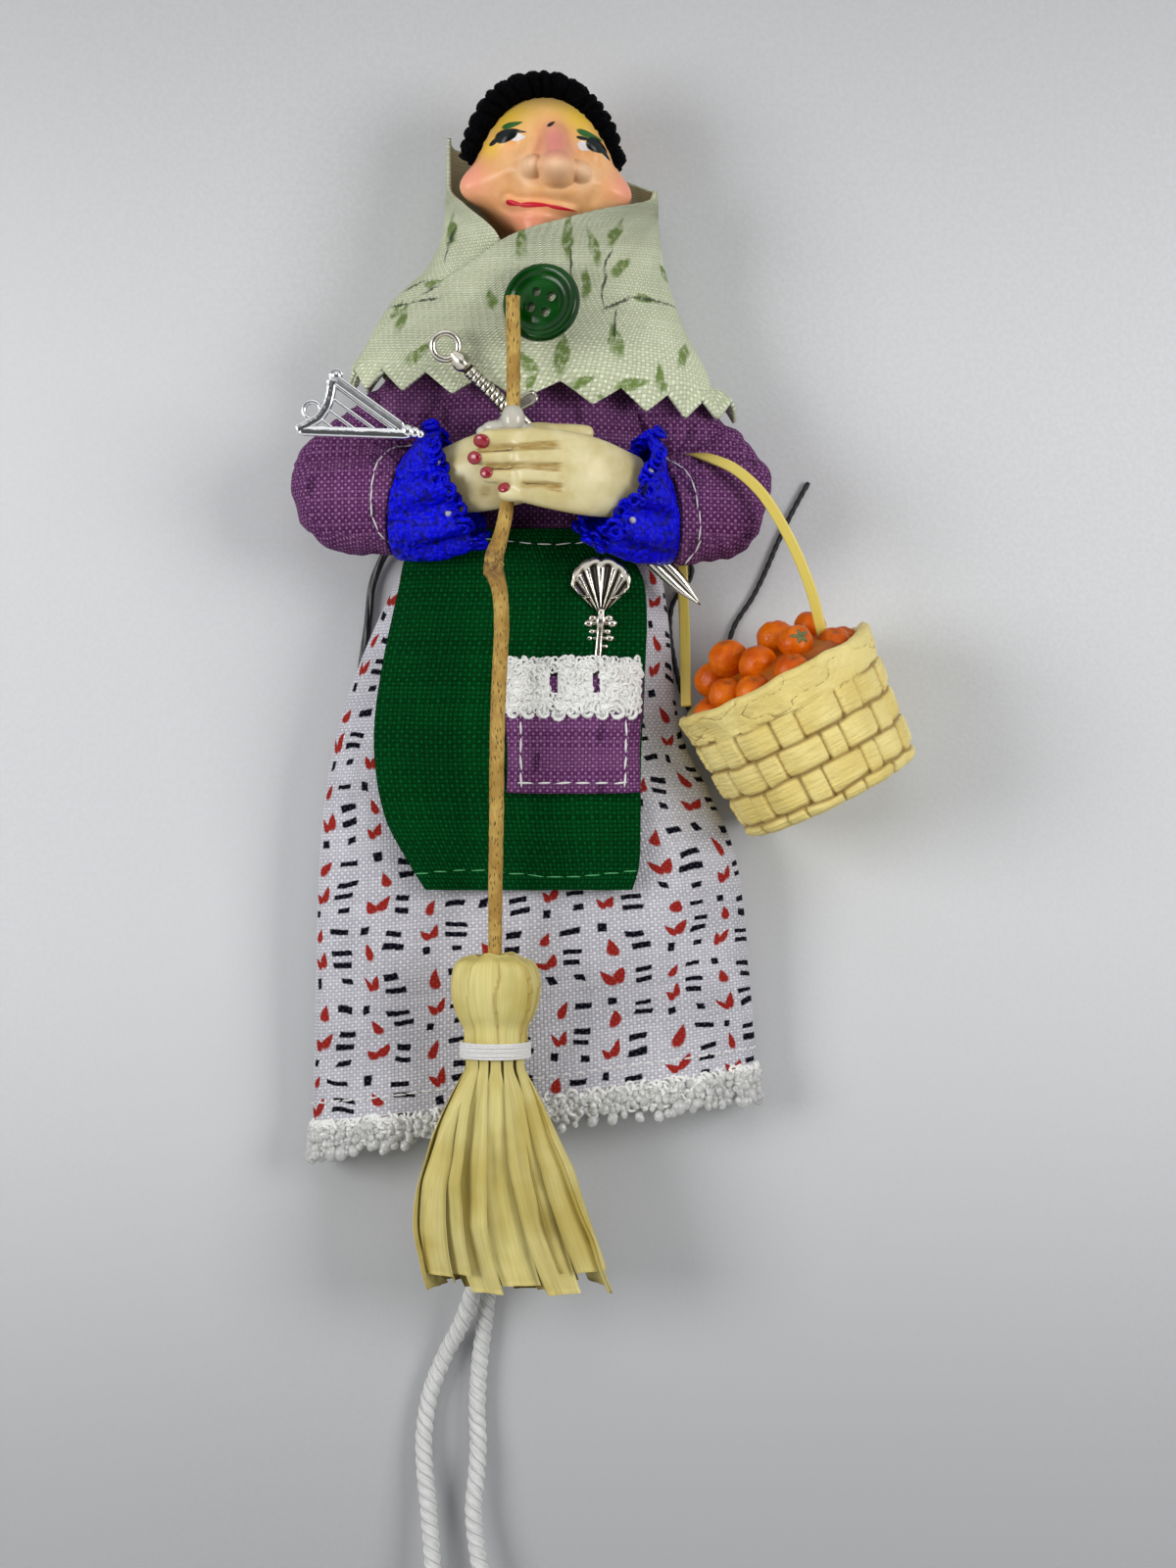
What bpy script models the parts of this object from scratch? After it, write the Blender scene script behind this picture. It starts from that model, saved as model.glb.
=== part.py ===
# Hanging doll lying on its back: +Z up to the viewer, +Y towards the head, +X to the viewer's right.
# The origin is on the flat back of the skirt, and all lengths are in metres.
import math

import bmesh
import bpy
from mathutils import Matrix, Vector

X_WAY = Vector((1, 0, 0))
Y_WAY = Vector((0, 1, 0))
Z_WAY = Vector((0, 0, 1))

# Fits shared by all pieces
GAP = 0.0003
FLOOR_CUT = 0.0005
CLOTH = 0.0008
OVERRUN = 0.0010

# Skirt and its lace
SKIRT_TOP_Y = 0.0125
SKIRT_LENGTH = 0.0825
SKIRT_HALF_WIDTH = 0.0342
SKIRT_DEPTH = 0.0160
SKIRT_HEM_SLOPE_SHARE = 0.132
SKIRT_FOLD = 0.0007
SKIRT_FOLD_COUNT = 9
SKIRT_ROWS = 10
SKIRT_COLUMNS = 32
SKIRT_CLEARANCE = 0.0012
HEM_LACE_DROP = 0.0058
HEM_LACE_SCALLOP = 0.0009
HEM_LACE_SCALLOPS = 16

# Bodice and body
BODICE_TOP_Y = 0.0470
BODICE_LENGTH = 0.0380
BODICE_HALF_WIDTH = 0.0182
BODICE_DEPTH = 0.0190
BODICE_LIFT = 0.0011
BODICE_COLUMNS = 24
BODICE_ROWS = 6
TORSO_TOP_Y = 0.0455
TORSO_LENGTH = 0.0700
TORSO_HALF_WIDTH = 0.0150
TORSO_HALF_DEPTH = 0.0054
TORSO_CENTRE_Z = 0.0078
PEG_DIAMETER = 0.0050
PEG_LENGTH = 0.0200
PEG_IN_BODY = 0.0080
PEG_Z = 0.0085

# Head and hair
HEAD_CENTRE = Vector((0.0014, 0.0680, 0.0132))
HEAD_HALF_SIZE = Vector((0.0107, 0.0118, 0.0112))
HEAD_COLUMNS = 28
HEAD_ROWS = 18
NOSE_OUT = 0.0062
CHEEK_OUT = 0.0036
CHIN_OUT = 0.0026
BROW_OUT = 0.0011
EYE_IN = 0.0010
MOUTH_IN = 0.0006
HAIR_THICK = 0.0014
HAIR_FIT = 0.0006
HAIR_DEEP = 0.0027
HAIR_CURL = 0.0005
HAIR_CURLS = 17
HAIR_RISE = math.radians(20)
HAIR_START_ANGLE = math.radians(-8)
HAIR_END_ANGLE = math.radians(177)

# Headscarf and its button
SCARF_HALF_WIDTH = 0.0278
SCARF_LEVEL_Y = 0.0340
SCARF_HEIGHT = 0.0400
SCARF_DEPTH = 0.0255
SCARF_FLAP_LIFT = 0.0010
SCARF_TOOTH = 0.0030
SCARF_TEETH = 24
SCARF_ROWS = 8
BUTTON_DIAMETER = 0.0115
BUTTON_THICK = 0.0024
BUTTON_RIM = 0.0011
BUTTON_DISH = 0.0007
BUTTON_HOLE = 0.0014
BUTTON_HOLE_SPACING = 0.0024
BUTTON_CENTRE = Vector((0.0010, 0.0468, 0.0270))
BUTTON_TILT = math.radians(-16)
BUTTON_TURN = math.radians(-20)

# Sleeves, wires and cuffs
SLEEVE_END_HALF_HEIGHT = 0.0079
SLEEVE_END_HALF_DEPTH = 0.0073
ARM_HALF = 0.0060
ELBOW_HALF = 0.0080
WIRE_DIAMETER = 0.0016
WIRE_STOP_SHARE = 0.35
CUFF_SLANT = 0.35
CUFF_LEVEL = 0.60
CUFF_RUFFLE = 0.0011
CUFF_RUFFLES = 9
CUFF_COLUMNS = 27
LEFT_SHOULDER = Vector((-0.0146, 0.0372, 0.0095))
LEFT_UPPER = Vector((-0.0216, 0.0312, 0.0100))
LEFT_ELBOW = Vector((-0.0298, 0.0205, 0.0112))
LEFT_SLEEVE_END = Vector((-0.0208, 0.0188, 0.0165))
RIGHT_SHOULDER = Vector((0.0146, 0.0368, 0.0095))
RIGHT_UPPER = Vector((0.0214, 0.0302, 0.0100))
RIGHT_ELBOW = Vector((0.0281, 0.0194, 0.0112))
RIGHT_SLEEVE_END = Vector((0.0204, 0.0176, 0.0165))

# Hands, in the order wrist, heel, palm, knuckles
HAND_HALF_WIDTH = 0.0057
HAND_HALF_THICK = 0.0023
FINGER_DIAMETER = 0.0028
FINGER_SPACING = 0.0026
FINGER_LENGTH = 0.0084
FRONT_WRIST = Vector((0.0142, 0.0202, 0.0255))
FRONT_KNUCKLES = Vector((-0.0004, 0.0227, 0.0324))
REAR_WRIST = Vector((-0.0142, 0.0212, 0.0208))
REAR_KNUCKLES = Vector((0.0008, 0.0243, 0.0250))

# Broom
STICK_DIAMETER = 0.0021
BULB_HALF_WIDTH = 0.0063
BULB_HALF_DEPTH = 0.0048
BULB_LENGTH = 0.0112
BULB_TOP = Vector((-0.0059, -0.0477, 0.0219))
NECK_HALF_WIDTH = 0.0045
NECK_HALF_DEPTH = 0.0036
NECK_LENGTH = 0.0058
FLARE_LENGTH = 0.0335
FLARE_HALF_WIDTH = 0.0132
FLARE_HALF_DEPTH = 0.0050
FLARE_SIDE = 0.0045
FLARE_DROP = 0.0072
STRIP_THICK = 0.0007
OUTER_STRIPS = 13
INNER_STRIPS = 7
BINDING_DIAMETER = 0.0008
BINDING_PITCH = 0.0013
BINDING_TURNS = 3
BINDING_FIT = 0.0009

# Charms
SWORD_POMMEL = Vector((-0.0130, 0.0408, 0.0252))
SWORD_TIP = Vector((0.0244, 0.0038, 0.0155))
SWORD_RING_DIAMETER = 0.0044
SWORD_WIRE = 0.0009
SWORD_GRIP_DIAMETER = 0.0021
SWORD_GRIP_LENGTH = 0.0095
SWORD_GUARD_LENGTH = 0.0044
SWORD_BLADE_WIDTH = 0.0030
SWORD_BLADE_THICK = 0.0009
HARP_FOOT = Vector((-0.0350, 0.0286, 0.0272))
HARP_LENGTH = 0.0172
HARP_HEIGHT = 0.0078
HARP_BAR = 0.0013
HARP_STRING = 0.0005
HARP_STRINGS = 5
HARP_RING_DIAMETER = 0.0026
HARP_WAY = Vector((1, -0.04, 0.02))
HARP_UP = Vector((0.02, 1, 0))
HARP_CROWN_SHARES = (0.34, 1.0)
HARP_NECK_SHARES = (0.16, 0.42)
SHELL_CENTRE = Vector((0.0096, 0.0066, 0.0184))
SHELL_WIDTH = 0.0086
SHELL_THICK = 0.0009
SHELL_STEM_LENGTH = 0.0150
SHELL_STEM_WIDTH = 0.0014

# Apron and pocket
APRON_TOP_Y = 0.0150
APRON_LENGTH = 0.0535
APRON_HALF_WIDTH = 0.0198
APRON_CENTRE_X = -0.0040
APRON_LIFT = 0.0009
APRON_ROWS = 9
APRON_COLUMNS = 8
POCKET_TOP_Y = -0.0117
POCKET_LENGTH = 0.0124
POCKET_WIDTH = 0.0197
POCKET_CENTRE_X = 0.0055
POCKET_BULGE = 0.0014
POCKET_LACE_RISE = 0.0074
POCKET_LACE_DROP = 0.0014

# Basket, handle and fruit
BASKET_SKIRT_SHARE = 0.61
BASKET_REACH = 0.01434
BASKET_RIM_Y = -0.0068
BASKET_RIM_Z = 0.0157
BASKET_RIM_X = SKIRT_HALF_WIDTH * BASKET_SKIRT_SHARE + BASKET_REACH
BASKET_RIM_CENTRE = Vector((BASKET_RIM_X, BASKET_RIM_Y, BASKET_RIM_Z))
BASKET_TURN = math.radians(27)
BASKET_PITCH = math.radians(4.7)
BASKET_RIM_DIAMETER = 0.0308
BASKET_BASE_DIAMETER = 0.0272
BASKET_HEIGHT = 0.0200
BASKET_WALL = 0.0017
BASKET_FLOOR = 0.0020
BASKET_SIDES = 24
BED_DEPTH = 0.0105
FRUIT_DIAMETER = 0.0058
HANDLE_WIDTH = 0.0016
HANDLE_THICK = 0.0005
BASKET_PIVOT = Vector((0.0222, 0.0258, 0.0120))

# Legs, shoes and black cord
LEG_DIAMETER = 0.0027
HIP_GAP = 0.0008
HIP_Y = TORSO_TOP_Y - TORSO_LENGTH - HIP_GAP
SHOE_LENGTH = 0.0130
SHOE_WIDTH = 0.0066
SHOE_HEIGHT = 0.0085
BLACK_DIAMETER = 0.0008
STRAND_DIAMETER = 0.0013


def along(table, t):
    """The other columns of a table at share t, on a smooth curve through its rows."""
    ts = [row[0] for row in table]
    i = 0
    while i < len(ts) - 2 and t > ts[i + 1]:
        i += 1
    step = ts[i + 1] - ts[i]
    s = min(1, max(0, (t - ts[i]) / step))
    values = []
    for column in range(1, len(table[0])):
        a, b = table[i][column], table[i + 1][column]
        before = table[i - 1] if i > 0 else table[i]
        after = table[i + 2] if i + 2 < len(ts) else table[i + 1]
        slope_a = (b - before[column]) / (ts[i + 1] - before[0]) * step
        slope_b = (after[column] - a) / (after[0] - ts[i]) * step
        h = s * s * (3 - 2 * s)
        values.append(a + (b - a) * h + slope_a * s * (1 - s) ** 2 - slope_b * s * s * (1 - s))
    return values


def route_points(route, count):
    """Evenly spaced points on one smooth curve through a route."""
    spans = [0]
    for a, b in zip(route, route[1:]):
        spans.append(spans[-1] + (Vector(b) - Vector(a)).length)
    table = [(d / spans[-1], *point) for d, point in zip(spans, route)]
    return [Vector(along(table, k / (count - 1))) for k in range(count)]


def rings_mesh(rings):
    """Points and side faces of a run of rings that have as many points each."""
    count = len(rings[0])
    points = [p for ring in rings for p in ring]
    faces = []
    for row in range(len(rings) - 1):
        for k in range(count):
            a, b = row * count + k, row * count + (k + 1) % count
            faces.append((a, b, b + count, a + count))
    return points, faces


def solid_loft(rings):
    """A closed solid over rings, with a fan at each end."""
    points, faces = rings_mesh(rings)
    count = len(rings[0])
    for ring, first in ((rings[0], 0), (rings[-1], (len(rings) - 1) * count)):
        points.append(sum(ring, Vector()) / count)
        centre = len(points) - 1
        faces += [(centre, first + k, first + (k + 1) % count) for k in range(count)]
    return points, faces


def shell_loft(outer, inner):
    """A closed tube wall between two runs of rings, open at both ends."""
    return ring_loop(list(outer) + list(reversed(inner)))


def ring_loop(rings):
    """A closed wall over rings whose last one joins the first."""
    points, faces = rings_mesh(rings)
    count, last = len(rings[0]), (len(rings) - 1) * len(rings[0])
    faces += [(last + k, last + (k + 1) % count, (k + 1) % count, k) for k in range(count)]
    return points, faces


def thick_sheet(grid, thickness):
    """A closed sheet: the grid is its lower face, and it rises by thickness along the normals."""
    rows, columns = len(grid), len(grid[0])
    upper = []
    for i in range(rows):
        upper.append([])
        for j in range(columns):
            across = grid[i][min(j + 1, columns - 1)] - grid[i][max(j - 1, 0)]
            down = grid[min(i + 1, rows - 1)][j] - grid[max(i - 1, 0)][j]
            upper[i].append(grid[i][j] + down.cross(across).normalized() * thickness)
    return sheet_between(grid, upper)


def sheet_between(lower, upper):
    """A closed sheet between two grids of points."""
    rows, columns = len(lower), len(lower[0])
    points = [p for row in lower for p in row] + [p for row in upper for p in row]
    size, faces = rows * columns, []
    for i in range(rows - 1):
        for j in range(columns - 1):
            a, b = i * columns + j, (i + 1) * columns + j
            faces.append((a, a + 1, b + 1, b))
            faces.append((size + a, size + b, size + b + 1, size + a + 1))
    edge = list(range(columns)) + [i * columns + columns - 1 for i in range(1, rows)]
    edge += [(rows - 1) * columns + j for j in range(columns - 2, -1, -1)]
    edge += [i * columns for i in range(rows - 2, 0, -1)]
    for a, b in zip(edge, edge[1:] + edge[:1]):
        faces.append((a, b, size + b, size + a))
    return points, faces


# The corners of a flat strip's section
OBLONG = ((-1, -1), (1, -1), (1, 1), (-1, 1))


def oval(centre, side, up, half_side, half_up, count, power=2.0):
    """A ring round a centre; a power over 2 squares its corners."""
    ring = []
    for k in range(count):
        c, s = math.cos(math.tau * k / count), math.sin(math.tau * k / count)
        a = math.copysign(abs(c) ** (2 / power), c)
        b = math.copysign(abs(s) ** (2 / power), s)
        ring.append(centre + side * half_side * a + up * half_up * b)
    return ring


def tube_rings(path, halves, count, lean=Z_WAY, power=2.0):
    """Rings across a path: halves gives the half width and half height at each of its points."""
    rings = []
    for k, point in enumerate(path):
        ahead = path[min(k + 1, len(path) - 1)] - path[max(k - 1, 0)]
        side = ahead.cross(lean).normalized()
        up = side.cross(ahead).normalized()
        rings.append(oval(point, side, up, halves[k][0], halves[k][1], count, power))
    return rings


def make(name, mesh_parts, look, pivot=None):
    """An object from points and faces, with its own material and outward faces."""
    points, faces = mesh_parts
    mesh = bpy.data.meshes.new(name)
    mesh.from_pydata([p - (pivot or Vector()) for p in points], [], faces)
    solid = bmesh.new()
    solid.from_mesh(mesh)
    bmesh.ops.recalc_face_normals(solid, faces=solid.faces)
    solid.to_mesh(mesh)
    solid.free()
    mesh.shade_smooth()
    mesh.set_sharp_from_angle(angle=math.radians(50))
    return place(bpy.data.objects.new(name, mesh), look, pivot)


def place(thing, look, pivot=None):
    """Puts an object in the scene at its pivot, with its own finish."""
    thing.location = pivot or Vector()
    bpy.context.scene.collection.objects.link(thing)
    colour, roughness, metallic = look
    finish = bpy.data.materials.new(thing.name + "_finish")
    finish.use_nodes = True
    shader = finish.node_tree.nodes["Principled BSDF"]
    shader.inputs["Base Color"].default_value = (*colour, 1)
    shader.inputs["Roughness"].default_value = roughness
    shader.inputs["Metallic"].default_value = metallic
    thing.data.materials.append(finish)
    return thing


def combine(thing, tools, operation, solver="EXACT"):
    """Joins tools to a thing, or cuts them from it, and drops the tools."""
    for tool in tools:
        step = thing.modifiers.new(operation, "BOOLEAN")
        step.operation = operation
        step.solver = solver
        step.object = tool
        bpy.context.view_layer.update()
        seen = thing.evaluated_get(bpy.context.evaluated_depsgraph_get())
        mesh = bpy.data.meshes.new_from_object(seen)
        thing.modifiers.clear()
        thing.data = mesh
        bpy.data.objects.remove(tool)
    thing.data.shade_smooth()
    thing.data.set_sharp_from_angle(angle=math.radians(50))
    return thing


def fused(name, meshes, look, pivot=None):
    """One object that joins several closed meshes."""
    first = make(name, meshes[0], look, pivot)
    tools = [make(name + "_tool", mesh, look, pivot) for mesh in meshes[1:]]
    return combine(first, tools, "UNION", "MANIFOLD")


def tube(name, path, diameter, look, resolution, pivot=Vector()):
    """A round tube through every point of a path, with filled ends."""
    curve = bpy.data.curves.new(name, "CURVE")
    curve.dimensions = "3D"
    curve.bevel_depth = diameter / 2
    curve.bevel_resolution = resolution
    curve.use_fill_caps = True
    curve.render_resolution_u = 0
    spline = curve.splines.new("POLY")
    spline.points.add(len(path) - 1)
    for knot, point in zip(spline.points, path):
        knot.co = (*(point - pivot), 1)
    return place(bpy.data.objects.new(name, curve), look, pivot)


def cord(name, route, diameter, look, points, pivot=Vector()):
    """A round cord along one smooth curve through a route."""
    return tube(name, route_points(route, points), diameter, look, 2, pivot)


PURPLE = ((0.20, 0.06, 0.22), 0.85, 0.0)
RESIN = ((0.85, 0.78, 0.58), 0.35, 0.0)
WHITE_COTTON = ((0.80, 0.79, 0.76), 0.9, 0.0)
BLACK_COTTON = ((0.01, 0.01, 0.012), 0.6, 0.0)
STRAW = ((0.78, 0.67, 0.36), 0.6, 0.0)
SILVER = ((0.72, 0.70, 0.66), 0.25, 1.0)
CHROME = ((0.80, 0.81, 0.83), 0.12, 1.0)
BLUE_LACE = ((0.02, 0.02, 0.75), 0.5, 0.0)
APRON_GREEN = ((0.02, 0.18, 0.06), 0.9, 0.0)
BUTTON_GREEN = ((0.01, 0.16, 0.05), 0.2, 0.0)
SCARF_GREEN = ((0.62, 0.70, 0.50), 0.9, 0.0)
SKIRT_GREY = ((0.62, 0.62, 0.66), 0.9, 0.0)
SKIN = ((0.86, 0.55, 0.36), 0.3, 0.0)
ORANGE = ((0.80, 0.20, 0.01), 0.35, 0.0)
CREAM = ((0.82, 0.68, 0.38), 0.55, 0.0)
YELLOW = ((0.80, 0.62, 0.16), 0.4, 0.0)
TWIG = ((0.55, 0.33, 0.12), 0.8, 0.0)
GLUE = ((0.80, 0.80, 0.76), 0.3, 0.0)
SHOE_BROWN = ((0.10, 0.05, 0.03), 0.4, 0.0)

# Skirt outline down its length: left edge, right edge and depth, as shares of its half width and depth
SKIRT_SHARES = (
    (0.00, -0.55, 0.535, 0.94),
    (0.13, -0.71, 0.580, 1.00),
    (0.27, -0.85, 0.610, 1.00),
    (0.36, -0.91, 0.650, 1.00),
    (0.47, -0.95, 0.770, 0.98),
    (0.60, -0.97, 0.885, 0.95),
    (0.86, -0.99, 0.950, 0.82),
    (1.00, -1.00, 0.975, 0.76),
)
BODICE_SHARES = (
    (0.00, -0.52, 0.52, 0.80),
    (0.20, -0.84, 0.84, 0.94),
    (0.48, -0.94, 0.94, 0.97),
    (0.66, -0.91, 0.91, 0.86),
    (0.82, -0.90, 0.90, 0.73),
    (1.00, -0.88, 0.88, 0.69),
)
# The torso's width and depth down its length
TORSO_SHARES = (
    (0.00, 0.30, 0.50),
    (0.06, 0.66, 0.80),
    (0.22, 0.92, 1.00),
    (0.38, 0.94, 0.88),
    (0.50, 0.93, 0.72),
    (0.90, 0.90, 0.72),
    (1.00, 0.75, 0.60),
)
SCARF_SHARES = (
    (-0.10, -1.040, 0.960, 0.85),
    (0.10, -0.990, 0.930, 0.84),
    (0.28, -0.880, 0.800, 0.86),
    (0.40, -0.760, 0.735, 0.88),
    (0.50, -0.600, 0.690, 0.92),
    (0.62, -0.510, 0.655, 1.00),
    (0.78, -0.490, 0.622, 0.96),
    (1.10, -0.480, 0.560, 0.90),
)
# Level of the scarf's top and hem at its right edge, their rise to its left edge and in its back
SCARF_TOP_SHARES = (0.78, 0.21, 0.10)
SCARF_HEM_SHARES = (-0.02, 0.06, 0.075)
# Angles of the scarf's two front edges up its height, in degrees from the viewer's right
SCARF_RIGHT_EDGE = (
    (-0.10, 172),
    (0.18, 160),
    (0.33, 140),
    (0.54, 112),
    (0.61, 91),
    (0.67, 66),
    (0.74, 22),
    (0.90, 6),
    (1.10, 2),
)
SCARF_LEFT_EDGE = (
    (-0.10, 66),
    (0.30, 80),
    (0.50, 104),
    (0.62, 120),
    (0.72, 144),
    (0.80, 166),
    (1.10, 174),
)


def garment_section(shares, top_y, length, half_width, depth, t):
    """Level, left, right and depth of a garment at a share of its length."""
    left, right, deep = along(shares, t)
    return top_y - length * t, left * half_width, right * half_width, deep * depth


def section_point(left, right, deep, angle, inset, power=2.4, lift=0.0):
    """X and Z on a flattened oval that stands on the table, inset from its outside."""
    c, s = math.cos(angle), math.sin(angle)
    half = (right - left) / 2 - inset
    half_deep = (deep + FLOOR_CUT) / 2 - inset
    x = (left + right) / 2 + half * math.copysign(abs(c) ** (2 / power), c)
    z = (deep - FLOOR_CUT) / 2 + half_deep * math.copysign(abs(s) ** (2 / power), s)
    return x, max(z, inset) + lift


def pressed(point):
    """How far the basket pushes a point of the skirt to the left."""
    axis, across, rise = basket_frame()
    from_rim = point - BASKET_RIM_CENTRE
    depth = -from_rim.dot(axis)
    if not -SKIRT_CLEARANCE < depth < BASKET_HEIGHT + SKIRT_CLEARANCE:
        return 0.0
    reach = basket_radius(depth) + SKIRT_CLEARANCE
    high = from_rim.dot(rise)
    if abs(high) >= reach:
        return 0.0
    return max(0, from_rim.dot(across) + math.sqrt(reach * reach - high * high)) / across.x


def skirt_ring(t, inset, drop=0.0):
    """One ring of the skirt, with its folds, its slanting hem and the dent under the basket."""
    y, left, right, deep = garment_section(
        SKIRT_SHARES, SKIRT_TOP_Y, SKIRT_LENGTH, SKIRT_HALF_WIDTH, SKIRT_DEPTH, t
    )
    ring = []
    for k in range(SKIRT_COLUMNS):
        angle = math.tau * k / SKIRT_COLUMNS
        x, z = section_point(left, right, deep, angle, inset)
        fold = SKIRT_FOLD * t * math.sin(SKIRT_FOLD_COUNT * angle) * max(0, math.sin(angle))
        point = Vector((x, y - drop + x * SKIRT_HEM_SLOPE_SHARE * t, z + fold))
        wide_x, wide_z = section_point(left, right, deep, angle, 0.0)
        point.x -= pressed(Vector((wide_x, point.y, wide_z)))
        ring.append(point)
    return ring


def skirt_top(x, y):
    """Height of the skirt's front over a place on the table."""
    t = min(1, max(0, (SKIRT_TOP_Y - y) / SKIRT_LENGTH))
    t = min(1, max(0, (SKIRT_TOP_Y - y + x * SKIRT_HEM_SLOPE_SHARE * t) / SKIRT_LENGTH))
    left, right, deep = along(SKIRT_SHARES, t)
    half = (right - left) * SKIRT_HALF_WIDTH / 2
    middle = (right + left) * SKIRT_HALF_WIDTH / 2
    power = 2.4
    across = min(1, abs(x - middle) / half)
    deep = deep * SKIRT_DEPTH
    rise = (1 - across**power) ** (1 / power)
    return (deep - FLOOR_CUT) / 2 + (deep + FLOOR_CUT) / 2 * rise + SKIRT_FOLD * t


def make_skirt():
    stations = [k / (SKIRT_ROWS - 1) for k in range(SKIRT_ROWS)]
    outer = [skirt_ring(t, 0.0) for t in stations]
    inner = [skirt_ring(t, CLOTH) for t in stations]
    make("skirt", shell_loft(outer, inner), SKIRT_GREY)
    drops = (GAP, HEM_LACE_DROP / 2, HEM_LACE_DROP)
    outer = [skirt_ring(1, 0.0, drop) for drop in drops]
    inner = [skirt_ring(1, CLOTH, drop) for drop in drops]
    for ring in (outer[-1], inner[-1]):
        for k, point in enumerate(ring):
            point.y += HEM_LACE_SCALLOP * (k * HEM_LACE_SCALLOPS * 2 // SKIRT_COLUMNS % 2)
    make("skirt_hem_lace", shell_loft(outer, inner), WHITE_COTTON)


def bodice_ring(t, inset):
    y, left, right, deep = garment_section(
        BODICE_SHARES, BODICE_TOP_Y, BODICE_LENGTH, BODICE_HALF_WIDTH, BODICE_DEPTH, t
    )
    ring = []
    for k in range(BODICE_COLUMNS):
        angle = math.tau * k / BODICE_COLUMNS
        x, z = section_point(left, right, deep - BODICE_LIFT, angle, inset, lift=BODICE_LIFT)
        ring.append(Vector((x, y, z)))
    return ring


def bodice_rings(inset):
    return [bodice_ring(k / (BODICE_ROWS - 1), inset) for k in range(BODICE_ROWS)]


def make_body():
    bodice = make("bodice", shell_loft(bodice_rings(0.0), bodice_rings(CLOTH)), PURPLE)
    rings = []
    for k in range(10):
        t = k / 9
        wide, deep = along(TORSO_SHARES, t)
        centre = Vector((0, TORSO_TOP_Y - TORSO_LENGTH * t, TORSO_CENTRE_Z))
        halves = (TORSO_HALF_WIDTH * wide, TORSO_HALF_DEPTH * deep)
        rings.append(oval(centre, X_WAY, Z_WAY, *halves, 12))
    torso = make("torso_core", solid_loft(rings), WHITE_COTTON)
    combine(torso, [peg_tool(PEG_DIAMETER / 2 + GAP)], "DIFFERENCE")
    start, end = peg_ends()
    make("neck_peg", rod(start, end, PEG_DIAMETER / 2, 16), TWIG)
    return bodice


def rod(start, end, radius, count):
    return solid_loft(tube_rings([start, end], [(radius, radius)] * 2, count))


def peg_ends():
    end = TORSO_TOP_Y - PEG_IN_BODY
    return Vector((0, end, PEG_Z)), Vector((0, end + PEG_LENGTH, PEG_Z))


def peg_tool(radius):
    start, end = peg_ends()
    reach = Vector((0, GAP, 0))
    return make("peg_tool", rod(start - reach, end + reach, radius, 16), TWIG)


def head_point(direction):
    """A point on the head: an egg with bumps for its nose, cheeks, chin and brow."""
    bumps = (
        (Vector((0.13, -0.10, 0.98)), 0.20, NOSE_OUT),
        (Vector((0.10, 0.22, 0.96)), 0.17, NOSE_OUT / 2),
        (Vector((-0.84, -0.20, 0.44)), 0.24, CHEEK_OUT),
        (Vector((0.90, -0.30, 0.38)), 0.24, CHEEK_OUT),
        (Vector((-0.13, -0.84, 0.60)), 0.26, CHIN_OUT),
        (Vector((0.05, 0.52, 0.84)), 0.34, BROW_OUT),
        (Vector((-0.40, 0.24, 0.88)), 0.17, -EYE_IN),
        (Vector((0.56, 0.12, 0.82)), 0.17, -EYE_IN),
        (Vector((0.00, -0.54, 0.84)), 0.12, -MOUTH_IN),
    )
    half = HEAD_HALF_SIZE
    base = Vector((direction.x * half.x, direction.y * half.y, direction.z * half.z))
    for where, width, out in bumps:
        near = (direction - where.normalized()).length / width
        base += direction * out * math.exp(-near * near)
    return HEAD_CENTRE + base


def make_head():
    rings = []
    for i in range(1, HEAD_ROWS):
        tilt = math.pi * i / HEAD_ROWS
        ring = []
        for k in range(HEAD_COLUMNS):
            turn = math.tau * k / HEAD_COLUMNS
            flat = math.sin(tilt)
            ring.append(head_point(Vector((flat * math.cos(turn), math.cos(tilt), flat * math.sin(turn)))))
        rings.append(ring)
    head = make("head", solid_loft(rings), SKIN)
    combine(head, [peg_tool(PEG_DIAMETER / 2 + GAP)], "DIFFERENCE")

    rings = []
    steps = HAIR_CURLS * 2
    for k in range(steps + 1):
        share = k / steps
        angle = HAIR_START_ANGLE + (HAIR_END_ANGLE - HAIR_START_ANGLE) * share
        level = Vector((math.cos(angle), math.sin(angle), 0))
        out = level * math.cos(HAIR_RISE) + Vector((0, 0, math.sin(HAIR_RISE)))
        along_head = Vector((0, 0, math.cos(HAIR_RISE))) - level * math.sin(HAIR_RISE)
        curl = HAIR_CURL * abs(math.sin(math.pi * HAIR_CURLS * share))
        end = 1.0 if 0 < k < steps else 0.6
        halves = ((HAIR_THICK - HAIR_CURL / 2 + curl) * end, (HAIR_DEEP + curl) * end)
        reach = (head_point(out) - HEAD_CENTRE).length + HAIR_THICK + HAIR_FIT
        rings.append(oval(HEAD_CENTRE + out * (reach + curl / 2), out, along_head, *halves, 7))
    make("hair_trim", solid_loft(rings), BLACK_COTTON)


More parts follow.
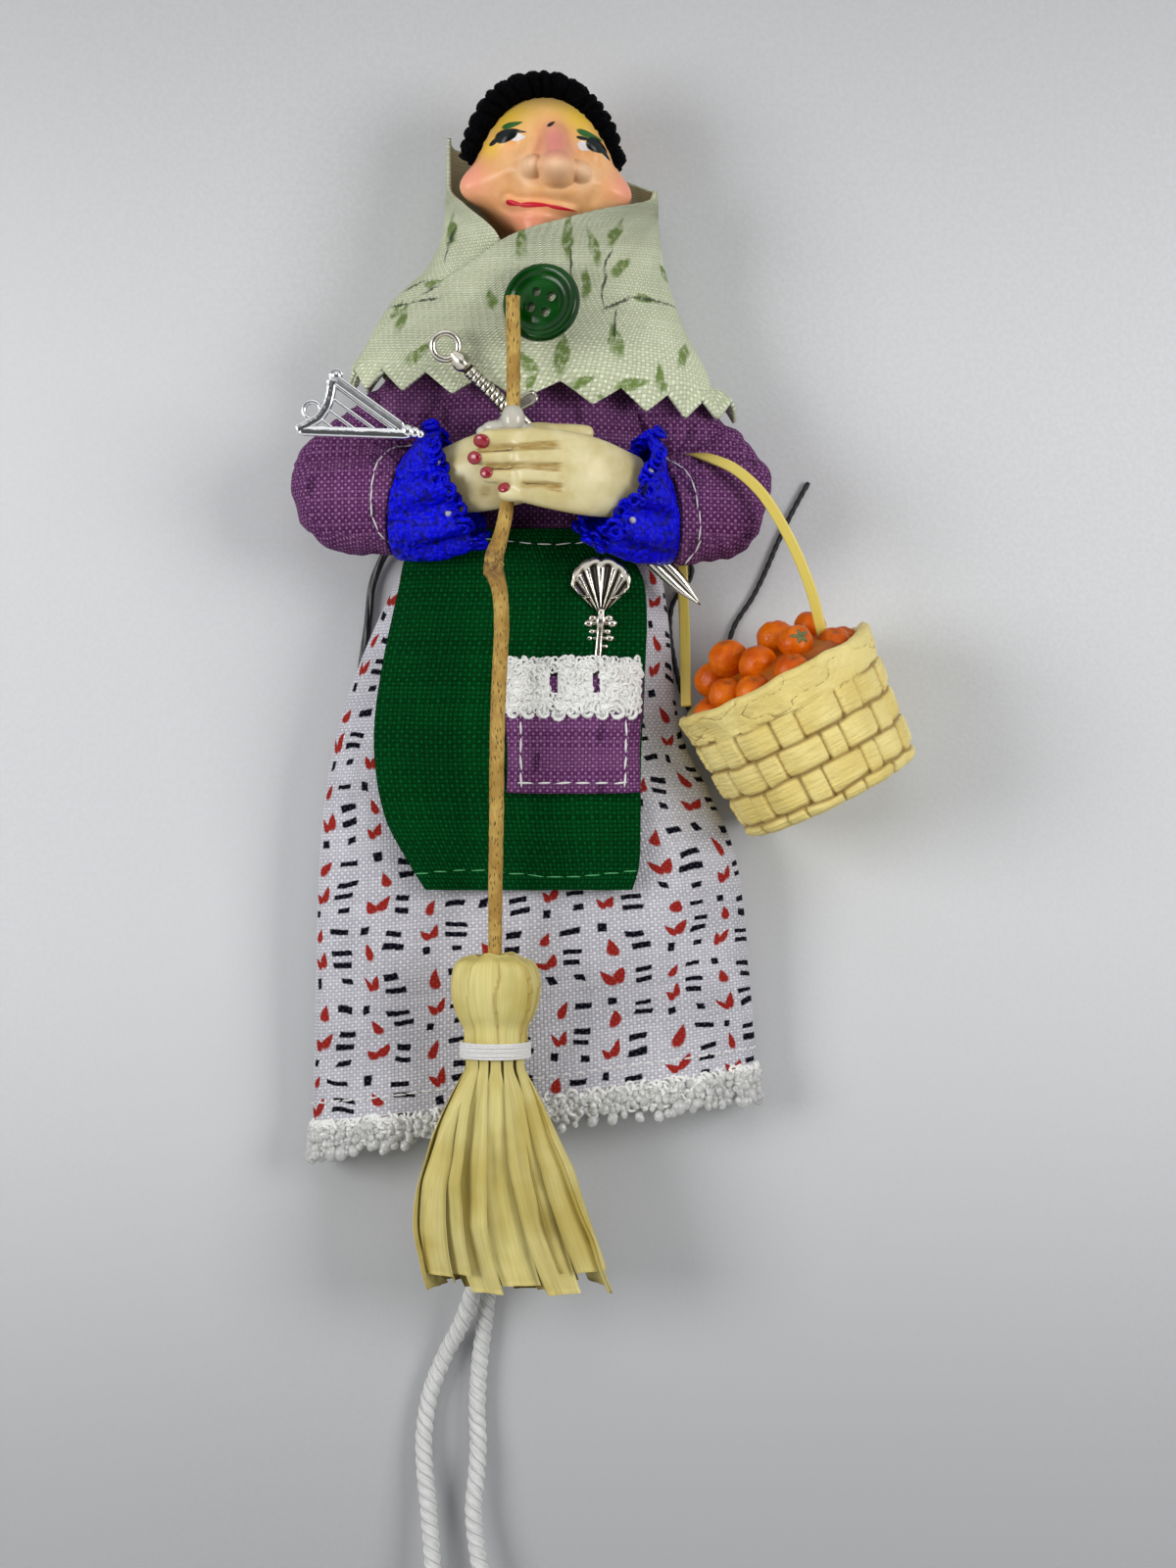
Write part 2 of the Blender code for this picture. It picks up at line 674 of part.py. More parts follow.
def scarf_point(u, v, inset):
    """A point of the shawl: u runs from its right front edge round the back to its left one."""
    back = math.sin(math.pi * u)
    start_share, slope_share, back_share = SCARF_TOP_SHARES
    top = SCARF_LEVEL_Y + SCARF_HEIGHT * (start_share + slope_share * u + back_share * back * back)
    start_share, slope_share, back_share = SCARF_HEM_SHARES
    hem = SCARF_LEVEL_Y + SCARF_HEIGHT * (start_share + slope_share * u + back_share * back)
    y = top + (hem - top) * v
    level = (y - SCARF_LEVEL_Y) / SCARF_HEIGHT
    start = math.radians(along(SCARF_RIGHT_EDGE, level)[0])
    end = math.radians(along(SCARF_LEFT_EDGE, level)[0] - 360)
    angle = start + (end - start) * u
    left, right, deep = along(SCARF_SHARES, level)
    lift = SCARF_FLAP_LIFT * max(0, 1 - 3 * u)
    left, right = left * SCARF_HALF_WIDTH - lift, right * SCARF_HALF_WIDTH + lift
    x, z = section_point(left, right, deep * SCARF_DEPTH + lift, angle, inset, 2.3)
    return Vector((x, y, z))


def scarf_grid(inset):
    """The shawl's points, with a pinked zigzag along its hem."""
    columns = SCARF_TEETH * 2 + 1
    grid = []
    for i in range(SCARF_ROWS):
        v = i / (SCARF_ROWS - 1)
        grid.append([scarf_point(j / (columns - 1), v, inset) for j in range(columns)])
    for j, point in enumerate(grid[-1]):
        point.y += SCARF_TOOTH * (j % 2)
    return grid


def make_scarf():
    make("headscarf", sheet_between(scarf_grid(CLOTH), scarf_grid(0.0)), SCARF_GREEN)


def make_button():
    radius, half = BUTTON_DIAMETER / 2, BUTTON_THICK / 2
    profile = (
        (radius * 0.55, -half),
        (radius * 0.92, -half * 0.6),
        (radius, 0.0),
        (radius * 0.95, half * 0.8),
        (radius - BUTTON_RIM / 2, half),
        (radius - BUTTON_RIM, half * 0.9),
        (radius - BUTTON_RIM * 1.4, half - BUTTON_DISH),
    )
    turn = Matrix.Rotation(BUTTON_TURN, 3, "Z") @ Matrix.Rotation(BUTTON_TILT, 3, "Y")
    rings = []
    for r, z in profile:
        flat = oval(Vector((0, 0, z)), X_WAY, Y_WAY, r, r, 22)
        rings.append([BUTTON_CENTRE + turn @ p for p in flat])
    button = make("scarf_button", solid_loft(rings), BUTTON_GREEN)
    holes = []
    for k in range(4):
        angle = math.radians(45 + 90 * k)
        side = Vector((math.cos(angle), math.sin(angle), 0)) * BUTTON_HOLE_SPACING / math.sqrt(2)
        ends = [BUTTON_CENTRE + turn @ (side + Vector((0, 0, z))) for z in (-half * 2, half * 2)]
        side_way = turn @ X_WAY
        up_way = turn @ Y_WAY
        ring = [oval(p, side_way, up_way, BUTTON_HOLE / 2, BUTTON_HOLE / 2, 7) for p in ends]
        holes.append(make("hole_tool", solid_loft(ring), BUTTON_GREEN))
    combine(button, holes, "DIFFERENCE")


def limb(path, halves, count=14, steps=7):
    """A stuffed limb that swells and tapers along a smooth path."""
    table = [(k / (len(path) - 1), *point, *half) for k, (point, half) in enumerate(zip(path, halves))]
    rows = [along(table, k / steps) for k in range(steps + 1)]
    centres = [Vector(row[:3]) for row in rows]
    return solid_loft(tube_rings(centres, [row[3:] for row in rows], count))


def make_sleeve(side, bodice, shoulder, upper, elbow, end, wrist):
    """A puffed sleeve in two lengths that meet at the elbow, bored for the arm wire."""
    away = (elbow - upper).normalized()
    into = (elbow - end).normalized()
    upper_arm = limb(
        [shoulder, upper, elbow, elbow + away * ELBOW_HALF * 0.85],
        [(ARM_HALF * 0.9,) * 2, (ARM_HALF,) * 2, (ELBOW_HALF,) * 2, (ELBOW_HALF * 0.25,) * 2],
    )
    fore_arm = limb(
        [end, end + (elbow - end) * 0.5, elbow, elbow + into * ELBOW_HALF * 0.85],
        [
            (SLEEVE_END_HALF_HEIGHT, SLEEVE_END_HALF_DEPTH),
            (SLEEVE_END_HALF_HEIGHT * 1.04, SLEEVE_END_HALF_DEPTH * 1.04),
            (ELBOW_HALF,) * 2,
            (ELBOW_HALF * 0.25,) * 2,
        ],
    )
    sleeve = fused(side + "_sleeve", [upper_arm, fore_arm], PURPLE)
    envelope = make("bodice_tool", solid_loft(bodice_rings(-GAP)), PURPLE)
    route = [shoulder, upper, elbow, end, wrist.lerp(end, WIRE_STOP_SHARE)]
    for thing, tools in ((sleeve, [envelope]), (bodice, [])):
        bore = make("bore_tool", wire_mesh(route, WIRE_DIAMETER / 2 + GAP, OVERRUN), PURPLE)
        combine(thing, tools + [bore], "DIFFERENCE")
    make(side + "_arm_wire", wire_mesh(route, WIRE_DIAMETER / 2), SILVER)
    return sleeve


def wire_mesh(route, radius, overrun=0.0):
    """The wire in one arm, or the bore for it, which runs on past both ends."""
    path = route_points(route, 18)
    path[0] += (path[0] - path[1]).normalized() * overrun
    path[-1] += (path[-1] - path[-2]).normalized() * overrun
    return solid_loft(tube_rings(path, [(radius, radius)] * 18, 8))


def make_cuff(side, elbow, end, wrist, tools):
    """A lace ruffle round the wrist that flattens from the sleeve's end to its wavy free edge."""
    start_way, end_way = (end - elbow).normalized(), (wrist - end).normalized()
    outer, inner = [], []
    for share, high, above, below, ruffle in CUFF_SHARES:
        way = start_way.lerp(end_way, share)
        way.z *= 1 - CUFF_LEVEL * share
        way.normalize()
        up = (Z_WAY - way * way.z).normalized()
        across = up.cross(way) if way.x < 0 else way.cross(up)
        centre = end + start_way * GAP * 2 + (wrist - end) * share
        high *= SLEEVE_END_HALF_HEIGHT
        for rings, inset in ((outer, 0.0), (inner, CLOTH)):
            ring = []
            for k in range(CUFF_COLUMNS):
                angle = math.tau * k / CUFF_COLUMNS
                c, s = math.cos(angle), math.sin(angle)
                wave = CUFF_RUFFLE * ruffle * math.sin(CUFF_RUFFLES * angle) * (0.6 + 0.4 * s) - inset
                slack = share * CUFF_SLANT * (1 - c)
                deep = SLEEVE_END_HALF_DEPTH * (above if s > 0 else below * (1 - slack))
                ring.append(centre + across * c * (high + wave) + up * s * (deep + wave))
            rings.append(ring)
    cuff = make(side + "_cuff", shell_loft(outer, inner), BLUE_LACE)
    combine(cuff, [make("cuff_tool", mesh, SILVER) for mesh in tools], "DIFFERENCE")


def hand_meshes(wrist, knuckles, way, grow=0.0):
    """A palm and four fingers; way is the side that the fingers point to."""
    bend = Vector((0, 0, (knuckles.z - wrist.z) * 0.32))
    middle = wrist.lerp(knuckles, 0.45) + bend
    wide, thick = HAND_HALF_WIDTH + grow, HAND_HALF_THICK + grow
    palm = limb(
        [wrist, middle, knuckles, knuckles + way * FINGER_DIAMETER],
        [(wide * 0.8, thick * 1.35), (wide, thick * 1.15), (wide * 0.97, thick), (wide * 0.8, thick * 0.6)],
    )
    meshes = [palm]
    length_shares = (0.90, 1.0, 0.84, 0.56)
    for k, share in enumerate(length_shares):
        root = knuckles + Vector((0, FINGER_SPACING * (1.5 - k), 0)) - way * FINGER_DIAMETER
        reach = way * (FINGER_LENGTH * share + FINGER_DIAMETER)
        droop = Vector((0, 0, -FINGER_DIAMETER / 4))
        half = FINGER_DIAMETER / 2 + grow
        tip = root + reach
        path = [root, root + reach * 0.5, tip - way * half * 0.5 + droop * 0.8, tip + droop]
        halves = [(half,) * 2, (half,) * 2, (half * 0.85,) * 2, (half * 0.35,) * 2]
        meshes.append(limb(path, halves, count=8, steps=4))
    return meshes


def make_hands():
    fused("front_hand", hand_meshes(FRONT_WRIST, FRONT_KNUCKLES, -X_WAY), RESIN)
    fused("rear_hand", hand_meshes(REAR_WRIST, REAR_KNUCKLES, X_WAY), RESIN)
    centre = Vector((stick_at(0.098).x, FRONT_KNUCKLES.y + HAND_HALF_WIDTH + FINGER_DIAMETER * 0.62, 0))
    centre.z = stick_at(0.098).z + STICK_DIAMETER * 0.4
    rings = []
    for k in range(1, 8):
        tilt = math.pi * k / 8
        ring_centre = centre + Vector((0, math.cos(tilt) * FINGER_DIAMETER * 0.5, 0))
        wide, deep = STICK_DIAMETER * 1.2 * math.sin(tilt), STICK_DIAMETER * 1.0 * math.sin(tilt)
        rings.append(oval(ring_centre, X_WAY, Z_WAY, wide, deep, 12))
    dab = make("glue_dab", solid_loft(rings), GLUE)
    bore = make("stick_tool", stick_mesh(GAP), TWIG)
    combine(dab, [bore], "DIFFERENCE")


# The twig's own route from its top to its foot in the broom head
STICK_ROUTE = (
    (-0.0031, 0.0474, 0.0293),
    (-0.0031, 0.0301, 0.0291),
    (-0.0039, 0.0179, 0.0286),
    (-0.0046, 0.0140, 0.0284),
    (-0.0060, 0.0086, 0.0281),
    (-0.0051, 0.0055, 0.0280),
    (-0.0048, -0.0002, 0.0276),
    (-0.0052, -0.0087, 0.0270),
    (-0.0055, -0.0172, 0.0262),
    (-0.0056, -0.0271, 0.0249),
    (-0.0058, -0.0370, 0.0234),
    (-0.0059, -0.0477, 0.0219),
    (-0.0059, -0.0530, 0.0211),
)
# Its thickness down its length, as shares of its diameter, with a knot a third of the way down
STICK_SHARES = ((0.0, 0.98), (0.33, 1.0), (0.385, 1.35), (0.42, 1.1), (0.5, 1.05), (0.8, 1.0), (1.0, 0.95))


def stick_at(down):
    """The stick's centre at a share of its length."""
    return route_points(STICK_ROUTE, 201)[round(down * 200)]


def stick_mesh(grow=0.0):
    path = route_points(STICK_ROUTE, 28)
    halves = []
    for k in range(len(path)):
        half = along(STICK_SHARES, k / (len(path) - 1))[0] * STICK_DIAMETER / 2 + grow
        halves.append((half, half))
    return solid_loft(tube_rings(path, halves, 8))


def broom_axis(s):
    """Centre of the broom head, s counting from its top down to its foot."""
    total = BULB_LENGTH + NECK_LENGTH + FLARE_LENGTH
    flare = max(0, (s * total - BULB_LENGTH - NECK_LENGTH) / FLARE_LENGTH)
    lean = math.sin(math.pi * 0.5 * flare)
    side = FLARE_SIDE * flare**3 - 0.1 * FLARE_SIDE * lean
    drop = FLARE_DROP * (s - 0.12)
    return BULB_TOP + Vector((side, -s * total, -drop))


def make_broom():
    make("broom_stick", stick_mesh(), TWIG)
    total = BULB_LENGTH + NECK_LENGTH + FLARE_LENGTH
    neck_start, neck_end = BULB_LENGTH / total, (BULB_LENGTH + NECK_LENGTH) / total
    core_shares = (
        (0.00, 0.45),
        (0.07, 0.78),
        (0.30, 0.98),
        (0.52, 1.00),
        (0.80, 0.88),
        (0.93, 0.76),
        (1.06, 0.70),
        (1.30, 0.70),
        (1.52, 0.70),
    )
    rings = []
    for k in range(14):
        share = 1.52 * k / 13
        swell = along(core_shares, share)[0]
        half_width = BULB_HALF_WIDTH * swell
        half_depth = BULB_HALF_DEPTH * swell
        if share > 0.95:
            half_width, half_depth = NECK_HALF_WIDTH, NECK_HALF_DEPTH
        centre = broom_axis(share * neck_start)
        rings.append(oval(centre, X_WAY, Z_WAY, half_width, half_depth, 16, 2.2))
    meshes = [solid_loft(rings)]
    for layer, count in ((1.0, OUTER_STRIPS), (0.55, INNER_STRIPS)):
        for k in range(count):
            meshes.append(strip_mesh(layer, math.tau * (k + 0.5 * layer) / count, count, neck_end, k))
    head = fused("broom_head", meshes, STRAW)
    combine(head, [make("stick_tool", stick_mesh(GAP), TWIG)], "DIFFERENCE")
    make_binding(neck_start, neck_end)


def strip_mesh(layer, angle, count, neck_end, number):
    """One raffia strip from inside the neck to its cut end."""
    rings = []
    length = 1 - 0.05 * (number * 7 % 5) / 4
    for k in range(5):
        s = neck_end - 0.05 + (length - neck_end + 0.05) * k / 4
        flare = max(0, (s - neck_end) / (1 - neck_end))
        open_share = math.sin(math.pi * 0.5 * min(1, flare)) ** 0.9
        wide = (NECK_HALF_WIDTH + (FLARE_HALF_WIDTH - NECK_HALF_WIDTH) * open_share) * layer
        deep = (NECK_HALF_DEPTH + (FLARE_HALF_DEPTH - NECK_HALF_DEPTH) * open_share) * layer
        wide, deep = wide - STRIP_THICK, deep - STRIP_THICK
        out = Vector((math.cos(angle) * wide, 0, math.sin(angle) * deep))
        tangent = Vector((-math.sin(angle) * wide, 0, math.cos(angle) * deep))
        half = tangent.length * math.pi / count * 0.80
        tangent.normalize()
        normal = Vector((tangent.z, 0, -tangent.x))
        centre = broom_axis(s) + out
        thin = normal * STRIP_THICK / 2
        rings.append([centre + tangent * a * half + thin * b for a, b in OBLONG])
    return solid_loft(rings)


def make_binding(neck_start, neck_end):
    """White cord wound round the neck as one unbroken tube."""
    middle = (neck_start + neck_end) / 2
    centre = broom_axis(middle)
    wide = NECK_HALF_WIDTH + BINDING_DIAMETER / 2 + BINDING_FIT
    deep = NECK_HALF_DEPTH + BINDING_DIAMETER / 2 + BINDING_FIT
    turns, per_turn = BINDING_TURNS, 14
    path = []
    for k in range(turns * per_turn + 1):
        angle = math.tau * k / per_turn
        step = (k / per_turn - turns / 2) * BINDING_PITCH
        slope = -FLARE_DROP * (-step) / (BULB_LENGTH + NECK_LENGTH + FLARE_LENGTH)
        path.append(centre + Vector((math.cos(angle) * wide, -step, math.sin(angle) * deep + slope)))
    least = min(
        (path[a] - path[b]).length
        for a in range(len(path))
        for b in range(a + per_turn // 2, len(path))
    )
    print(f"broom_binding: least gap between turns {(least - BINDING_DIAMETER) * 1000:.2f} mm")
    tube("broom_binding", path, BINDING_DIAMETER, WHITE_COTTON, 1)


def sword_parts(grow=0.0):
    """Ring, grip, guard and blade of the sword, as closed meshes that overlap."""
    way = (SWORD_TIP - SWORD_POMMEL).normalized()
    side = way.cross(Z_WAY).normalized()
    up = side.cross(way).normalized()
    ring_radius, wire = SWORD_RING_DIAMETER / 2, SWORD_WIRE / 2 + grow
    hoop = []
    for k in range(14):
        angle = math.tau * k / 14
        out = way * math.cos(angle) + side * math.sin(angle)
        centre = SWORD_POMMEL + out * (ring_radius - SWORD_WIRE / 2)
        hoop.append(oval(centre, out, up, wire, wire, 6))
    grip_start = SWORD_POMMEL + way * (ring_radius - SWORD_WIRE)
    grip_end = grip_start + way * SWORD_GRIP_LENGTH
    half = SWORD_GRIP_DIAMETER / 2 + grow
    path, halves = [], []
    ribs = 5
    for k in range(ribs * 2 + 1):
        path.append(grip_start.lerp(grip_end, k / (ribs * 2)))
        halves.append((half * (0.82 if k % 2 else 1.0),) * 2)
    grip = solid_loft(tube_rings(path, halves, 8))
    arms = [(side * sign * 0.85 - way * 0.5).normalized() * SWORD_GUARD_LENGTH for sign in (-1, 1)]
    near = [arm * 0.4 for arm in arms]
    run = [grip_end + step for step in (arms[0], near[0], Vector(), near[1], arms[1])]
    thick = SWORD_WIRE * 0.7 + grow
    guard = solid_loft(tube_rings(run, [(thick, thick)] * 5, 6))
    blade = []
    for share, width in ((0.0, 0.9), (0.3, 0.9), (0.75, 1.0), (0.9, 0.8), (1.0, 0.12)):
        centre = (grip_end - way * SWORD_WIRE).lerp(SWORD_TIP + way * grow, share)
        wide = SWORD_BLADE_WIDTH / 2 * width + grow
        thick = SWORD_BLADE_THICK / 2 * min(1, width + 0.3) + grow
        blade.append([centre + side * wide, centre + up * thick, centre - side * wide, centre - up * thick])
    return ring_loop(hoop), grip, guard, solid_loft(blade)


def bar(start, end, half, count=8):
    return solid_loft(tube_rings([start, end], [(half, half)] * 2, count))


def make_charms():
    fused("sword_charm", list(sword_parts()), SILVER)

    foot = HARP_FOOT
    heel = foot + HARP_WAY * HARP_LENGTH
    crown, neck = [
        foot + HARP_WAY * HARP_LENGTH * long + HARP_UP * HARP_HEIGHT * high
        for long, high in (HARP_CROWN_SHARES, HARP_NECK_SHARES)
    ]
    half = HARP_BAR / 2
    meshes = [bar(a, b, half, 6) for a, b in ((foot, heel), (crown, heel), (crown, neck), (neck, foot))]
    for k in range(HARP_STRINGS):
        share = (k + 1) / (HARP_STRINGS + 1)
        top = crown.lerp(heel, share * 0.9)
        base = foot.lerp(heel, share * 0.8 + 0.06)
        meshes.append(bar(top, base, HARP_STRING / 2, 5))
    ring_centre = neck + Vector((-HARP_RING_DIAMETER * 0.45, HARP_RING_DIAMETER * 0.1, 0))
    hoop = []
    for k in range(12):
        angle = math.tau * k / 12
        out = Vector((math.cos(angle), math.sin(angle), 0))
        centre = ring_centre + out * HARP_RING_DIAMETER / 2
        hoop.append(oval(centre, out, Z_WAY, half * 0.6, half * 0.6, 6))
    meshes.append(ring_loop(hoop))
    knob = heel + HARP_WAY * HARP_BAR
    meshes.append(bar(heel - HARP_WAY * half, knob + HARP_WAY * half, half * 1.2))
    fused("harp_charm", meshes, CHROME)

    ribs, half_thick = 12, SHELL_THICK / 2
    rim = []
    for k in range(ribs * 2 + 1):
        angle = math.radians(-35 + 250 * k / (ribs * 2))
        radius = SHELL_WIDTH / 2 * (1.0 if k % 2 else 0.93)
        rim.append(SHELL_CENTRE + Vector((math.cos(angle), math.sin(angle) * 0.9, 0)) * radius)
    base = SHELL_CENTRE + Vector((0, -SHELL_WIDTH * 0.62, 0))
    half_stem = Vector((SHELL_STEM_WIDTH / 2, 0, 0))
    outline = rim + [base - half_stem, base + half_stem]
    lower = [p - Vector((0, 0, half_thick)) for p in outline]
    upper = [p + Vector((0, 0, half_thick)) for p in outline]
    fan = [lower, upper]
    half = SHELL_STEM_WIDTH * 0.36
    stem = []
    for share in (-0.12, 0.1, 0.35, 0.65, 1.0):
        point = base + Vector((-SHELL_STEM_WIDTH * 0.8 * share, -SHELL_STEM_LENGTH * share, 0))
        low = apron_front(point.x, point.y) + GAP + half
        point.z += (low - point.z) * min(1, max(0, share * 3))
        stem.append(point)
    stem = solid_loft(tube_rings(stem, [(half, half)] * len(stem), 8))
    scrolls = []
    for sign in (-1, 1):
        place_at = base + Vector((sign * SHELL_STEM_WIDTH * 0.8, -SHELL_STEM_WIDTH * 0.6, 0))
        way = Vector((sign * SHELL_STEM_WIDTH * 0.5, SHELL_STEM_WIDTH * 0.3, 0))
        scrolls.append(bar(place_at - way * 1.6, place_at + way, SHELL_THICK * 0.48))
    fused("shell_charm", [solid_loft(fan), stem] + scrolls, SILVER)


# Cuff rings from the sleeve to the hand: half height in the table plane, half depths above and below
# and the ruffle's height
CUFF_SHARES = (
    (0.00, 1.00, 1.00, 1.00, 0.0),
    (0.28, 1.10, 0.95, 0.72, 0.3),
    (0.70, 1.16, 0.92, 0.84, 0.8),
    (1.10, 1.12, 0.80, 1.24, 1.0),
)
# Apron edges down its length: left and right, as shares of its half width from its centre line
APRON_SHARES = (
    (0.00, -0.58, 0.66),
    (0.06, -0.74, 0.86),
    (0.16, -0.81, 1.00),
    (0.45, -0.97, 1.00),
    (0.62, -1.00, 0.98),
    (0.80, -0.92, 0.98),
    (0.93, -0.74, 0.97),
    (1.00, -0.62, 0.92),
)


def apron_point(u, v):
    """A point on the apron's lower face."""
    left, right = along(APRON_SHARES, v)
    x = APRON_CENTRE_X + APRON_HALF_WIDTH * (left + (right - left) * u)
    y = APRON_TOP_Y - APRON_LENGTH * v
    return Vector((x, y, skirt_top(x, y) + APRON_LIFT))


def apron_front(x, y):
    return skirt_top(x, y) + APRON_LIFT + CLOTH


def pocket_point(x, y, layers):
    """A point in front of the apron, by how many cloths lie under it."""
    share = min(1, abs(x - POCKET_CENTRE_X) / (POCKET_WIDTH / 2))
    down = min(1, max(0, (POCKET_TOP_Y - y) / POCKET_LENGTH))
    bulge = POCKET_BULGE * (1 - share**3) * (1 - down**2)
    lifted = GAP + bulge + layers * (CLOTH + GAP * 2)
    return Vector((x, y, apron_front(x, y) + lifted))


def make_apron():
    grid = []
    for i in range(APRON_ROWS + 1):
        grid.append([apron_point(j / APRON_COLUMNS, i / APRON_ROWS) for j in range(APRON_COLUMNS + 1)])
    make("apron", thick_sheet(grid, CLOTH), APRON_GREEN)
    left, bottom = POCKET_CENTRE_X - POCKET_WIDTH / 2, POCKET_TOP_Y - POCKET_LENGTH
    grid = []
    for i in range(7):
        y = POCKET_TOP_Y + (bottom - POCKET_TOP_Y) * i / 6
        grid.append([pocket_point(left + POCKET_WIDTH * j / 10, y, 0) for j in range(11)])
    make("apron_pocket", thick_sheet(grid, CLOTH), PURPLE)
    grid = []
    high, low = POCKET_TOP_Y + POCKET_LACE_RISE, POCKET_TOP_Y - POCKET_LACE_DROP
    for i in range(4):
        row = []
        for j in range(17):
            y = high + (low - high) * i / 3
            if i == 3:
                y += POCKET_LACE_DROP / 2 * (j % 2)
            row.append(pocket_point(left + POCKET_WIDTH * j / 16, y, 1))
        grid.append(row)
    make("pocket_lace", thick_sheet(grid, CLOTH), WHITE_COTTON)


def basket_frame():
    """Axis, side and up directions of the basket as it lies."""
    turn = Matrix.Rotation(BASKET_TURN, 3, "Z") @ Matrix.Rotation(BASKET_PITCH, 3, "X")
    return turn @ Y_WAY, turn @ X_WAY, turn @ Z_WAY


def basket_place(side, along_axis, up):
    """A place in the basket's own frame, from the middle of its rim."""
    axis, across, rise = basket_frame()
    return BASKET_RIM_CENTRE + across * side + axis * along_axis + rise * up


def basket_radius(depth):
    share = depth / BASKET_HEIGHT
    return BASKET_RIM_DIAMETER / 2 + (BASKET_BASE_DIAMETER - BASKET_RIM_DIAMETER) / 2 * share


def basket_ring(radius, depth, count=BASKET_SIDES):
    axis, across, rise = basket_frame()
    return oval(BASKET_RIM_CENTRE - axis * depth, across, rise, radius, radius, count)


# Fruit centres in the basket's frame: to the side, out of the rim and up, as shares of a fruit's
# diameter, and each fruit's own size share
FRUIT_SHARES = (
    (-0.85, 0.94, 0.40, 1.03),
    (-1.40, 0.58, -0.38, 0.96),
    (-0.30, 0.52, 1.22, 1.00),
    (0.48, 0.84, 0.22, 1.00),
    (0.80, 0.60, 1.28, 0.88),
    (1.46, 0.68, -0.36, 0.84),
)
# The handle's route from its right foot over the elbow, behind the forearm and to its left foot:
# how far each point lies to the side of the line from the pivot to the middle of the rim, its
# level and its height
HANDLE_ROUTE = (
    (0.0097, -0.0046, 0.0178),
    (0.0096, -0.0004, 0.0190),
    (0.0102, 0.0050, 0.0205),
    (0.0102, 0.0103, 0.0216),
    (0.0097, 0.0148, 0.0222),
    (0.0085, 0.0197, 0.0225),
    (0.0061, 0.0231, 0.0223),
    (0.0034, 0.0248, 0.0212),
    (0.0014, 0.0257, 0.0188),
    (0.0002, 0.0259, 0.0150),
    (0.0000, 0.0259, 0.0100),
    (-0.0001, 0.0256, 0.0052),
    (-0.0009, 0.0236, 0.0021),
    (-0.0031, 0.0180, 0.0017),
    (-0.0059, 0.0110, 0.0017),
    (-0.0078, 0.0060, 0.0025),
    (-0.0097, 0.0010, 0.0054),
    (-0.0118, -0.0044, 0.0092),
    (-0.0146, -0.0112, 0.0130),
)
# The direction of the strip's width at each of those points
HANDLE_WAY_SHARES = (
    (0.95, 0.30, 0.0),
    (0.97, 0.24, 0.0),
    (0.94, 0.32, 0.0),
    (0.90, 0.42, 0.0),
    (0.82, 0.56, 0.0),
    (0.65, 0.76, 0.0),
    (0.40, 0.90, -0.1),
    (0.25, 0.80, -0.5),
    (0.65, 0.25, -0.6),
    (1.0, 0.0, -0.1),
    (1.0, 0.0, 0.0),
    (1.0, 0.0, 0.0),
    (1.0, 0.0, 0.0),
    (1.0, 0.0, 0.0),
    (1.0, 0.0, 0.0),
    (1.0, 0.0, 0.0),
    (1.0, 0.02, 0.0),
    (0.98, 0.1, 0.0),
    (0.98, 0.15, 0.0),
)


def handle_table():
    """The handle's route with its points set beside the line from the pivot to the basket."""
    reach = BASKET_RIM_CENTRE - BASKET_PIVOT
    table = []
    for k, ((aside, level, height), way) in enumerate(zip(HANDLE_ROUTE, HANDLE_WAY_SHARES)):
        x = BASKET_PIVOT.x + reach.x * (level - BASKET_PIVOT.y) / reach.y + aside
        table.append((k / (len(HANDLE_ROUTE) - 1), x, level, height, *way))
    return table


def handle_mesh(grow=0.0):
    """The flat strip as a loft of small oblongs."""
    table, steps = handle_table(), 38
    rows = [along(table, k / steps) for k in range(steps + 1)]
    rings = []
    for k, row in enumerate(rows):
        ahead = Vector(rows[min(k + 1, steps)][:3]) - Vector(rows[max(k - 1, 0)][:3])
        width = Vector(row[3:])
        thin = ahead.cross(width).normalized() * (HANDLE_THICK / 2 + grow)
        wide = thin.cross(ahead).normalized() * (HANDLE_WIDTH / 2 + grow)
        centre = Vector(row[:3])
        rings.append([centre + wide * a + thin * b for a, b in OBLONG])
    return solid_loft(rings)


# The heap of fruit under the ones on top: width and depth from its foot to its crown
BED_SHARES = ((0.98, 1.0), (1.0, 0.6), (1.0, 0.12), (0.86, -0.12), (0.60, -0.26), (0.30, -0.32))


def fruit_mesh(side, out, up, size, grow=0.0):
    """One fruit as a ball, by its place in the basket."""
    centre = basket_place(side * FRUIT_DIAMETER, out * FRUIT_DIAMETER, up * FRUIT_DIAMETER)
    radius = FRUIT_DIAMETER / 2 * size + grow
    rings = []
    for k in range(1, 8):
        tilt = math.pi * k / 8
        ring_centre = centre + Vector((0, 0, math.cos(tilt) * radius))
        flat = radius * math.sin(tilt)
        rings.append(oval(ring_centre, X_WAY, Y_WAY, flat, flat, 11))
    return solid_loft(rings)


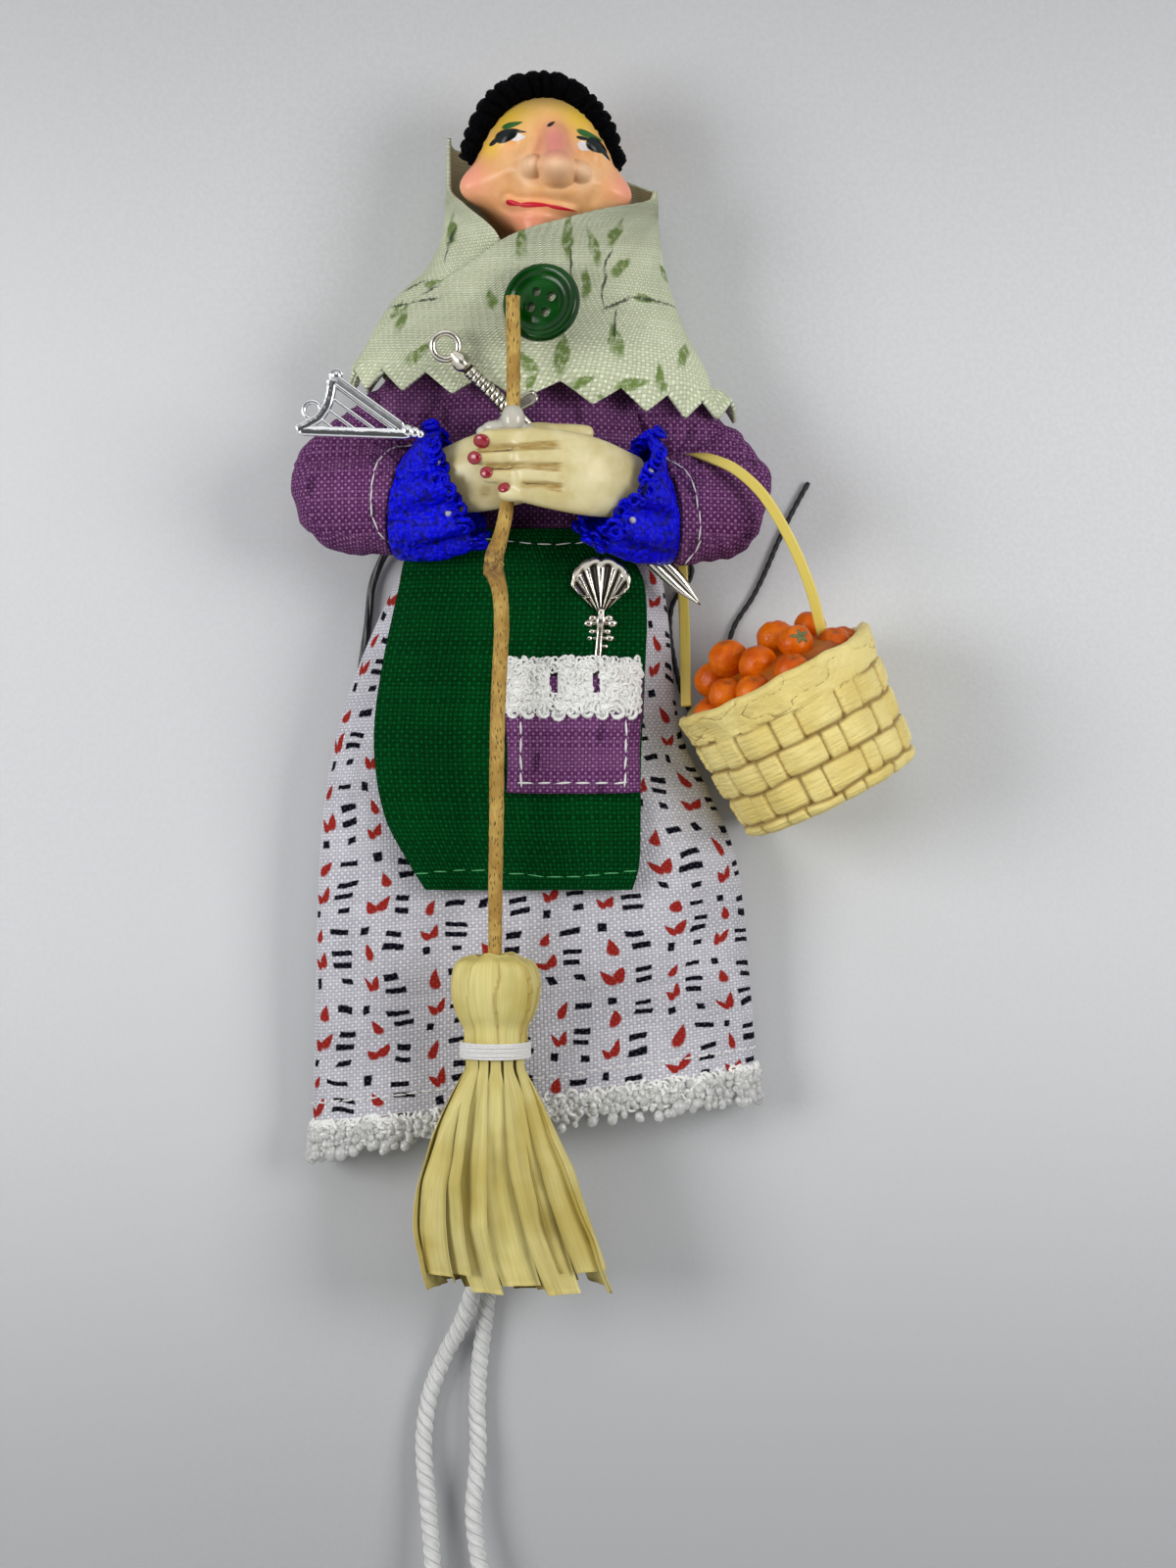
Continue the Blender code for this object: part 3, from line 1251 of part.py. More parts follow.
def make_basket():
    pivot = bpy.data.objects.new("basket_pivot", None)
    pivot.location = BASKET_PIVOT
    bpy.context.scene.collection.objects.link(pivot)
    depths = [BASKET_HEIGHT * k / 8 for k in range(9)]
    inner_depth = BASKET_HEIGHT - BASKET_FLOOR
    outer = [basket_ring(basket_radius(d), d) for d in depths]
    inner = [basket_ring(basket_radius(d) - BASKET_WALL, d) for d in (0.0, inner_depth / 2, inner_depth)]
    rings = list(reversed(inner)) + outer
    pieces = [make("basket", solid_loft(rings), CREAM, BASKET_PIVOT)]
    pieces.append(make("basket_handle", handle_mesh(), YELLOW, BASKET_PIVOT))
    combine(pieces[0], [make("handle_tool", handle_mesh(GAP), YELLOW, BASKET_PIVOT)], "DIFFERENCE")
    rings = []
    for wide, depth in BED_SHARES:
        deep = BED_DEPTH * depth
        rings.append(basket_ring((basket_radius(max(0, deep)) - BASKET_WALL - GAP) * wide, deep, 18))
    bed = make("fruit_bed", solid_loft(rings), ORANGE, BASKET_PIVOT)
    sockets = [make("handle_tool", handle_mesh(GAP), YELLOW, BASKET_PIVOT)]
    for number, place_and_size in enumerate(FRUIT_SHARES, 1):
        pieces.append(make(f"fruit_{number}", fruit_mesh(*place_and_size), ORANGE, BASKET_PIVOT))
        sockets.append(make("fruit_tool", fruit_mesh(*place_and_size, GAP), ORANGE, BASKET_PIVOT))
    pieces.append(combine(bed, sockets, "DIFFERENCE"))
    for piece in pieces:
        piece.parent = pivot
        piece.location = Vector()


# Routes of the leg cords down from the hips to the shoes, with their levels counted from the hips,
# and of the black cord from the back to its cut end
LEG_ROUTES = {
    "left": (
        (-0.0060, 0.0, 0.0080),
        (-0.0066, -0.0087, 0.0072),
        (-0.0072, -0.0197, 0.0050),
        (-0.0078, -0.0327, 0.0034),
        (-0.0082, -0.0467, 0.0036),
        (-0.0086, -0.0607, 0.0044),
        (-0.0094, -0.0727, 0.0047),
        (-0.0115, -0.0797, 0.0036),
        (-0.0142, -0.0850, 0.0020),
        (-0.0164, -0.0907, 0.0017),
        (-0.0174, -0.0969, 0.0020),
        (-0.0173, -0.1022, 0.0026),
        (-0.0167, -0.1077, 0.0034),
        (-0.0161, -0.1147, 0.0044),
        (-0.0157, -0.1217, 0.0050),
        (-0.0156, -0.1274, 0.0052),
    ),
    "right": (
        (-0.0016, 0.0, 0.0080),
        (-0.0022, -0.0087, 0.0072),
        (-0.0030, -0.0197, 0.0050),
        (-0.0036, -0.0327, 0.0034),
        (-0.0042, -0.0467, 0.0028),
        (-0.0052, -0.0607, 0.0016),
        (-0.0072, -0.0717, 0.0015),
        (-0.0080, -0.0787, 0.0016),
        (-0.0090, -0.0872, 0.0016),
        (-0.0093, -0.0937, 0.0018),
        (-0.0091, -0.0987, 0.0022),
        (-0.0094, -0.1037, 0.0028),
        (-0.0098, -0.1087, 0.0035),
        (-0.0090, -0.1157, 0.0044),
        (-0.0078, -0.1217, 0.0050),
        (-0.0072, -0.1274, 0.0052),
    ),
}
BLACK_ROUTE = (
    (0.0206, 0.0140, 0.0006),
    (0.0228, 0.0122, 0.0006),
    (0.0237, 0.0098, 0.0006),
    (0.0226, 0.0074, 0.0006),
    (0.0208, 0.0050, 0.0006),
    (0.0203, 0.0010, 0.0006),
    (0.0212, -0.0050, 0.0006),
    (0.0226, -0.0100, 0.0006),
    (0.0248, -0.0132, 0.0006),
    (0.0272, -0.0120, 0.0006),
    (0.0284, -0.0070, 0.0006),
    (0.0292, -0.0020, 0.0006),
    (0.0303, 0.0016, 0.0006),
    (0.0330, 0.0058, 0.0006),
    (0.0350, 0.0098, 0.0006),
    (0.0368, 0.0140, 0.0006),
    (0.0390, 0.0187, 0.0006),
    (0.0416, 0.0235, 0.0006),
)
STRAND_ROUTE = (
    (-0.0170, 0.0172, 0.0058),
    (-0.0186, 0.0168, 0.0050),
    (-0.0210, 0.0150, 0.0032),
    (-0.0236, 0.0122, 0.0018),
    (-0.0253, 0.0080, 0.0011),
    (-0.0260, 0.0030, 0.0010),
    (-0.0266, -0.0020, 0.0010),
    (-0.0272, -0.0060, 0.0010),
    (-0.0276, -0.0094, 0.0010),
)


def make_shoe(side, place_at, pivot):
    """A small rounded boot on its heel: the sole faces down the table and the toe points up."""
    shares = (
        (0.00, 0.42, 0.60, 0.40),
        (0.12, 0.78, 0.62, 0.44),
        (0.45, 1.00, 0.60, 0.40),
        (0.62, 0.80, 0.40, 0.58),
        (0.85, 0.86, 0.30, 0.70),
        (0.96, 0.66, 0.24, 0.76),
        (1.00, 0.30, 0.14, 0.82),
    )
    rings = []
    for k in range(9):
        wide, high, down = along(shares, k / 8)
        centre = Vector((place_at.x, place_at.y - SHOE_HEIGHT * down, SHOE_LENGTH * k / 8))
        half_width, half_height = SHOE_WIDTH / 2 * wide, SHOE_HEIGHT * high / 1.5
        rings.append(oval(centre, X_WAY, Y_WAY, half_width, half_height, 14, 2.3))
    shoe = make(side + "_shoe", solid_loft(rings), SHOE_BROWN, pivot)
    socket_top = Vector((place_at.x, place_at.y + SHOE_HEIGHT, place_at.z))
    socket_foot = Vector((place_at.x, place_at.y - LEG_DIAMETER * 0.3, place_at.z))
    half = LEG_DIAMETER / 2 + GAP
    tool = make("socket_tool", bar(socket_top, socket_foot, half * 1.05, 10), SHOE_BROWN, pivot)
    combine(shoe, [tool], "DIFFERENCE")
    return shoe


def make_legs():
    for side, levels in LEG_ROUTES.items():
        route = [(x, HIP_Y + y, z) for x, y, z in levels]
        pivot = Vector(route[0])
        empty = bpy.data.objects.new(side + "_hip", None)
        empty.location = pivot
        bpy.context.scene.collection.objects.link(empty)
        leg = cord(side + "_leg_cord", route, LEG_DIAMETER, WHITE_COTTON, 30, pivot)
        shoe = make_shoe(side, Vector(route[-1]), pivot)
        for piece in (leg, shoe):
            piece.parent = empty
            piece.location = Vector()
    cord("hanging_cord", BLACK_ROUTE, BLACK_DIAMETER, BLACK_COTTON, 32)
    cord("waist_strand", STRAND_ROUTE, STRAND_DIAMETER, BLACK_COTTON, 10)


def build():
    for old in list(bpy.data.objects):
        bpy.data.objects.remove(old)
    make_skirt()
    bodice = make_body()
    make_head()
    make_scarf()
    make_button()
    left_arm = (LEFT_SHOULDER, LEFT_UPPER, LEFT_ELBOW, LEFT_SLEEVE_END, REAR_WRIST)
    right_arm = (RIGHT_SHOULDER, RIGHT_UPPER, RIGHT_ELBOW, RIGHT_SLEEVE_END, FRONT_WRIST)
    make_sleeve("left", bodice, *left_arm)
    right = make_sleeve("right", bodice, *right_arm)
    combine(right, [make("handle_tool", handle_mesh(GAP * 1.8), YELLOW)], "DIFFERENCE")
    make_hands()
    make_cuff("left", *left_arm[2:], [])
    make_cuff("right", *right_arm[2:], [sword_parts(GAP * 2)[-1]])
    make_broom()
    make_charms()
    make_apron()
    make_basket()
    make_legs()


build()
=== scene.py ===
import math

import bmesh
import bpy
import numpy as np
from mathutils import Matrix, Vector
from mathutils.bvhtree import BVHTree


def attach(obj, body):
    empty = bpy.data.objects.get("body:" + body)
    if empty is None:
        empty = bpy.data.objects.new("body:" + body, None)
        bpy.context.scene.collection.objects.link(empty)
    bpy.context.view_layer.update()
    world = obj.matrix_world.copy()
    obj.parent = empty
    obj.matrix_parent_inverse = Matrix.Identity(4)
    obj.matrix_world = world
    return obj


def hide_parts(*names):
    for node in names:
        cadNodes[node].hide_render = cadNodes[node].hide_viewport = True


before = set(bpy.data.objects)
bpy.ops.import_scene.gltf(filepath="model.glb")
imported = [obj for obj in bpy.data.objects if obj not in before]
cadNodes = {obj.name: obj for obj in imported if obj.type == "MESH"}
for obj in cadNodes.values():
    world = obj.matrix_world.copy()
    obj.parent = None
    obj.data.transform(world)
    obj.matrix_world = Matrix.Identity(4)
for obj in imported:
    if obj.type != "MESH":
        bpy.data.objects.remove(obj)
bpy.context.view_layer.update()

mm = 0.001
stitchLift = 0.00008
xWay, yWay, zWay = np.array((1.0, 0, 0)), np.array((0, 1.0, 0)), np.array((0, 0, 1.0))


# small tools
def along(table, t):
    # the other columns of a table at share t, on a smooth curve through its rows
    table = np.asarray(table, float)
    t = np.asarray(t, float)
    ts = table[:, 0]
    i = np.searchsorted(ts[1:-1], t, side="left")
    a, b = table[i], table[i + 1]
    before = np.where((i > 0)[..., None], table[np.maximum(i - 1, 0)], a)
    after = np.where((i + 2 < len(ts))[..., None], table[np.minimum(i + 2, len(ts) - 1)], b)
    step = (b[..., :1] - a[..., :1])
    s = np.clip((t[..., None] - a[..., :1]) / step, 0, 1)
    slopeA = (b - before) / np.maximum(b[..., :1] - before[..., :1], 1e-12) * step
    slopeB = (after - a) / np.maximum(after[..., :1] - a[..., :1], 1e-12) * step
    h = s * s * (3 - 2 * s)
    return (a + (b - a) * h + slopeA * s * (1 - s) ** 2 - slopeB * s * s * (1 - s))[..., 1:]


def routePoints(route, count):
    # evenly spaced points on one smooth curve through a route
    route = np.asarray(route, float)
    spans = np.concatenate([[0], np.cumsum(np.linalg.norm(np.diff(route, axis=0), axis=1))])
    return along(np.column_stack([spans / spans[-1], route]), np.linspace(0, 1, count))


def evenly(path, spacing):
    # the same path with its points at one spacing, and the distance along it
    steps = np.concatenate([[0], np.cumsum(np.linalg.norm(np.diff(path, axis=0), axis=1))])
    count = max(3, int(round(steps[-1] / spacing)) + 1)
    at = np.linspace(0, steps[-1], count)
    return np.column_stack([np.interp(at, steps, path[:, k]) for k in range(3)]), at


def roundTurn(count):
    return np.linspace(0, math.tau, count, endpoint=False)


def unit(v):
    return v / np.maximum(np.linalg.norm(v, axis=-1, keepdims=True), 1e-12)


def ripple(u, v, seed, octaves=2):
    # smooth noise from -1 to 1 over two coordinates, one lump to a unit
    u, v = np.broadcast_arrays(np.asarray(u, float), np.asarray(v, float))
    total, size = np.zeros(u.shape), 1.0
    for octave in range(octaves):
        lattice = np.random.default_rng(seed + octave).uniform(-1, 1, (64, 64))
        iu, iv = np.floor(u).astype(int), np.floor(v).astype(int)
        fu, fv = u - iu, v - iv
        fu, fv = fu * fu * (3 - 2 * fu), fv * fv * (3 - 2 * fv)
        a, b = lattice[iu % 64, iv % 64], lattice[(iu + 1) % 64, iv % 64]
        c, d = lattice[iu % 64, (iv + 1) % 64], lattice[(iu + 1) % 64, (iv + 1) % 64]
        total += size * ((a * (1 - fu) + b * fu) * (1 - fv) + (c * (1 - fu) + d * fu) * fv)
        u, v, size = u * 2.1 + 5.3, v * 2.1 + 9.7, size * 0.5
    return total


def bell(x):
    return np.exp(-x * x)


def surfaceNormals(grid, wrap):
    if wrap:
        across = np.roll(grid, -1, 1) - np.roll(grid, 1, 1)
    else:
        across = np.gradient(grid, axis=1)
    return unit(np.cross(across, np.gradient(grid, axis=0)))


def gridFaces(rows, columns, wrap, offset=0, flip=False):
    # quads of a grid, and the row and column of each corner
    i, j = np.mgrid[0:rows - 1, 0:columns if wrap else columns - 1]
    i, j = i.ravel(), j.ravel()
    corners = [(i, j), (i, j + 1), (i + 1, j + 1), (i + 1, j)]
    if flip:
        corners.reverse()
    faces = np.stack([offset + a * columns + b % columns for a, b in corners], -1)
    return faces, np.stack([np.stack(c, -1) for c in corners], 1)


def newPiece(name, points, faces, material, uvs=None, recalc=True):
    mesh = bpy.data.meshes.new(name)
    mesh.from_pydata(np.asarray(points).tolist(), [], [list(map(int, f)) for f in faces])
    if uvs is not None:
        layer = mesh.uv_layers.new(name="UVMap")
        layer.data.foreach_set("uv", np.ravel(uvs).astype(np.float32))
    return addPiece(name, mesh, material, recalc)


def addPiece(name, mesh, material, recalc=False):
    if recalc:
        solid = bmesh.new()
        solid.from_mesh(mesh)
        bmesh.ops.recalc_face_normals(solid, faces=solid.faces)
        solid.to_mesh(mesh)
        solid.free()
    mesh.materials.clear()
    mesh.materials.append(material)
    mesh.shade_smooth()
    piece = bpy.data.objects.new(name, mesh)
    bpy.context.scene.collection.objects.link(piece)
    return piece


def clothPiece(name, grid, thick, material, wrap=False, outward=1, drift=None):
    # a closed sheet: the grid is its outer face, and its thickness goes inwards
    grid = np.asarray(grid, float)
    rows, columns = grid.shape[:2]
    inner = grid - surfaceNormals(grid, wrap) * thick * outward
    size = rows * columns
    top, topAt = gridFaces(rows, columns, wrap)
    under, underAt = gridFaces(rows, columns, wrap, size, True)
    full = np.concatenate([grid, grid[:, :1]], 1) if wrap else grid
    across = np.linalg.norm(np.diff(full, axis=1), axis=2).mean(0)
    down = np.linalg.norm(np.diff(grid, axis=0), axis=2).mean(1)
    u = np.concatenate([[0], np.cumsum(across)])
    v = -np.concatenate([[0], np.cumsum(down)])
    faces, at = [top, under], [topAt, underAt]
    for i in (0, rows - 1):
        j = np.arange(columns if wrap else columns - 1)
        k = (j + 1) % columns
        faces.append(np.stack([i * columns + j, i * columns + k, size + i * columns + k,
                               size + i * columns + j], -1))
        here = np.full_like(j, i)
        at.append(np.stack([np.stack(c, -1) for c in ((here, j), (here, j + 1), (here, j + 1), (here, j))],
                           1))
    if not wrap:
        for j in (0, columns - 1):
            i = np.arange(rows - 1)
            a, b = i * columns + j, (i + 1) * columns + j
            faces.append(np.stack([a, b, size + b, size + a], -1))
            there = np.full_like(i, j)
            at.append(np.stack([np.stack(c, -1) for c in ((i, there), (i + 1, there), (i + 1, there),
                                                          (i, there))], 1))
    faces, at = np.concatenate(faces), np.concatenate(at)
    uvs = np.stack([u[at[..., 1]], v[at[..., 0]]], -1)
    if drift is not None:
        uvs[..., 1] += drift[at[..., 0], at[..., 1] % columns]
    return newPiece(name, np.concatenate([grid.reshape(-1, 3), inner.reshape(-1, 3)]), faces, material, uvs)


def loftMesh(rings):
    # a solid over rings with a fan at each end, with its UV in metres
    rings = np.asarray(rings, float)
    rows, columns = rings.shape[:2]
    side, at = gridFaces(rows, columns, True)
    full = np.concatenate([rings, rings[:, :1]], 1)
    u = np.concatenate([[0], np.cumsum(np.linalg.norm(np.diff(full, axis=1), axis=2).mean(0))])
    v = np.concatenate([[0], np.cumsum(np.linalg.norm(np.diff(rings, axis=0), axis=2).mean(1))])
    faces = [list(f) for f in side]
    uvs = list(np.stack([u[at[..., 1]], v[at[..., 0]]], -1).reshape(-1, 2))
    points = np.concatenate([rings.reshape(-1, 3), [rings[0].mean(0), rings[-1].mean(0)]])
    for end, first in ((0, 0), (1, (rows - 1) * columns)):
        for k in range(columns):
            faces.append([rows * columns + end, first + k, first + (k + 1) % columns])
            uvs += [(u[k], v[-end]), (u[k], v[-end]), (u[k + 1], v[-end])]
    return points, faces, np.array(uvs)


def loftPiece(name, rings, material):
    points, faces, uvs = loftMesh(rings)
    return newPiece(name, points, faces, material, uvs)


def closedMesh(rings):
    # a tube whose last ring meets its first
    rows, columns = rings.shape[:2]
    faces = gridFaces(rows + 1, columns, True)[0]
    return rings.reshape(-1, 3), (faces % (rows * columns)).tolist(), np.zeros((len(faces) * 4, 2))


def ballMesh(centre, wide, long, deep, sides, rows, end=0.15):
    # an egg with its poles along y
    return loftMesh([oval(centre + yWay * long * math.cos(q), xWay, zWay, wide * math.sin(q),
                          deep * math.sin(q), sides)
                     for q in np.linspace(end, math.pi - end, rows)])


def joinMeshes(parts):
    # several (points, faces, uvs) as one
    points, faces, uvs, offset = [], [], [], 0
    for p, f, uv in parts:
        points.append(np.asarray(p))
        faces += [[offset + int(k) for k in face] for face in f]
        uvs.append(np.asarray(uv).reshape(-1, 2))
        offset += len(p)
    return np.concatenate(points), faces, np.concatenate(uvs)


def oval(centre, side, up, halfSide, halfUp, count, power=2.0):
    angle = roundTurn(count)
    c, s = np.cos(angle), np.sin(angle)
    a = np.sign(c) * np.abs(c) ** (2 / power)
    b = np.sign(s) * np.abs(s) ** (2 / power)
    return np.asarray(centre) + np.outer(a * halfSide, side) + np.outer(b * halfUp, up)


def sweep(path, halves, count, lean=zWay, power=2.0, closed=False):
    # rings across a path: halves gives the half width and half height at each point
    path = np.asarray(path, float)
    halves = np.broadcast_to(np.asarray(halves, float), (len(path), 2))
    if closed:
        ahead = np.roll(path, -1, 0) - np.roll(path, 1, 0)
    else:
        ahead = np.gradient(path, axis=0)
    side = unit(np.cross(ahead, lean))
    up = unit(np.cross(side, ahead))
    return np.stack([oval(p, s, u, h[0], h[1], count, power) for p, s, u, h in zip(path, side, up, halves)])


def plainMesh(thing):
    # what an object's modifiers make of its mesh
    return bpy.data.meshes.new_from_object(thing.evaluated_get(bpy.context.evaluated_depsgraph_get()))


def softSkin(name, parts, voxel, smooth):
    # remeshes closed shapes that overlap into one soft skin
    points, faces = joinMeshes(parts)[:2]
    rough = bpy.data.meshes.new(name + "Rough")
    rough.from_pydata(points.tolist(), [], faces)
    thing = bpy.data.objects.new(name + "Rough", rough)
    bpy.context.scene.collection.objects.link(thing)
    remesh = thing.modifiers.new("skin", "REMESH")
    remesh.mode = "VOXEL"
    remesh.voxel_size = voxel
    soften = thing.modifiers.new("soften", "SMOOTH")
    soften.factor = 0.5
    soften.iterations = smooth
    result = plainMesh(thing)
    bpy.data.objects.remove(thing)
    return result


def meshPoints(mesh, kind="co"):
    flat = np.zeros(len(mesh.vertices) * 3)
    mesh.vertices.foreach_get(kind, flat)
    return flat.reshape(-1, 3)


def setPoints(mesh, points):
    mesh.vertices.foreach_set("co", np.ravel(points))
    mesh.update()


def boxUv(mesh):
    # UV in metres, taken flat from the side that each face looks to
    layer = mesh.uv_layers.new(name="UVMap")
    points, uvs = meshPoints(mesh), []
    for face in mesh.polygons:
        n = [abs(x) for x in face.normal]
        u, v = ((1, 2), (0, 2), (0, 1))[n.index(max(n))]
        uvs += [(points[k][u], points[k][v]) for k in face.vertices]
    layer.data.foreach_set("uv", np.ravel(uvs).astype(np.float32))


def paint(mesh, name, values):
    # a number at every point for the material to read
    attribute = mesh.attributes.new(name, "FLOAT", "POINT")
    attribute.data.foreach_set("value", np.asarray(values, np.float32))


def finishPiece(piece, body, replaced=()):
    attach(piece, body)
    if replaced:
        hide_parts(*replaced)
    return piece


def surfaceTree(piece):
    mesh = piece.data
    return BVHTree.FromPolygons([v.co.copy() for v in mesh.vertices],
                                [tuple(f.vertices) for f in mesh.polygons])


def laidOn(tree, flat, lift, high=0.06):
    # drops flat points straight down onto a surface, or onto its nearest spot beside it
    laid = []
    for point in flat:
        start = Vector((point[0], point[1], high))
        hit, normal = tree.ray_cast(start, Vector((0, 0, -1)))[:2]
        if hit is None:
            hit, normal = tree.find_nearest(Vector((point[0], point[1], 0.014)))[:2]
        laid.append(np.array(hit) + np.array(normal) * lift)
    return np.array(laid)


def declareSheet(piece, grid, wrap=False, slack=1.0):
    # the cut's size is worked out from the sheet's own rows and columns
    full = np.concatenate([grid, grid[:, :1]], 1) if wrap else grid
    width = np.linalg.norm(np.diff(full, axis=1), axis=2).sum(1).max() * slack
    length = np.linalg.norm(np.diff(full, axis=0), axis=2).sum(0).max()
    du, dv = full[:-1, 1:] - full[:-1, :-1], full[1:, :-1] - full[:-1, :-1]
    area = np.linalg.norm(np.cross(du, dv), axis=2).sum() * slack
    area = min(max(area, 0.31 * width * length), width * length)
    print(f"  {piece.name}: flat {width / mm:.0f} x {length / mm:.0f} mm, {area / mm / mm:.0f} mm2")


# node tools
def feed(tree, socket, value):
    if isinstance(value, bpy.types.NodeSocket):
        tree.links.new(value, socket)
    elif value is not None:
        socket.default_value = value


def calc(tree, operation, a, b=None, c=None, clamp=False):
    node = tree.nodes.new("ShaderNodeMath")
    node.operation = operation
    node.use_clamp = clamp
    for socket, value in zip(node.inputs, (a, b, c)):
        feed(tree, socket, value)
    return node.outputs[0]


def times(tree, a, b):
    return calc(tree, "MULTIPLY", a, b)


def plus(tree, a, b):
    return calc(tree, "ADD", a, b)


def minus(tree, a, b):
    return calc(tree, "SUBTRACT", a, b)


def over(tree, a, b):
    return calc(tree, "DIVIDE", a, b)


def vectorCalc(tree, operation, a, b=None, scale=None):
    node = tree.nodes.new("ShaderNodeVectorMath")
    node.operation = operation
    feed(tree, node.inputs[0], a)
    feed(tree, node.inputs[1], b)
    if scale is not None:
        feed(tree, node.inputs["Scale"], scale)
    return node.outputs["Value" if operation in ("LENGTH", "DOT_PRODUCT", "DISTANCE") else "Vector"]


def ramp(tree, value, low, high, toLow=0.0, toHigh=1.0):
    node = tree.nodes.new("ShaderNodeMapRange")
    node.interpolation_type = "SMOOTHSTEP"
    for socket, item in zip(node.inputs, (value, low, high, toLow, toHigh)):
        feed(tree, socket, item)
    return node.outputs[0]


def mix(tree, factor, a, b, mode="MIX"):
    node = tree.nodes.new("ShaderNodeMix")
    node.data_type = "RGBA"
    node.blend_type = mode
    feed(tree, node.inputs["Factor"], factor)
    for socket, value in ((node.inputs[6], a), (node.inputs[7], b)):
        feed(tree, socket, (*value, 1) if isinstance(value, tuple) else value)
    return node.outputs[2]


def shaded(tree, tone, shade):
    return mix(tree, 1.0, tone, pack(tree, shade, shade, shade), "MULTIPLY")


def cloud(tree, place, scale, detail=3.0, rough=0.55, distortion=0.0):
    node = tree.nodes.new("ShaderNodeTexNoise")
    for key, value in (("Vector", place), ("Scale", scale), ("Detail", detail), ("Roughness", rough)):
        feed(tree, node.inputs[key], value)
    node.inputs["Distortion"].default_value = distortion
    return node.outputs[0]


def cells(tree, place, scale):
    # the distance to the nearest of many scattered points
    node = tree.nodes.new("ShaderNodeTexVoronoi")
    feed(tree, node.inputs["Vector"], place)
    feed(tree, node.inputs["Scale"], scale)
    return node.outputs["Distance"]


def split(tree, vector):
    node = tree.nodes.new("ShaderNodeSeparateXYZ")
    feed(tree, node.inputs[0], vector)
    return node.outputs


def pack(tree, x, y, z=0.0):
    node = tree.nodes.new("ShaderNodeCombineXYZ")
    for socket, value in zip(node.inputs, (x, y, z)):
        feed(tree, socket, value)
    return node.outputs[0]


def shaken(tree, place, scale, amount):
    # the place moved about by a cloud, by up to half the amount each way
    node = tree.nodes.new("ShaderNodeTexNoise")
    tree.links.new(place, node.inputs["Vector"])
    node.inputs["Scale"].default_value = scale
    shift = vectorCalc(tree, "SUBTRACT", node.outputs["Color"], (0.5, 0.5, 0.5))
    return vectorCalc(tree, "ADD", place, vectorCalc(tree, "SCALE", shift, scale=amount))


def stretched(tree, place, *scales):
    # each coordinate of a place times its own scale
    return pack(tree, *(times(tree, part, scale) for part, scale in zip(split(tree, place), scales)))


def startGroup(name, inputs, outputs, kind="ShaderNodeTree"):
    # a group with named sockets, built once
    tree = bpy.data.node_groups.new(name, kind)
    for label, socketKind, value in inputs:
        socket = tree.interface.new_socket(label, in_out="INPUT", socket_type="NodeSocket" + socketKind)
        if value is not None:
            socket.default_value = value
    for label, socketKind in outputs:
        tree.interface.new_socket(label, in_out="OUTPUT", socket_type="NodeSocket" + socketKind)
    return tree, tree.nodes.new("NodeGroupInput").outputs, tree.nodes.new("NodeGroupOutput").inputs


def useGroup(tree, group, **values):
    node = tree.nodes.new("ShaderNodeGroup")
    node.node_tree = group
    for key, value in values.items():
        feed(tree, node.inputs[key], value)
    return node.outputs


def startMaterial(name, roughness=0.5, **constants):
    # constants go straight on the shader's own sockets
    material = bpy.data.materials.new(name)
    material.use_nodes = True
    shader = material.node_tree.nodes["Principled BSDF"]
    shader.inputs["Roughness"].default_value = roughness
    for key, value in constants.items():
        shader.inputs[key.replace("_", " ")].default_value = value
    return material, material.node_tree


def coordinates(tree, kind="UV"):
    return tree.nodes.new("ShaderNodeTexCoord").outputs[kind]


def attributeOf(tree, name):
    node = tree.nodes.new("ShaderNodeAttribute")
    node.attribute_name = name
    return node.outputs["Fac"]


def endMaterial(material, tone, height=None, depth=0.0, strength=1.0):
    # the colour, and bump from a height between 0 and 1 with its depth in metres
    tree = material.node_tree
    shader = tree.nodes["Principled BSDF"]
    feed(tree, shader.inputs["Base Color"], tone)
    if height is not None:
        node = tree.nodes.new("ShaderNodeBump")
        node.inputs["Strength"].default_value = strength
        node.inputs["Distance"].default_value = depth
        feed(tree, node.inputs["Height"], height)
        feed(tree, shader.inputs["Normal"], node.outputs[0])
    return material


def mottled(name, roughness, scale, detail, low, high, depth, spread=None, **constants):
    # two colours in one fine cloud, which also gives the bump
    material, tree = startMaterial(name, roughness, **constants)
    fine = cloud(tree, coordinates(tree, "Object"), scale, detail)
    share = fine if spread is None else ramp(tree, fine, *spread)
    return endMaterial(material, mix(tree, share, low, high), fine, depth)


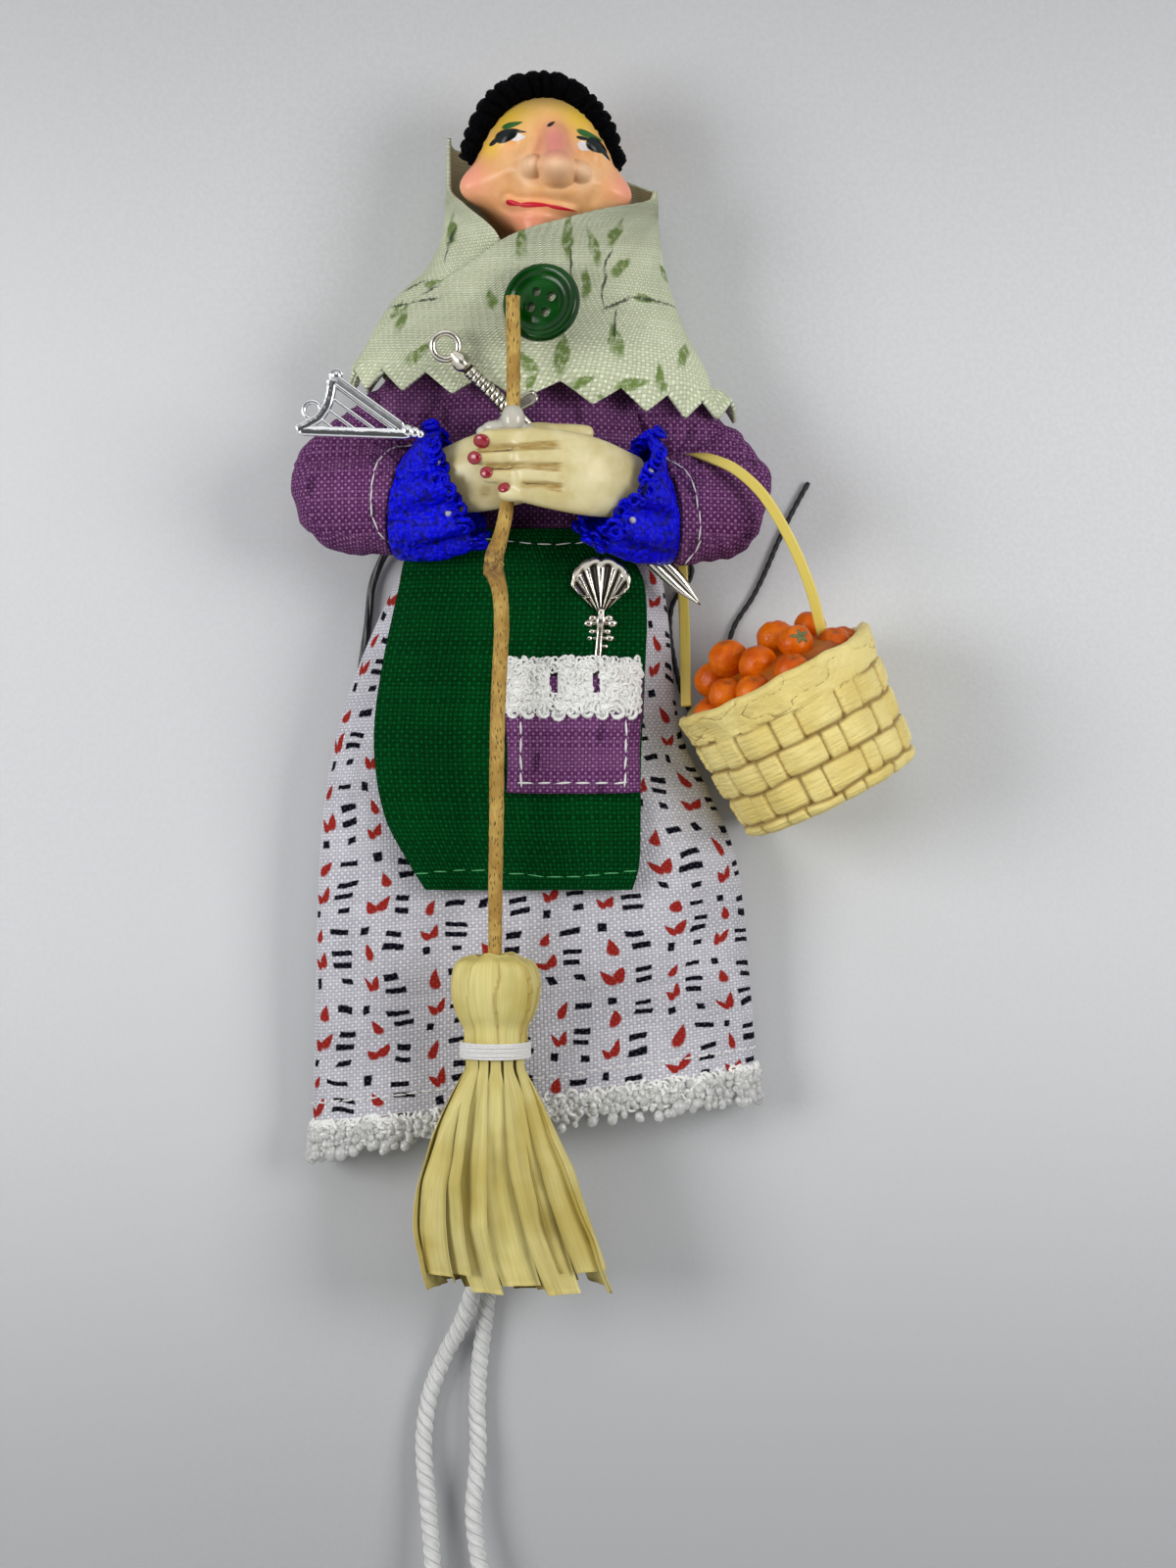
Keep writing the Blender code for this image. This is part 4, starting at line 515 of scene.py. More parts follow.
def weaveGroup():
    # threads that cross over and under; Step 2 is a plain weave and 3 a twill
    tree, given, out = startGroup(
        "clothWeave",
        (("Place", "Vector", None), ("Thread", "Float", 0.0005), ("Step", "Float", 2.0),
         ("Wander", "Float", 0.3)),
        (("Height", "Float"), ("Crown", "Float"), ("Gap", "Float"), ("Tint", "Float")),
    )
    place = shaken(tree, given["Place"], 180, times(tree, given["Wander"], given["Thread"]))
    x, y = split(tree, place)[:2]
    x = over(tree, x, given["Thread"])
    y = over(tree, y, given["Thread"])
    cellX, cellY = calc(tree, "FLOOR", x), calc(tree, "FLOOR", y)
    fx = minus(tree, minus(tree, x, cellX), 0.5)
    fy = minus(tree, minus(tree, y, cellY), 0.5)
    turn = calc(tree, "FLOORED_MODULO", plus(tree, cellX, cellY), given["Step"])
    above = calc(tree, "LESS_THAN", turn, 0.9)
    below = minus(tree, 1.0, above)
    fx2, fy2 = times(tree, fx, fx), times(tree, fy, fy)
    narrow = plus(tree, times(tree, fx2, above), times(tree, fy2, below))
    lengthwise = plus(tree, times(tree, fy2, above), times(tree, fx2, below))
    height = times(tree, minus(tree, 1.0, times(tree, narrow, 4.0)),
                   minus(tree, 1.0, times(tree, lengthwise, 2.2)))
    tree.links.new(times(tree, height, ramp(tree, above, 0.0, 1.0, 0.5, 1.0)), out["Height"])
    knot = times(tree, minus(tree, 1.0, times(tree, fx2, 4.0)), minus(tree, 1.0, times(tree, fy2, 4.0)))
    tree.links.new(times(tree, ramp(tree, knot, 0.30, 0.95), above), out["Crown"])
    tree.links.new(ramp(tree, height, 0.30, 0.0), out["Gap"])
    thread = plus(tree, times(tree, cellX, above), times(tree, cellY, below))
    noise = tree.nodes.new("ShaderNodeTexWhiteNoise")
    tree.links.new(pack(tree, thread, above, 0.0), noise.inputs["Vector"])
    tree.links.new(noise.outputs["Value"], out["Tint"])
    return tree


def spotGroup():
    # one printed mark: an oval that Pinch draws to a point at its far end
    tree, given, out = startGroup(
        "printedMark",
        (("Place", "Vector", None), ("Centre", "Vector", None), ("Size", "Vector", (1, 1, 1)),
         ("Turn", "Float", 0.0), ("Pinch", "Float", 0.0), ("Edge", "Float", 0.1)),
        (("Mask", "Float"),),
    )
    place = vectorCalc(tree, "SUBTRACT", given["Place"], given["Centre"])
    x, y = split(tree, place)[:2]
    cosine, sine = calc(tree, "COSINE", given["Turn"]), calc(tree, "SINE", given["Turn"])
    a = plus(tree, times(tree, x, cosine), times(tree, y, sine))
    b = minus(tree, times(tree, y, cosine), times(tree, x, sine))
    sizes = split(tree, given["Size"])
    a = over(tree, a, sizes[0])
    b = over(tree, b, sizes[1])
    room = calc(tree, "MAXIMUM", minus(tree, 1.0, times(tree, a, given["Pinch"])), 0.08)
    b = over(tree, b, room)
    reach = vectorCalc(tree, "LENGTH", pack(tree, a, b))
    inner = minus(tree, 1.0, given["Edge"])
    outer = plus(tree, 1.0, given["Edge"])
    tree.links.new(ramp(tree, reach, inner, outer, 1.0, 0.0), out["Mask"])
    return tree


weave = weaveGroup()
mark = spotGroup()


def tiled(tree, place, width, height, shift=0.0):
    # repeats a place in tiles, each column shifted along by a share of the tile's height
    x, y = split(tree, place)[:2]
    x = over(tree, x, width)
    column = calc(tree, "FLOOR", x)
    y = plus(tree, over(tree, y, height), times(tree, column, shift))
    return pack(tree, times(tree, calc(tree, "FRACT", x), width),
                times(tree, calc(tree, "FRACT", y), height))


def marksOver(tree, place, marks, edge=0.15):
    # the strongest of several marks: x, y, half length, half width, turn in degrees, pinch
    total = None
    for x, y, long, wide, turn, pinch in marks:
        mask = useGroup(tree, mark, Place=place, Centre=(x * mm, y * mm, 0), Size=(long * mm, wide * mm, 1),
                        Turn=math.radians(turn), Pinch=pinch, Edge=edge)["Mask"]
        total = mask if total is None else calc(tree, "MAXIMUM", total, mask)
    return total


# repeats, as Geometry Nodes
def startGeometry(name, *sizes):
    inputs = [("Geometry", "Geometry", None), *((size, "Float", None) for size in sizes),
              ("Seed", "Int", None), ("Material", "Material", None)]
    return startGroup(name, inputs, (("Geometry", "Geometry"),), "GeometryNodeTree")


def between(tree, low, high, seed, kind="FLOAT"):
    node = tree.nodes.new("FunctionNodeRandomValue")
    node.data_type = kind
    first = 0 if kind == "FLOAT_VECTOR" else 2
    feed(tree, node.inputs[first], low)
    feed(tree, node.inputs[first + 1], high)
    feed(tree, node.inputs["Seed"], seed)
    return node.outputs[0 if kind == "FLOAT_VECTOR" else 1]


def endGeometry(tree, instances, given, out):
    realize = tree.nodes.new("GeometryNodeRealizeInstances")
    dress = tree.nodes.new("GeometryNodeSetMaterial")
    smooth = tree.nodes.new("GeometryNodeSetShadeSmooth")
    tree.links.new(instances, realize.inputs[0])
    tree.links.new(realize.outputs[0], smooth.inputs[0])
    tree.links.new(smooth.outputs[0], dress.inputs["Geometry"])
    tree.links.new(given["Material"], dress.inputs["Material"])
    tree.links.new(dress.outputs[0], out["Geometry"])
    return tree


def facing(tree, axis):
    # turns an instance's axis to the direction kept with each point
    named = tree.nodes.new("GeometryNodeInputNamedAttribute")
    named.data_type = "FLOAT_VECTOR"
    named.inputs["Name"].default_value = "aim"
    align = tree.nodes.new("FunctionNodeAlignRotationToVector")
    align.axis = axis
    tree.links.new(named.outputs["Attribute"], align.inputs["Vector"])
    return align.outputs[0]


def loopTree():
    # thread loops on points: crochet, lace and curls of hair
    tree, given, out = startGeometry("threadLoops", "Radius", "Thread", "Tilt", "Spread")
    ring = tree.nodes.new("GeometryNodeCurvePrimitiveCircle")
    ring.inputs["Resolution"].default_value = 9
    ring.inputs["Radius"].default_value = 1.0
    thread = tree.nodes.new("GeometryNodeCurvePrimitiveCircle")
    thread.inputs["Resolution"].default_value = 5
    tree.links.new(over(tree, given["Thread"], given["Radius"]), thread.inputs["Radius"])
    tube = tree.nodes.new("GeometryNodeCurveToMesh")
    tree.links.new(ring.outputs[0], tube.inputs[0])
    tree.links.new(thread.outputs[0], tube.inputs[1])
    place = tree.nodes.new("GeometryNodeInstanceOnPoints")
    tree.links.new(given["Geometry"], place.inputs["Points"])
    tree.links.new(tube.outputs[0], place.inputs["Instance"])
    turn = tree.nodes.new("FunctionNodeRotateRotation")
    turn.rotation_space = "LOCAL"
    tree.links.new(facing(tree, "Z"), turn.inputs["Rotation"])
    tilt = between(tree, (-1.0, -1.0, -3.0), (1.0, 1.0, 3.0), given["Seed"], "FLOAT_VECTOR")
    tree.links.new(vectorCalc(tree, "SCALE", tilt, scale=given["Tilt"]), turn.inputs["Rotate By"])
    tree.links.new(turn.outputs[0], place.inputs["Rotation"])
    small = minus(tree, 1.0, given["Spread"])
    large = plus(tree, 1.0, given["Spread"])
    size = between(tree, small, large, plus(tree, given["Seed"], 1))
    tree.links.new(times(tree, size, given["Radius"]), place.inputs["Scale"])
    return endGeometry(tree, place.outputs[0], given, out)


def beadTree():
    # drops and beads that hang from points
    tree, given, out = startGeometry("hangingDrops", "Radius", "Stretch", "Spread")
    ball = tree.nodes.new("GeometryNodeMeshUVSphere")
    ball.inputs["Segments"].default_value = 10
    ball.inputs["Rings"].default_value = 8
    ball.inputs["Radius"].default_value = 1.0
    here = tree.nodes.new("GeometryNodeInputPosition").outputs[0]
    x, y, z = split(tree, here)
    slim = minus(tree, 1.0, times(tree, minus(tree, 1.0, z),
                times(tree, minus(tree, given["Stretch"], 1.0), 0.38)))
    drop = pack(tree, times(tree, x, slim), times(tree, y, slim),
                times(tree, z, given["Stretch"]))
    shape = tree.nodes.new("GeometryNodeSetPosition")
    tree.links.new(ball.outputs[0], shape.inputs["Geometry"])
    tree.links.new(drop, shape.inputs["Position"])
    place = tree.nodes.new("GeometryNodeInstanceOnPoints")
    tree.links.new(given["Geometry"], place.inputs["Points"])
    tree.links.new(shape.outputs[0], place.inputs["Instance"])
    tree.links.new(facing(tree, "Z"), place.inputs["Rotation"])
    small = minus(tree, 1.0, given["Spread"])
    large = plus(tree, 1.0, given["Spread"])
    size = between(tree, small, large, given["Seed"])
    tree.links.new(times(tree, size, given["Radius"]), place.inputs["Scale"])
    return endGeometry(tree, place.outputs[0], given, out)


def stitchTree():
    # running stitches along a seam line
    tree, given, out = startGeometry("runningStitch", "Spacing", "Length", "Thread")
    line = tree.nodes.new("GeometryNodeMeshToCurve")
    tree.links.new(given["Geometry"], line.inputs[0])
    even = tree.nodes.new("GeometryNodeResampleCurve")
    even.mode = "LENGTH"
    tree.links.new(line.outputs[0], even.inputs["Curve"])
    tree.links.new(given["Spacing"], even.inputs["Length"])
    ball = tree.nodes.new("GeometryNodeMeshUVSphere")
    ball.inputs["Segments"].default_value = 7
    ball.inputs["Rings"].default_value = 6
    ball.inputs["Radius"].default_value = 0.5
    place = tree.nodes.new("GeometryNodeInstanceOnPoints")
    tree.links.new(even.outputs[0], place.inputs["Points"])
    tree.links.new(ball.outputs[0], place.inputs["Instance"])
    align = tree.nodes.new("FunctionNodeAlignRotationToVector")
    align.axis = "X"
    tangent = tree.nodes.new("GeometryNodeInputTangent").outputs[0]
    sway = between(tree, (-0.12, -0.12, 0.0), (0.12, 0.12, 0.0), given["Seed"], "FLOAT_VECTOR")
    tree.links.new(vectorCalc(tree, "ADD", tangent, sway), align.inputs["Vector"])
    tree.links.new(align.outputs[0], place.inputs["Rotation"])
    long = times(tree, given["Length"], between(tree, 0.85, 1.12, given["Seed"]))
    tree.links.new(pack(tree, long, given["Thread"], given["Thread"]), place.inputs["Scale"])
    return endGeometry(tree, place.outputs[0], given, out)


threadLoops, hangingDrops, runningStitch = loopTree(), beadTree(), stitchTree()


def grow(name, points, tree, settings, material, aims=None):
    # runs a tree on points, or on a line where there are no aims, and keeps plain mesh
    points = np.asarray(points, float).reshape(-1, 3)
    mesh = bpy.data.meshes.new(name + "_guide")
    edges = [] if aims is not None else [(k, k + 1) for k in range(len(points) - 1)]
    mesh.from_pydata(points.tolist(), edges, [])
    if aims is not None:
        aim = mesh.attributes.new("aim", "FLOAT_VECTOR", "POINT")
        aim.data.foreach_set("vector", np.ravel(unit(np.asarray(aims, float))).astype(np.float32))
    guide = bpy.data.objects.new(name + "_guide", mesh)
    bpy.context.scene.collection.objects.link(guide)
    modifier = guide.modifiers.new("repeat", "NODES")
    modifier.node_group = tree
    sockets = {s.name: s.identifier for s in tree.interface.items_tree if s.in_out == "INPUT"}
    for key, value in {**settings, "Material": material}.items():
        modifier[sockets[key]] = value
    guide.update_tag()
    bpy.context.view_layer.update()
    made = plainMesh(guide)
    bpy.data.objects.remove(guide)
    if len(made.polygons) == 0:
        raise ValueError(name + " grew nothing")
    for extra in [a.name for a in made.attributes if a.name == "aim"]:
        made.attributes.remove(made.attributes[extra])
    made.name = name
    piece = bpy.data.objects.new(name, made)
    bpy.context.scene.collection.objects.link(piece)
    return piece


def sew(name, line, sizes, seed, thread):
    # running stitches: their spacing, length and thickness
    return grow(name, line, runningStitch, dict(zip(("Spacing", "Length", "Thread"), sizes), Seed=seed),
                thread)


def knit(name, points, aims, sizes, seed, thread):
    # thread loops: their radius, thickness, tilt and spread in size
    sizes = dict(zip(("Radius", "Thread", "Tilt", "Spread"), sizes), Seed=seed)
    return grow(name, points, threadLoops, sizes, thread, aims)


def hangDrops(name, points, aims, sizes, seed):
    # clear drops: their radius, stretch and spread in size
    sizes = dict(zip(("Radius", "Stretch", "Spread"), sizes), Seed=seed)
    return grow(name, points, hangingDrops, sizes, clearDrop, aims)


# stage
stageSettings = {
    "cameraPlace": (0.00771, -0.02286, 0.450), "photoFocal": 2982 / 1600,
    "floorColour": (0.62, 0.63, 0.635), "leftLamp": 1.75, "rightLamp": 1.70, "topLamp": 0.55, "sky": 0.27,
}


def makeStage(s):
    camera = bpy.data.objects.new("camera", bpy.data.cameras.new("camera"))
    camera.location = s["cameraPlace"]
    camera.data.sensor_fit = "AUTO"
    camera.data.sensor_width = 36
    camera.data.lens = s["photoFocal"] * 36
    camera.data.clip_start, camera.data.clip_end = 0.01, 10
    bpy.context.scene.collection.objects.link(camera)
    bpy.context.scene.camera = camera
    bpy.context.scene.view_settings.view_transform = "Standard"

    material, tree = startMaterial("tabletop", 0.45)
    place = coordinates(tree, "Object")
    fine = cloud(tree, place, 1400.0, 2.0)
    broad = cloud(tree, place, 4.0, 2.0)
    tone = mix(tree, ramp(tree, broad, 0.35, 0.7), s["floorColour"],
               tuple(c * 1.06 for c in s["floorColour"]))
    tone = mix(tree, ramp(tree, fine, 0.3, 0.75), tone, (0.66, 0.67, 0.69))
    # the light falls off towards the top and the bottom of the picture
    y = split(tree, place)[1]
    away = calc(tree, "ABSOLUTE", plus(tree, y, 0.006))
    shade = ramp(tree, away, 0.030, 0.150, 1.0, 0.66)
    tone = shaded(tree, tone, shade)
    endMaterial(material, tone, fine, 0.00006, 0.5)
    side = 1.5
    floor = newPiece("tabletop", [(-side, -side, -0.0001), (side, -side, -0.0001), (side, side, -0.0001),
                                  (-side, side, -0.0001)], [(0, 1, 2, 3)], material, recalc=False)

    world = bpy.data.worlds.new("studio")
    bpy.context.scene.world = world
    world.use_nodes = True
    tree = world.node_tree
    sky = tree.nodes["Background"]
    path = tree.nodes.new("ShaderNodeLightPath")
    plain = calc(tree, "MAXIMUM", path.outputs["Is Camera Ray"], path.outputs["Is Glossy Ray"])
    plain = calc(tree, "MAXIMUM", plain, path.outputs["Is Transmission Ray"])
    # dark straight above, as under a held camera, and bright round the sides
    height = split(tree, coordinates(tree, "Generated"))[2]
    around = ramp(tree, height, 0.60, 0.93, 1.0, 0.10)
    tree.links.new(ramp(tree, plain, 0.0, 1.0, s["sky"], around), sky.inputs["Strength"])
    sky.inputs["Color"].default_value = (0.97, 0.98, 1.0, 1)
    lamps = (
        ("leftLamp", (-0.42, 0.03, 0.40), 0.26, s["leftLamp"]),
        ("rightLamp", (0.43, 0.08, 0.42), 0.26, s["rightLamp"]),
        ("topLamp", (0.02, 0.36, 0.62), 0.40, s["topLamp"]),
    )
    for name, where, size, power in lamps:
        lamp = bpy.data.objects.new(name, bpy.data.lights.new(name, "AREA"))
        lamp.data.size = size
        lamp.data.energy = power
        lamp.location = where
        lamp.rotation_euler = (Vector((0.0, 0.0, 0.0)) - Vector(where)).to_track_quat("-Z", "Y").to_euler()
        bpy.context.scene.collection.objects.link(lamp)


makeStage(stageSettings)
print("stage made")


# cords
legSettings = {"diameter": 0.0027, "plies": 3, "layPitch": 0.0058, "step": 0.00042, "sides": 24}
legRoutes = {
    "left": ((-6.0, -25.3, 8.0), (-6.6, -34, 7.2), (-7.2, -45, 5.0), (-7.8, -58, 3.4), (-8.2, -72, 3.6),
             (-8.6, -86, 4.4), (-9.4, -98, 4.7), (-11.5, -105, 3.6), (-14.2, -110.3, 2.0),
             (-16.4, -116, 1.7),
             (-17.4, -122.2, 2.0), (-17.3, -127.5, 2.6), (-16.7, -133, 3.4), (-16.1, -140, 4.4),
             (-15.7, -147, 5.0), (-15.6, -152.7, 5.2)),
    "right": ((-1.6, -25.3, 8.0), (-2.2, -34, 7.2), (-3.0, -45, 5.0), (-3.6, -58, 3.4), (-4.2, -72, 2.8),
              (-5.2, -86, 1.6), (-7.2, -97, 1.5), (-8.0, -104, 1.6), (-9.0, -112.5, 1.6), (-9.3, -119, 1.8),
              (-9.1, -124, 2.2), (-9.4, -129, 2.8), (-9.8, -134, 3.5), (-9.0, -141, 4.4), (-7.8, -147, 5.0),
              (-7.2, -152.7, 5.2)),
}
blackRoute = ((20.6, 14.0, .6), (22.8, 12.2, .6), (23.7, 9.8, .6), (22.6, 7.4, .6), (20.8, 5.0, .6),
              (20.3, 1.0, .6),
              (21.2, -5.0, .6), (22.6, -10.0, .6), (24.8, -13.2, .6), (27.2, -12.0, .6), (28.4, -7.0, .6),
              (29.2, -2.0, .6), (30.3, 1.6, .6), (33.0, 5.8, .6), (35.0, 9.8, .6), (36.8, 14.0, .6),
              (39.0, 18.7, .6), (41.6, 23.5, .6))
blackSettings = {"diameter": 0.0008, "plies": 2, "layPitch": 0.0030, "step": 0.00028, "sides": 14}
strandRoute = ((-17.0, 17.2, 5.8), (-18.6, 16.8, 5.0), (-21.0, 15.0, 3.2), (-23.6, 12.2, 1.8),
               (-25.3, 8.0, 1.1),
               (-26.0, 3.0, 1.0), (-26.6, -2.0, 1.0), (-27.2, -6.0, 1.0), (-27.6, -9.4, 1.0))
strandSettings = {"diameter": 0.0013, "plies": 3, "layPitch": 0.030, "step": 0.0005, "sides": 18}


def threadMaterial(name, colour, shade, s, roughness, fibres, sheen):
    # fibres follow the lay of the plies; UV runs round and along in metres
    material, tree = startMaterial(name, roughness, Sheen_Weight=sheen)
    u, v = split(tree, coordinates(tree, "UV"))[:2]
    around = math.pi * s["diameter"]
    lay = minus(tree, over(tree, u, around), over(tree, v, s["layPitch"]))
    fibre = calc(tree, "SINE", times(tree, lay, math.tau * s["plies"] * fibres))
    fuzz = cloud(tree, pack(tree, times(tree, lay, 30.0), times(tree, v, 500.0)), 1.0, 4.0)
    height = plus(tree, times(tree, fibre, 0.3), fuzz)
    ply = calc(tree, "ABSOLUTE", calc(tree, "SINE", times(tree, lay, math.pi * s["plies"])))
    tone = mix(tree, ramp(tree, ply, 0.0, 0.45, 0.75, 0.0), colour, shade)
    tone = mix(tree, ramp(tree, fuzz, 0.35, 0.7, 0.0, 0.35), tone, shade)
    return endMaterial(material, tone, height, s["diameter"] * 0.06)


def twistedCord(name, route, s, material, flat=1.0, lobe=0.22):
    # one round cord whose plies wind round each other
    path, distance = evenly(routePoints(np.array(route) * mm, 160), s["step"])
    tangent = unit(np.gradient(path, axis=0))
    side = unit(np.cross(tangent, zWay))
    up = np.cross(side, tangent)
    angle = roundTurn(s["sides"])
    turn = angle[None, :] - math.tau * distance[:, None] / s["layPitch"]
    bulge = np.abs(np.cos(turn * s["plies"] / 2 + math.pi / 2))
    radius = s["diameter"] / 2 * (1 - lobe + lobe * bulge ** 0.7)
    rings = (path[:, None] + side[:, None] * (radius * np.cos(angle))[..., None]
             + up[:, None] * (radius * np.sin(angle) * flat)[..., None])
    piece = loftPiece(name, rings, material)
    return piece, path, distance[-1]


def makeCords():
    white = threadMaterial("whiteCotton", (0.86, 0.86, 0.84), (0.42, 0.42, 0.43), legSettings, 0.85, 5, 0.0)
    black = threadMaterial("blackCord", (0.006, 0.006, 0.009), (0.002, 0.002, 0.003), blackSettings, 0.55, 3,
                           0.0)
    shiny = threadMaterial("blackStrand", (0.010, 0.010, 0.013), (0.003, 0.003, 0.004), strandSettings, 0.28,
                           2, 0.0)
    lengths = {}
    for side, route in legRoutes.items():
        piece, path, length = twistedCord(side + "LegRope", route, legSettings, white, lobe=0.30)
        finishPiece(piece, side + "_leg", (side + "_leg_cord",))
        lengths[side] = length
    piece, path, length = twistedCord("hangingTail", blackRoute, blackSettings, black, lobe=0.30)
    finishPiece(piece, "doll", ("hanging_cord",))
    lengths["hanging"] = length
    piece, path, length = twistedCord("waistStrand", strandRoute, strandSettings, shiny, lobe=0.35)
    finishPiece(piece, "doll", ("waist_strand",))
    lengths["strand"] = length
    print("cords:", {k: round(v, 4) for k, v in lengths.items()})


makeCords()


# cloth
def clothMaterial(name, thread, step, dark, colour, crownHighlight, bump, wander=0.7, prints=None, highlightFleck=0.5):
    # threads with a painted highlight on their crowns and painted shade in the gaps, then a print soaked into
    # them
    material, tree = startMaterial(name, 0.80, Specular_IOR_Level=0.04)
    place = coordinates(tree, "UV")
    threads = useGroup(tree, weave, Place=place, Thread=thread, Step=step, Wander=wander)
    broad = cloud(tree, place, 90.0, 3.0)
    tone = mix(tree, ramp(tree, threads["Tint"], 0.0, 1.0), colour,
               tuple(0.75 * a + 0.25 * b for a, b in zip(colour, crownHighlight)))
    # painted highlight: the crown of each thread takes the highlight colour, in flecks
    crown = times(tree, threads["Crown"], ramp(tree, cloud(tree, place, 1100.0, 2.0), 0.30, 0.60, 1 - highlightFleck,
                                               1.0))
    tone = mix(tree, crown, tone, crownHighlight)
    # painted shade: the gaps between threads take the dark colour
    tone = mix(tree, times(tree, threads["Gap"], 0.8), tone, dark)
    if prints:
        for ink, mask in prints(tree, shaken(tree, place, 2600, thread * 0.55)):
            soaked = times(tree, mask, ramp(tree, threads["Crown"], 0.2, 1.0, 1.0, 0.95))
            tone = mix(tree, soaked, tone, ink)
    shade = ramp(tree, broad, 0.25, 0.75, 0.86, 1.06)
    tone = shaded(tree, tone, shade)
    height = plus(tree, threads["Height"], times(tree, cloud(tree, place, 5200.0, 2.0), 0.35))
    return endMaterial(material, tone, height, bump)


def barsOver(tree, place, bars, soft=0.09):
    # the strongest of several upright bars: x, y, half width, half height in millimetres
    x, y = split(tree, place)[:2]
    total = None
    for cx, cy, wide, high in bars:
        dx = calc(tree, "ABSOLUTE", minus(tree, x, cx * mm))
        dy = calc(tree, "ABSOLUTE", minus(tree, y, cy * mm))
        mask = times(tree, ramp(tree, dx, (wide - soft) * mm, (wide + soft) * mm, 1.0, 0.0),
                    ramp(tree, dy, (high - soft) * mm, (high + soft) * mm, 1.0, 0.0))
        total = mask if total is None else calc(tree, "MAXIMUM", total, mask)
    return total


def skirtPrint(tree, place):
    # two columns of short black bars and two of red leaves to a tile
    spot = tiled(tree, shaken(tree, place, 75, 6.5 * mm), 15.6 * mm, 10.8 * mm, 0.37)
    black = [(2.0, 1.1, 1.20, 0.42), (2.2, 2.9, 1.10, 0.42), (1.9, 6.3, 1.25, 0.43), (2.3, 8.1, 1.10, 0.43),
             (9.8, 3.8, 1.20, 0.42), (9.6, 5.6, 1.25, 0.43), (9.9, 9.0, 1.20, 0.42), (6.3, 8.9, 0.50, 0.62),
             (9.5, 1.4, 0.70, 0.40), (13.6, 1.4, 0.50, 0.60)]
    red = [(4.9, 2.1, 1.20, 0.56, 118, 0.6), (6.2, 1.6, 1.00, 0.46, 58, 0.6),
           (5.3, 5.9, 1.25, 0.60, 72, 0.7),
           (12.4, 4.5, 1.20, 0.56, 108, 0.6), (13.7, 4.0, 1.05, 0.46, 50, 0.6),
           (12.9, 8.4, 1.25, 0.60, 112, 0.7)]
    return (((0.33, 0.020, 0.014), marksOver(tree, spot, red, 0.16)),
            ((0.003, 0.003, 0.008), barsOver(tree, spot, black)))


def scarfPrint(tree, place):
    # loose sprigs on the front, in millimetres: thin grey stems with brushed green leaves
    spot = coordinates(tree, "Object")
    sway = times(tree, minus(tree, cloud(tree, spot, 420.0, 1.0), 0.5), 1.6 * mm)
    ragged = times(tree, minus(tree, cloud(tree, spot, 2300.0, 2.0), 0.5), 0.9 * mm)
    spot = vectorCalc(tree, "ADD", spot, pack(tree, sway, ragged))
    stems = [(5.3, 51.5, 4.2, 0.20, -89, 0.2), (10.1, 49.8, 3.1, 0.20, -90, 0.2),
             (12.1, 47.7, 2.4, 0.20, 26, 0.2),
             (17.5, 48.5, 3.6, 0.20, -4, 0.2), (10.7, 54.0, 1.5, 0.20, 63, 0.2),
             (11.8, 44.6, 2.3, 0.20, -93, 0.2),
             (-17.9, 51.0, 1.7, 0.20, 18, 0.2), (-19.7, 48.1, 2.3, 0.20, 0, 0.2),
             (-15.8, 48.2, 1.9, 0.20, 4, 0.2),
             (-15.4, 49.7, 1.4, 0.20, 23, 0.2), (-12.7, 56.6, 2.5, 0.20, -102, 0.2)]
    leaves = [(4.8, 56.7, 3.0, 0.68, 90, 0.35), (8.5, 55.4, 2.4, 0.74, 104, 0.35),
              (11.9, 57.6, 2.2, 0.62, 62, 0.35),
              (12.6, 52.8, 1.9, 0.74, 40, 0.35), (16.1, 48.6, 1.6, 0.56, -10, 0.35),
              (11.8, 42.4, 2.5, 0.93, 104, 0.35),
              (7.3, 50.3, 2.1, 0.74, 92, 0.35), (19.1, 53.1, 1.2, 0.50, 120, 0.35),
              (3.9, 40.2, 3.0, 0.99, 84, 0.35),
              (6.7, 36.0, 2.0, 0.81, 24, 0.35), (14.2, 35.9, 2.4, 0.87, 12, 0.35),
              (10.1, 33.4, 1.6, 0.62, 150, 0.35),
              (-1.3, 38.9, 2.2, 0.87, 130, 0.35), (-0.5, 36.3, 1.5, 0.62, 60, 0.35),
              (-19.7, 45.9, 2.2, 0.81, 72, 0.35),
              (-15.0, 50.9, 1.4, 0.56, 10, 0.35), (-20.6, 47.4, 1.4, 0.56, 60, 0.35),
              (-12.4, 58.8, 2.5, 0.56, 86, 0.35),
              (-17.1, 40.5, 2.4, 0.81, 36, 0.35), (-2.0, 56.2, 2.2, 0.74, 88, 0.35),
              (18.4, 37.0, 2.1, 0.74, 100, 0.35),
              (21.8, 40.7, 1.9, 0.74, 70, 0.35), (-6.4, 48.1, 1.5, 0.62, 100, 0.35),
              (-10.1, 34.5, 1.9, 0.74, 40, 0.35)]
    brushed = cloud(tree, spot, 900.0, 2.0)
    green = times(tree, marksOver(tree, spot, leaves, 0.30), ramp(tree, brushed, 0.32, 0.55, 0.35, 0.92))
    grey = times(tree, marksOver(tree, spot, stems, 0.35), ramp(tree, brushed, 0.30, 0.5, 0.45, 0.9))
    return (((0.150, 0.235, 0.045), green), ((0.055, 0.075, 0.055), grey))


def purplePrint(tree, place):
    # small dark ovals with a dashed inside
    spot = tiled(tree, place, 9.4 * mm, 8.4 * mm, 0.5)
    dashes = cells(tree, place, 2300.0)
    oval = marksOver(tree, spot, [(4.4, 4.2, 1.5, 0.62, 80, 0.0)], 0.2)
    return (((0.012, 0.002, 0.014), times(tree, oval, ramp(tree, dashes, 0.15, 0.45, 0.95, 0.35))),)


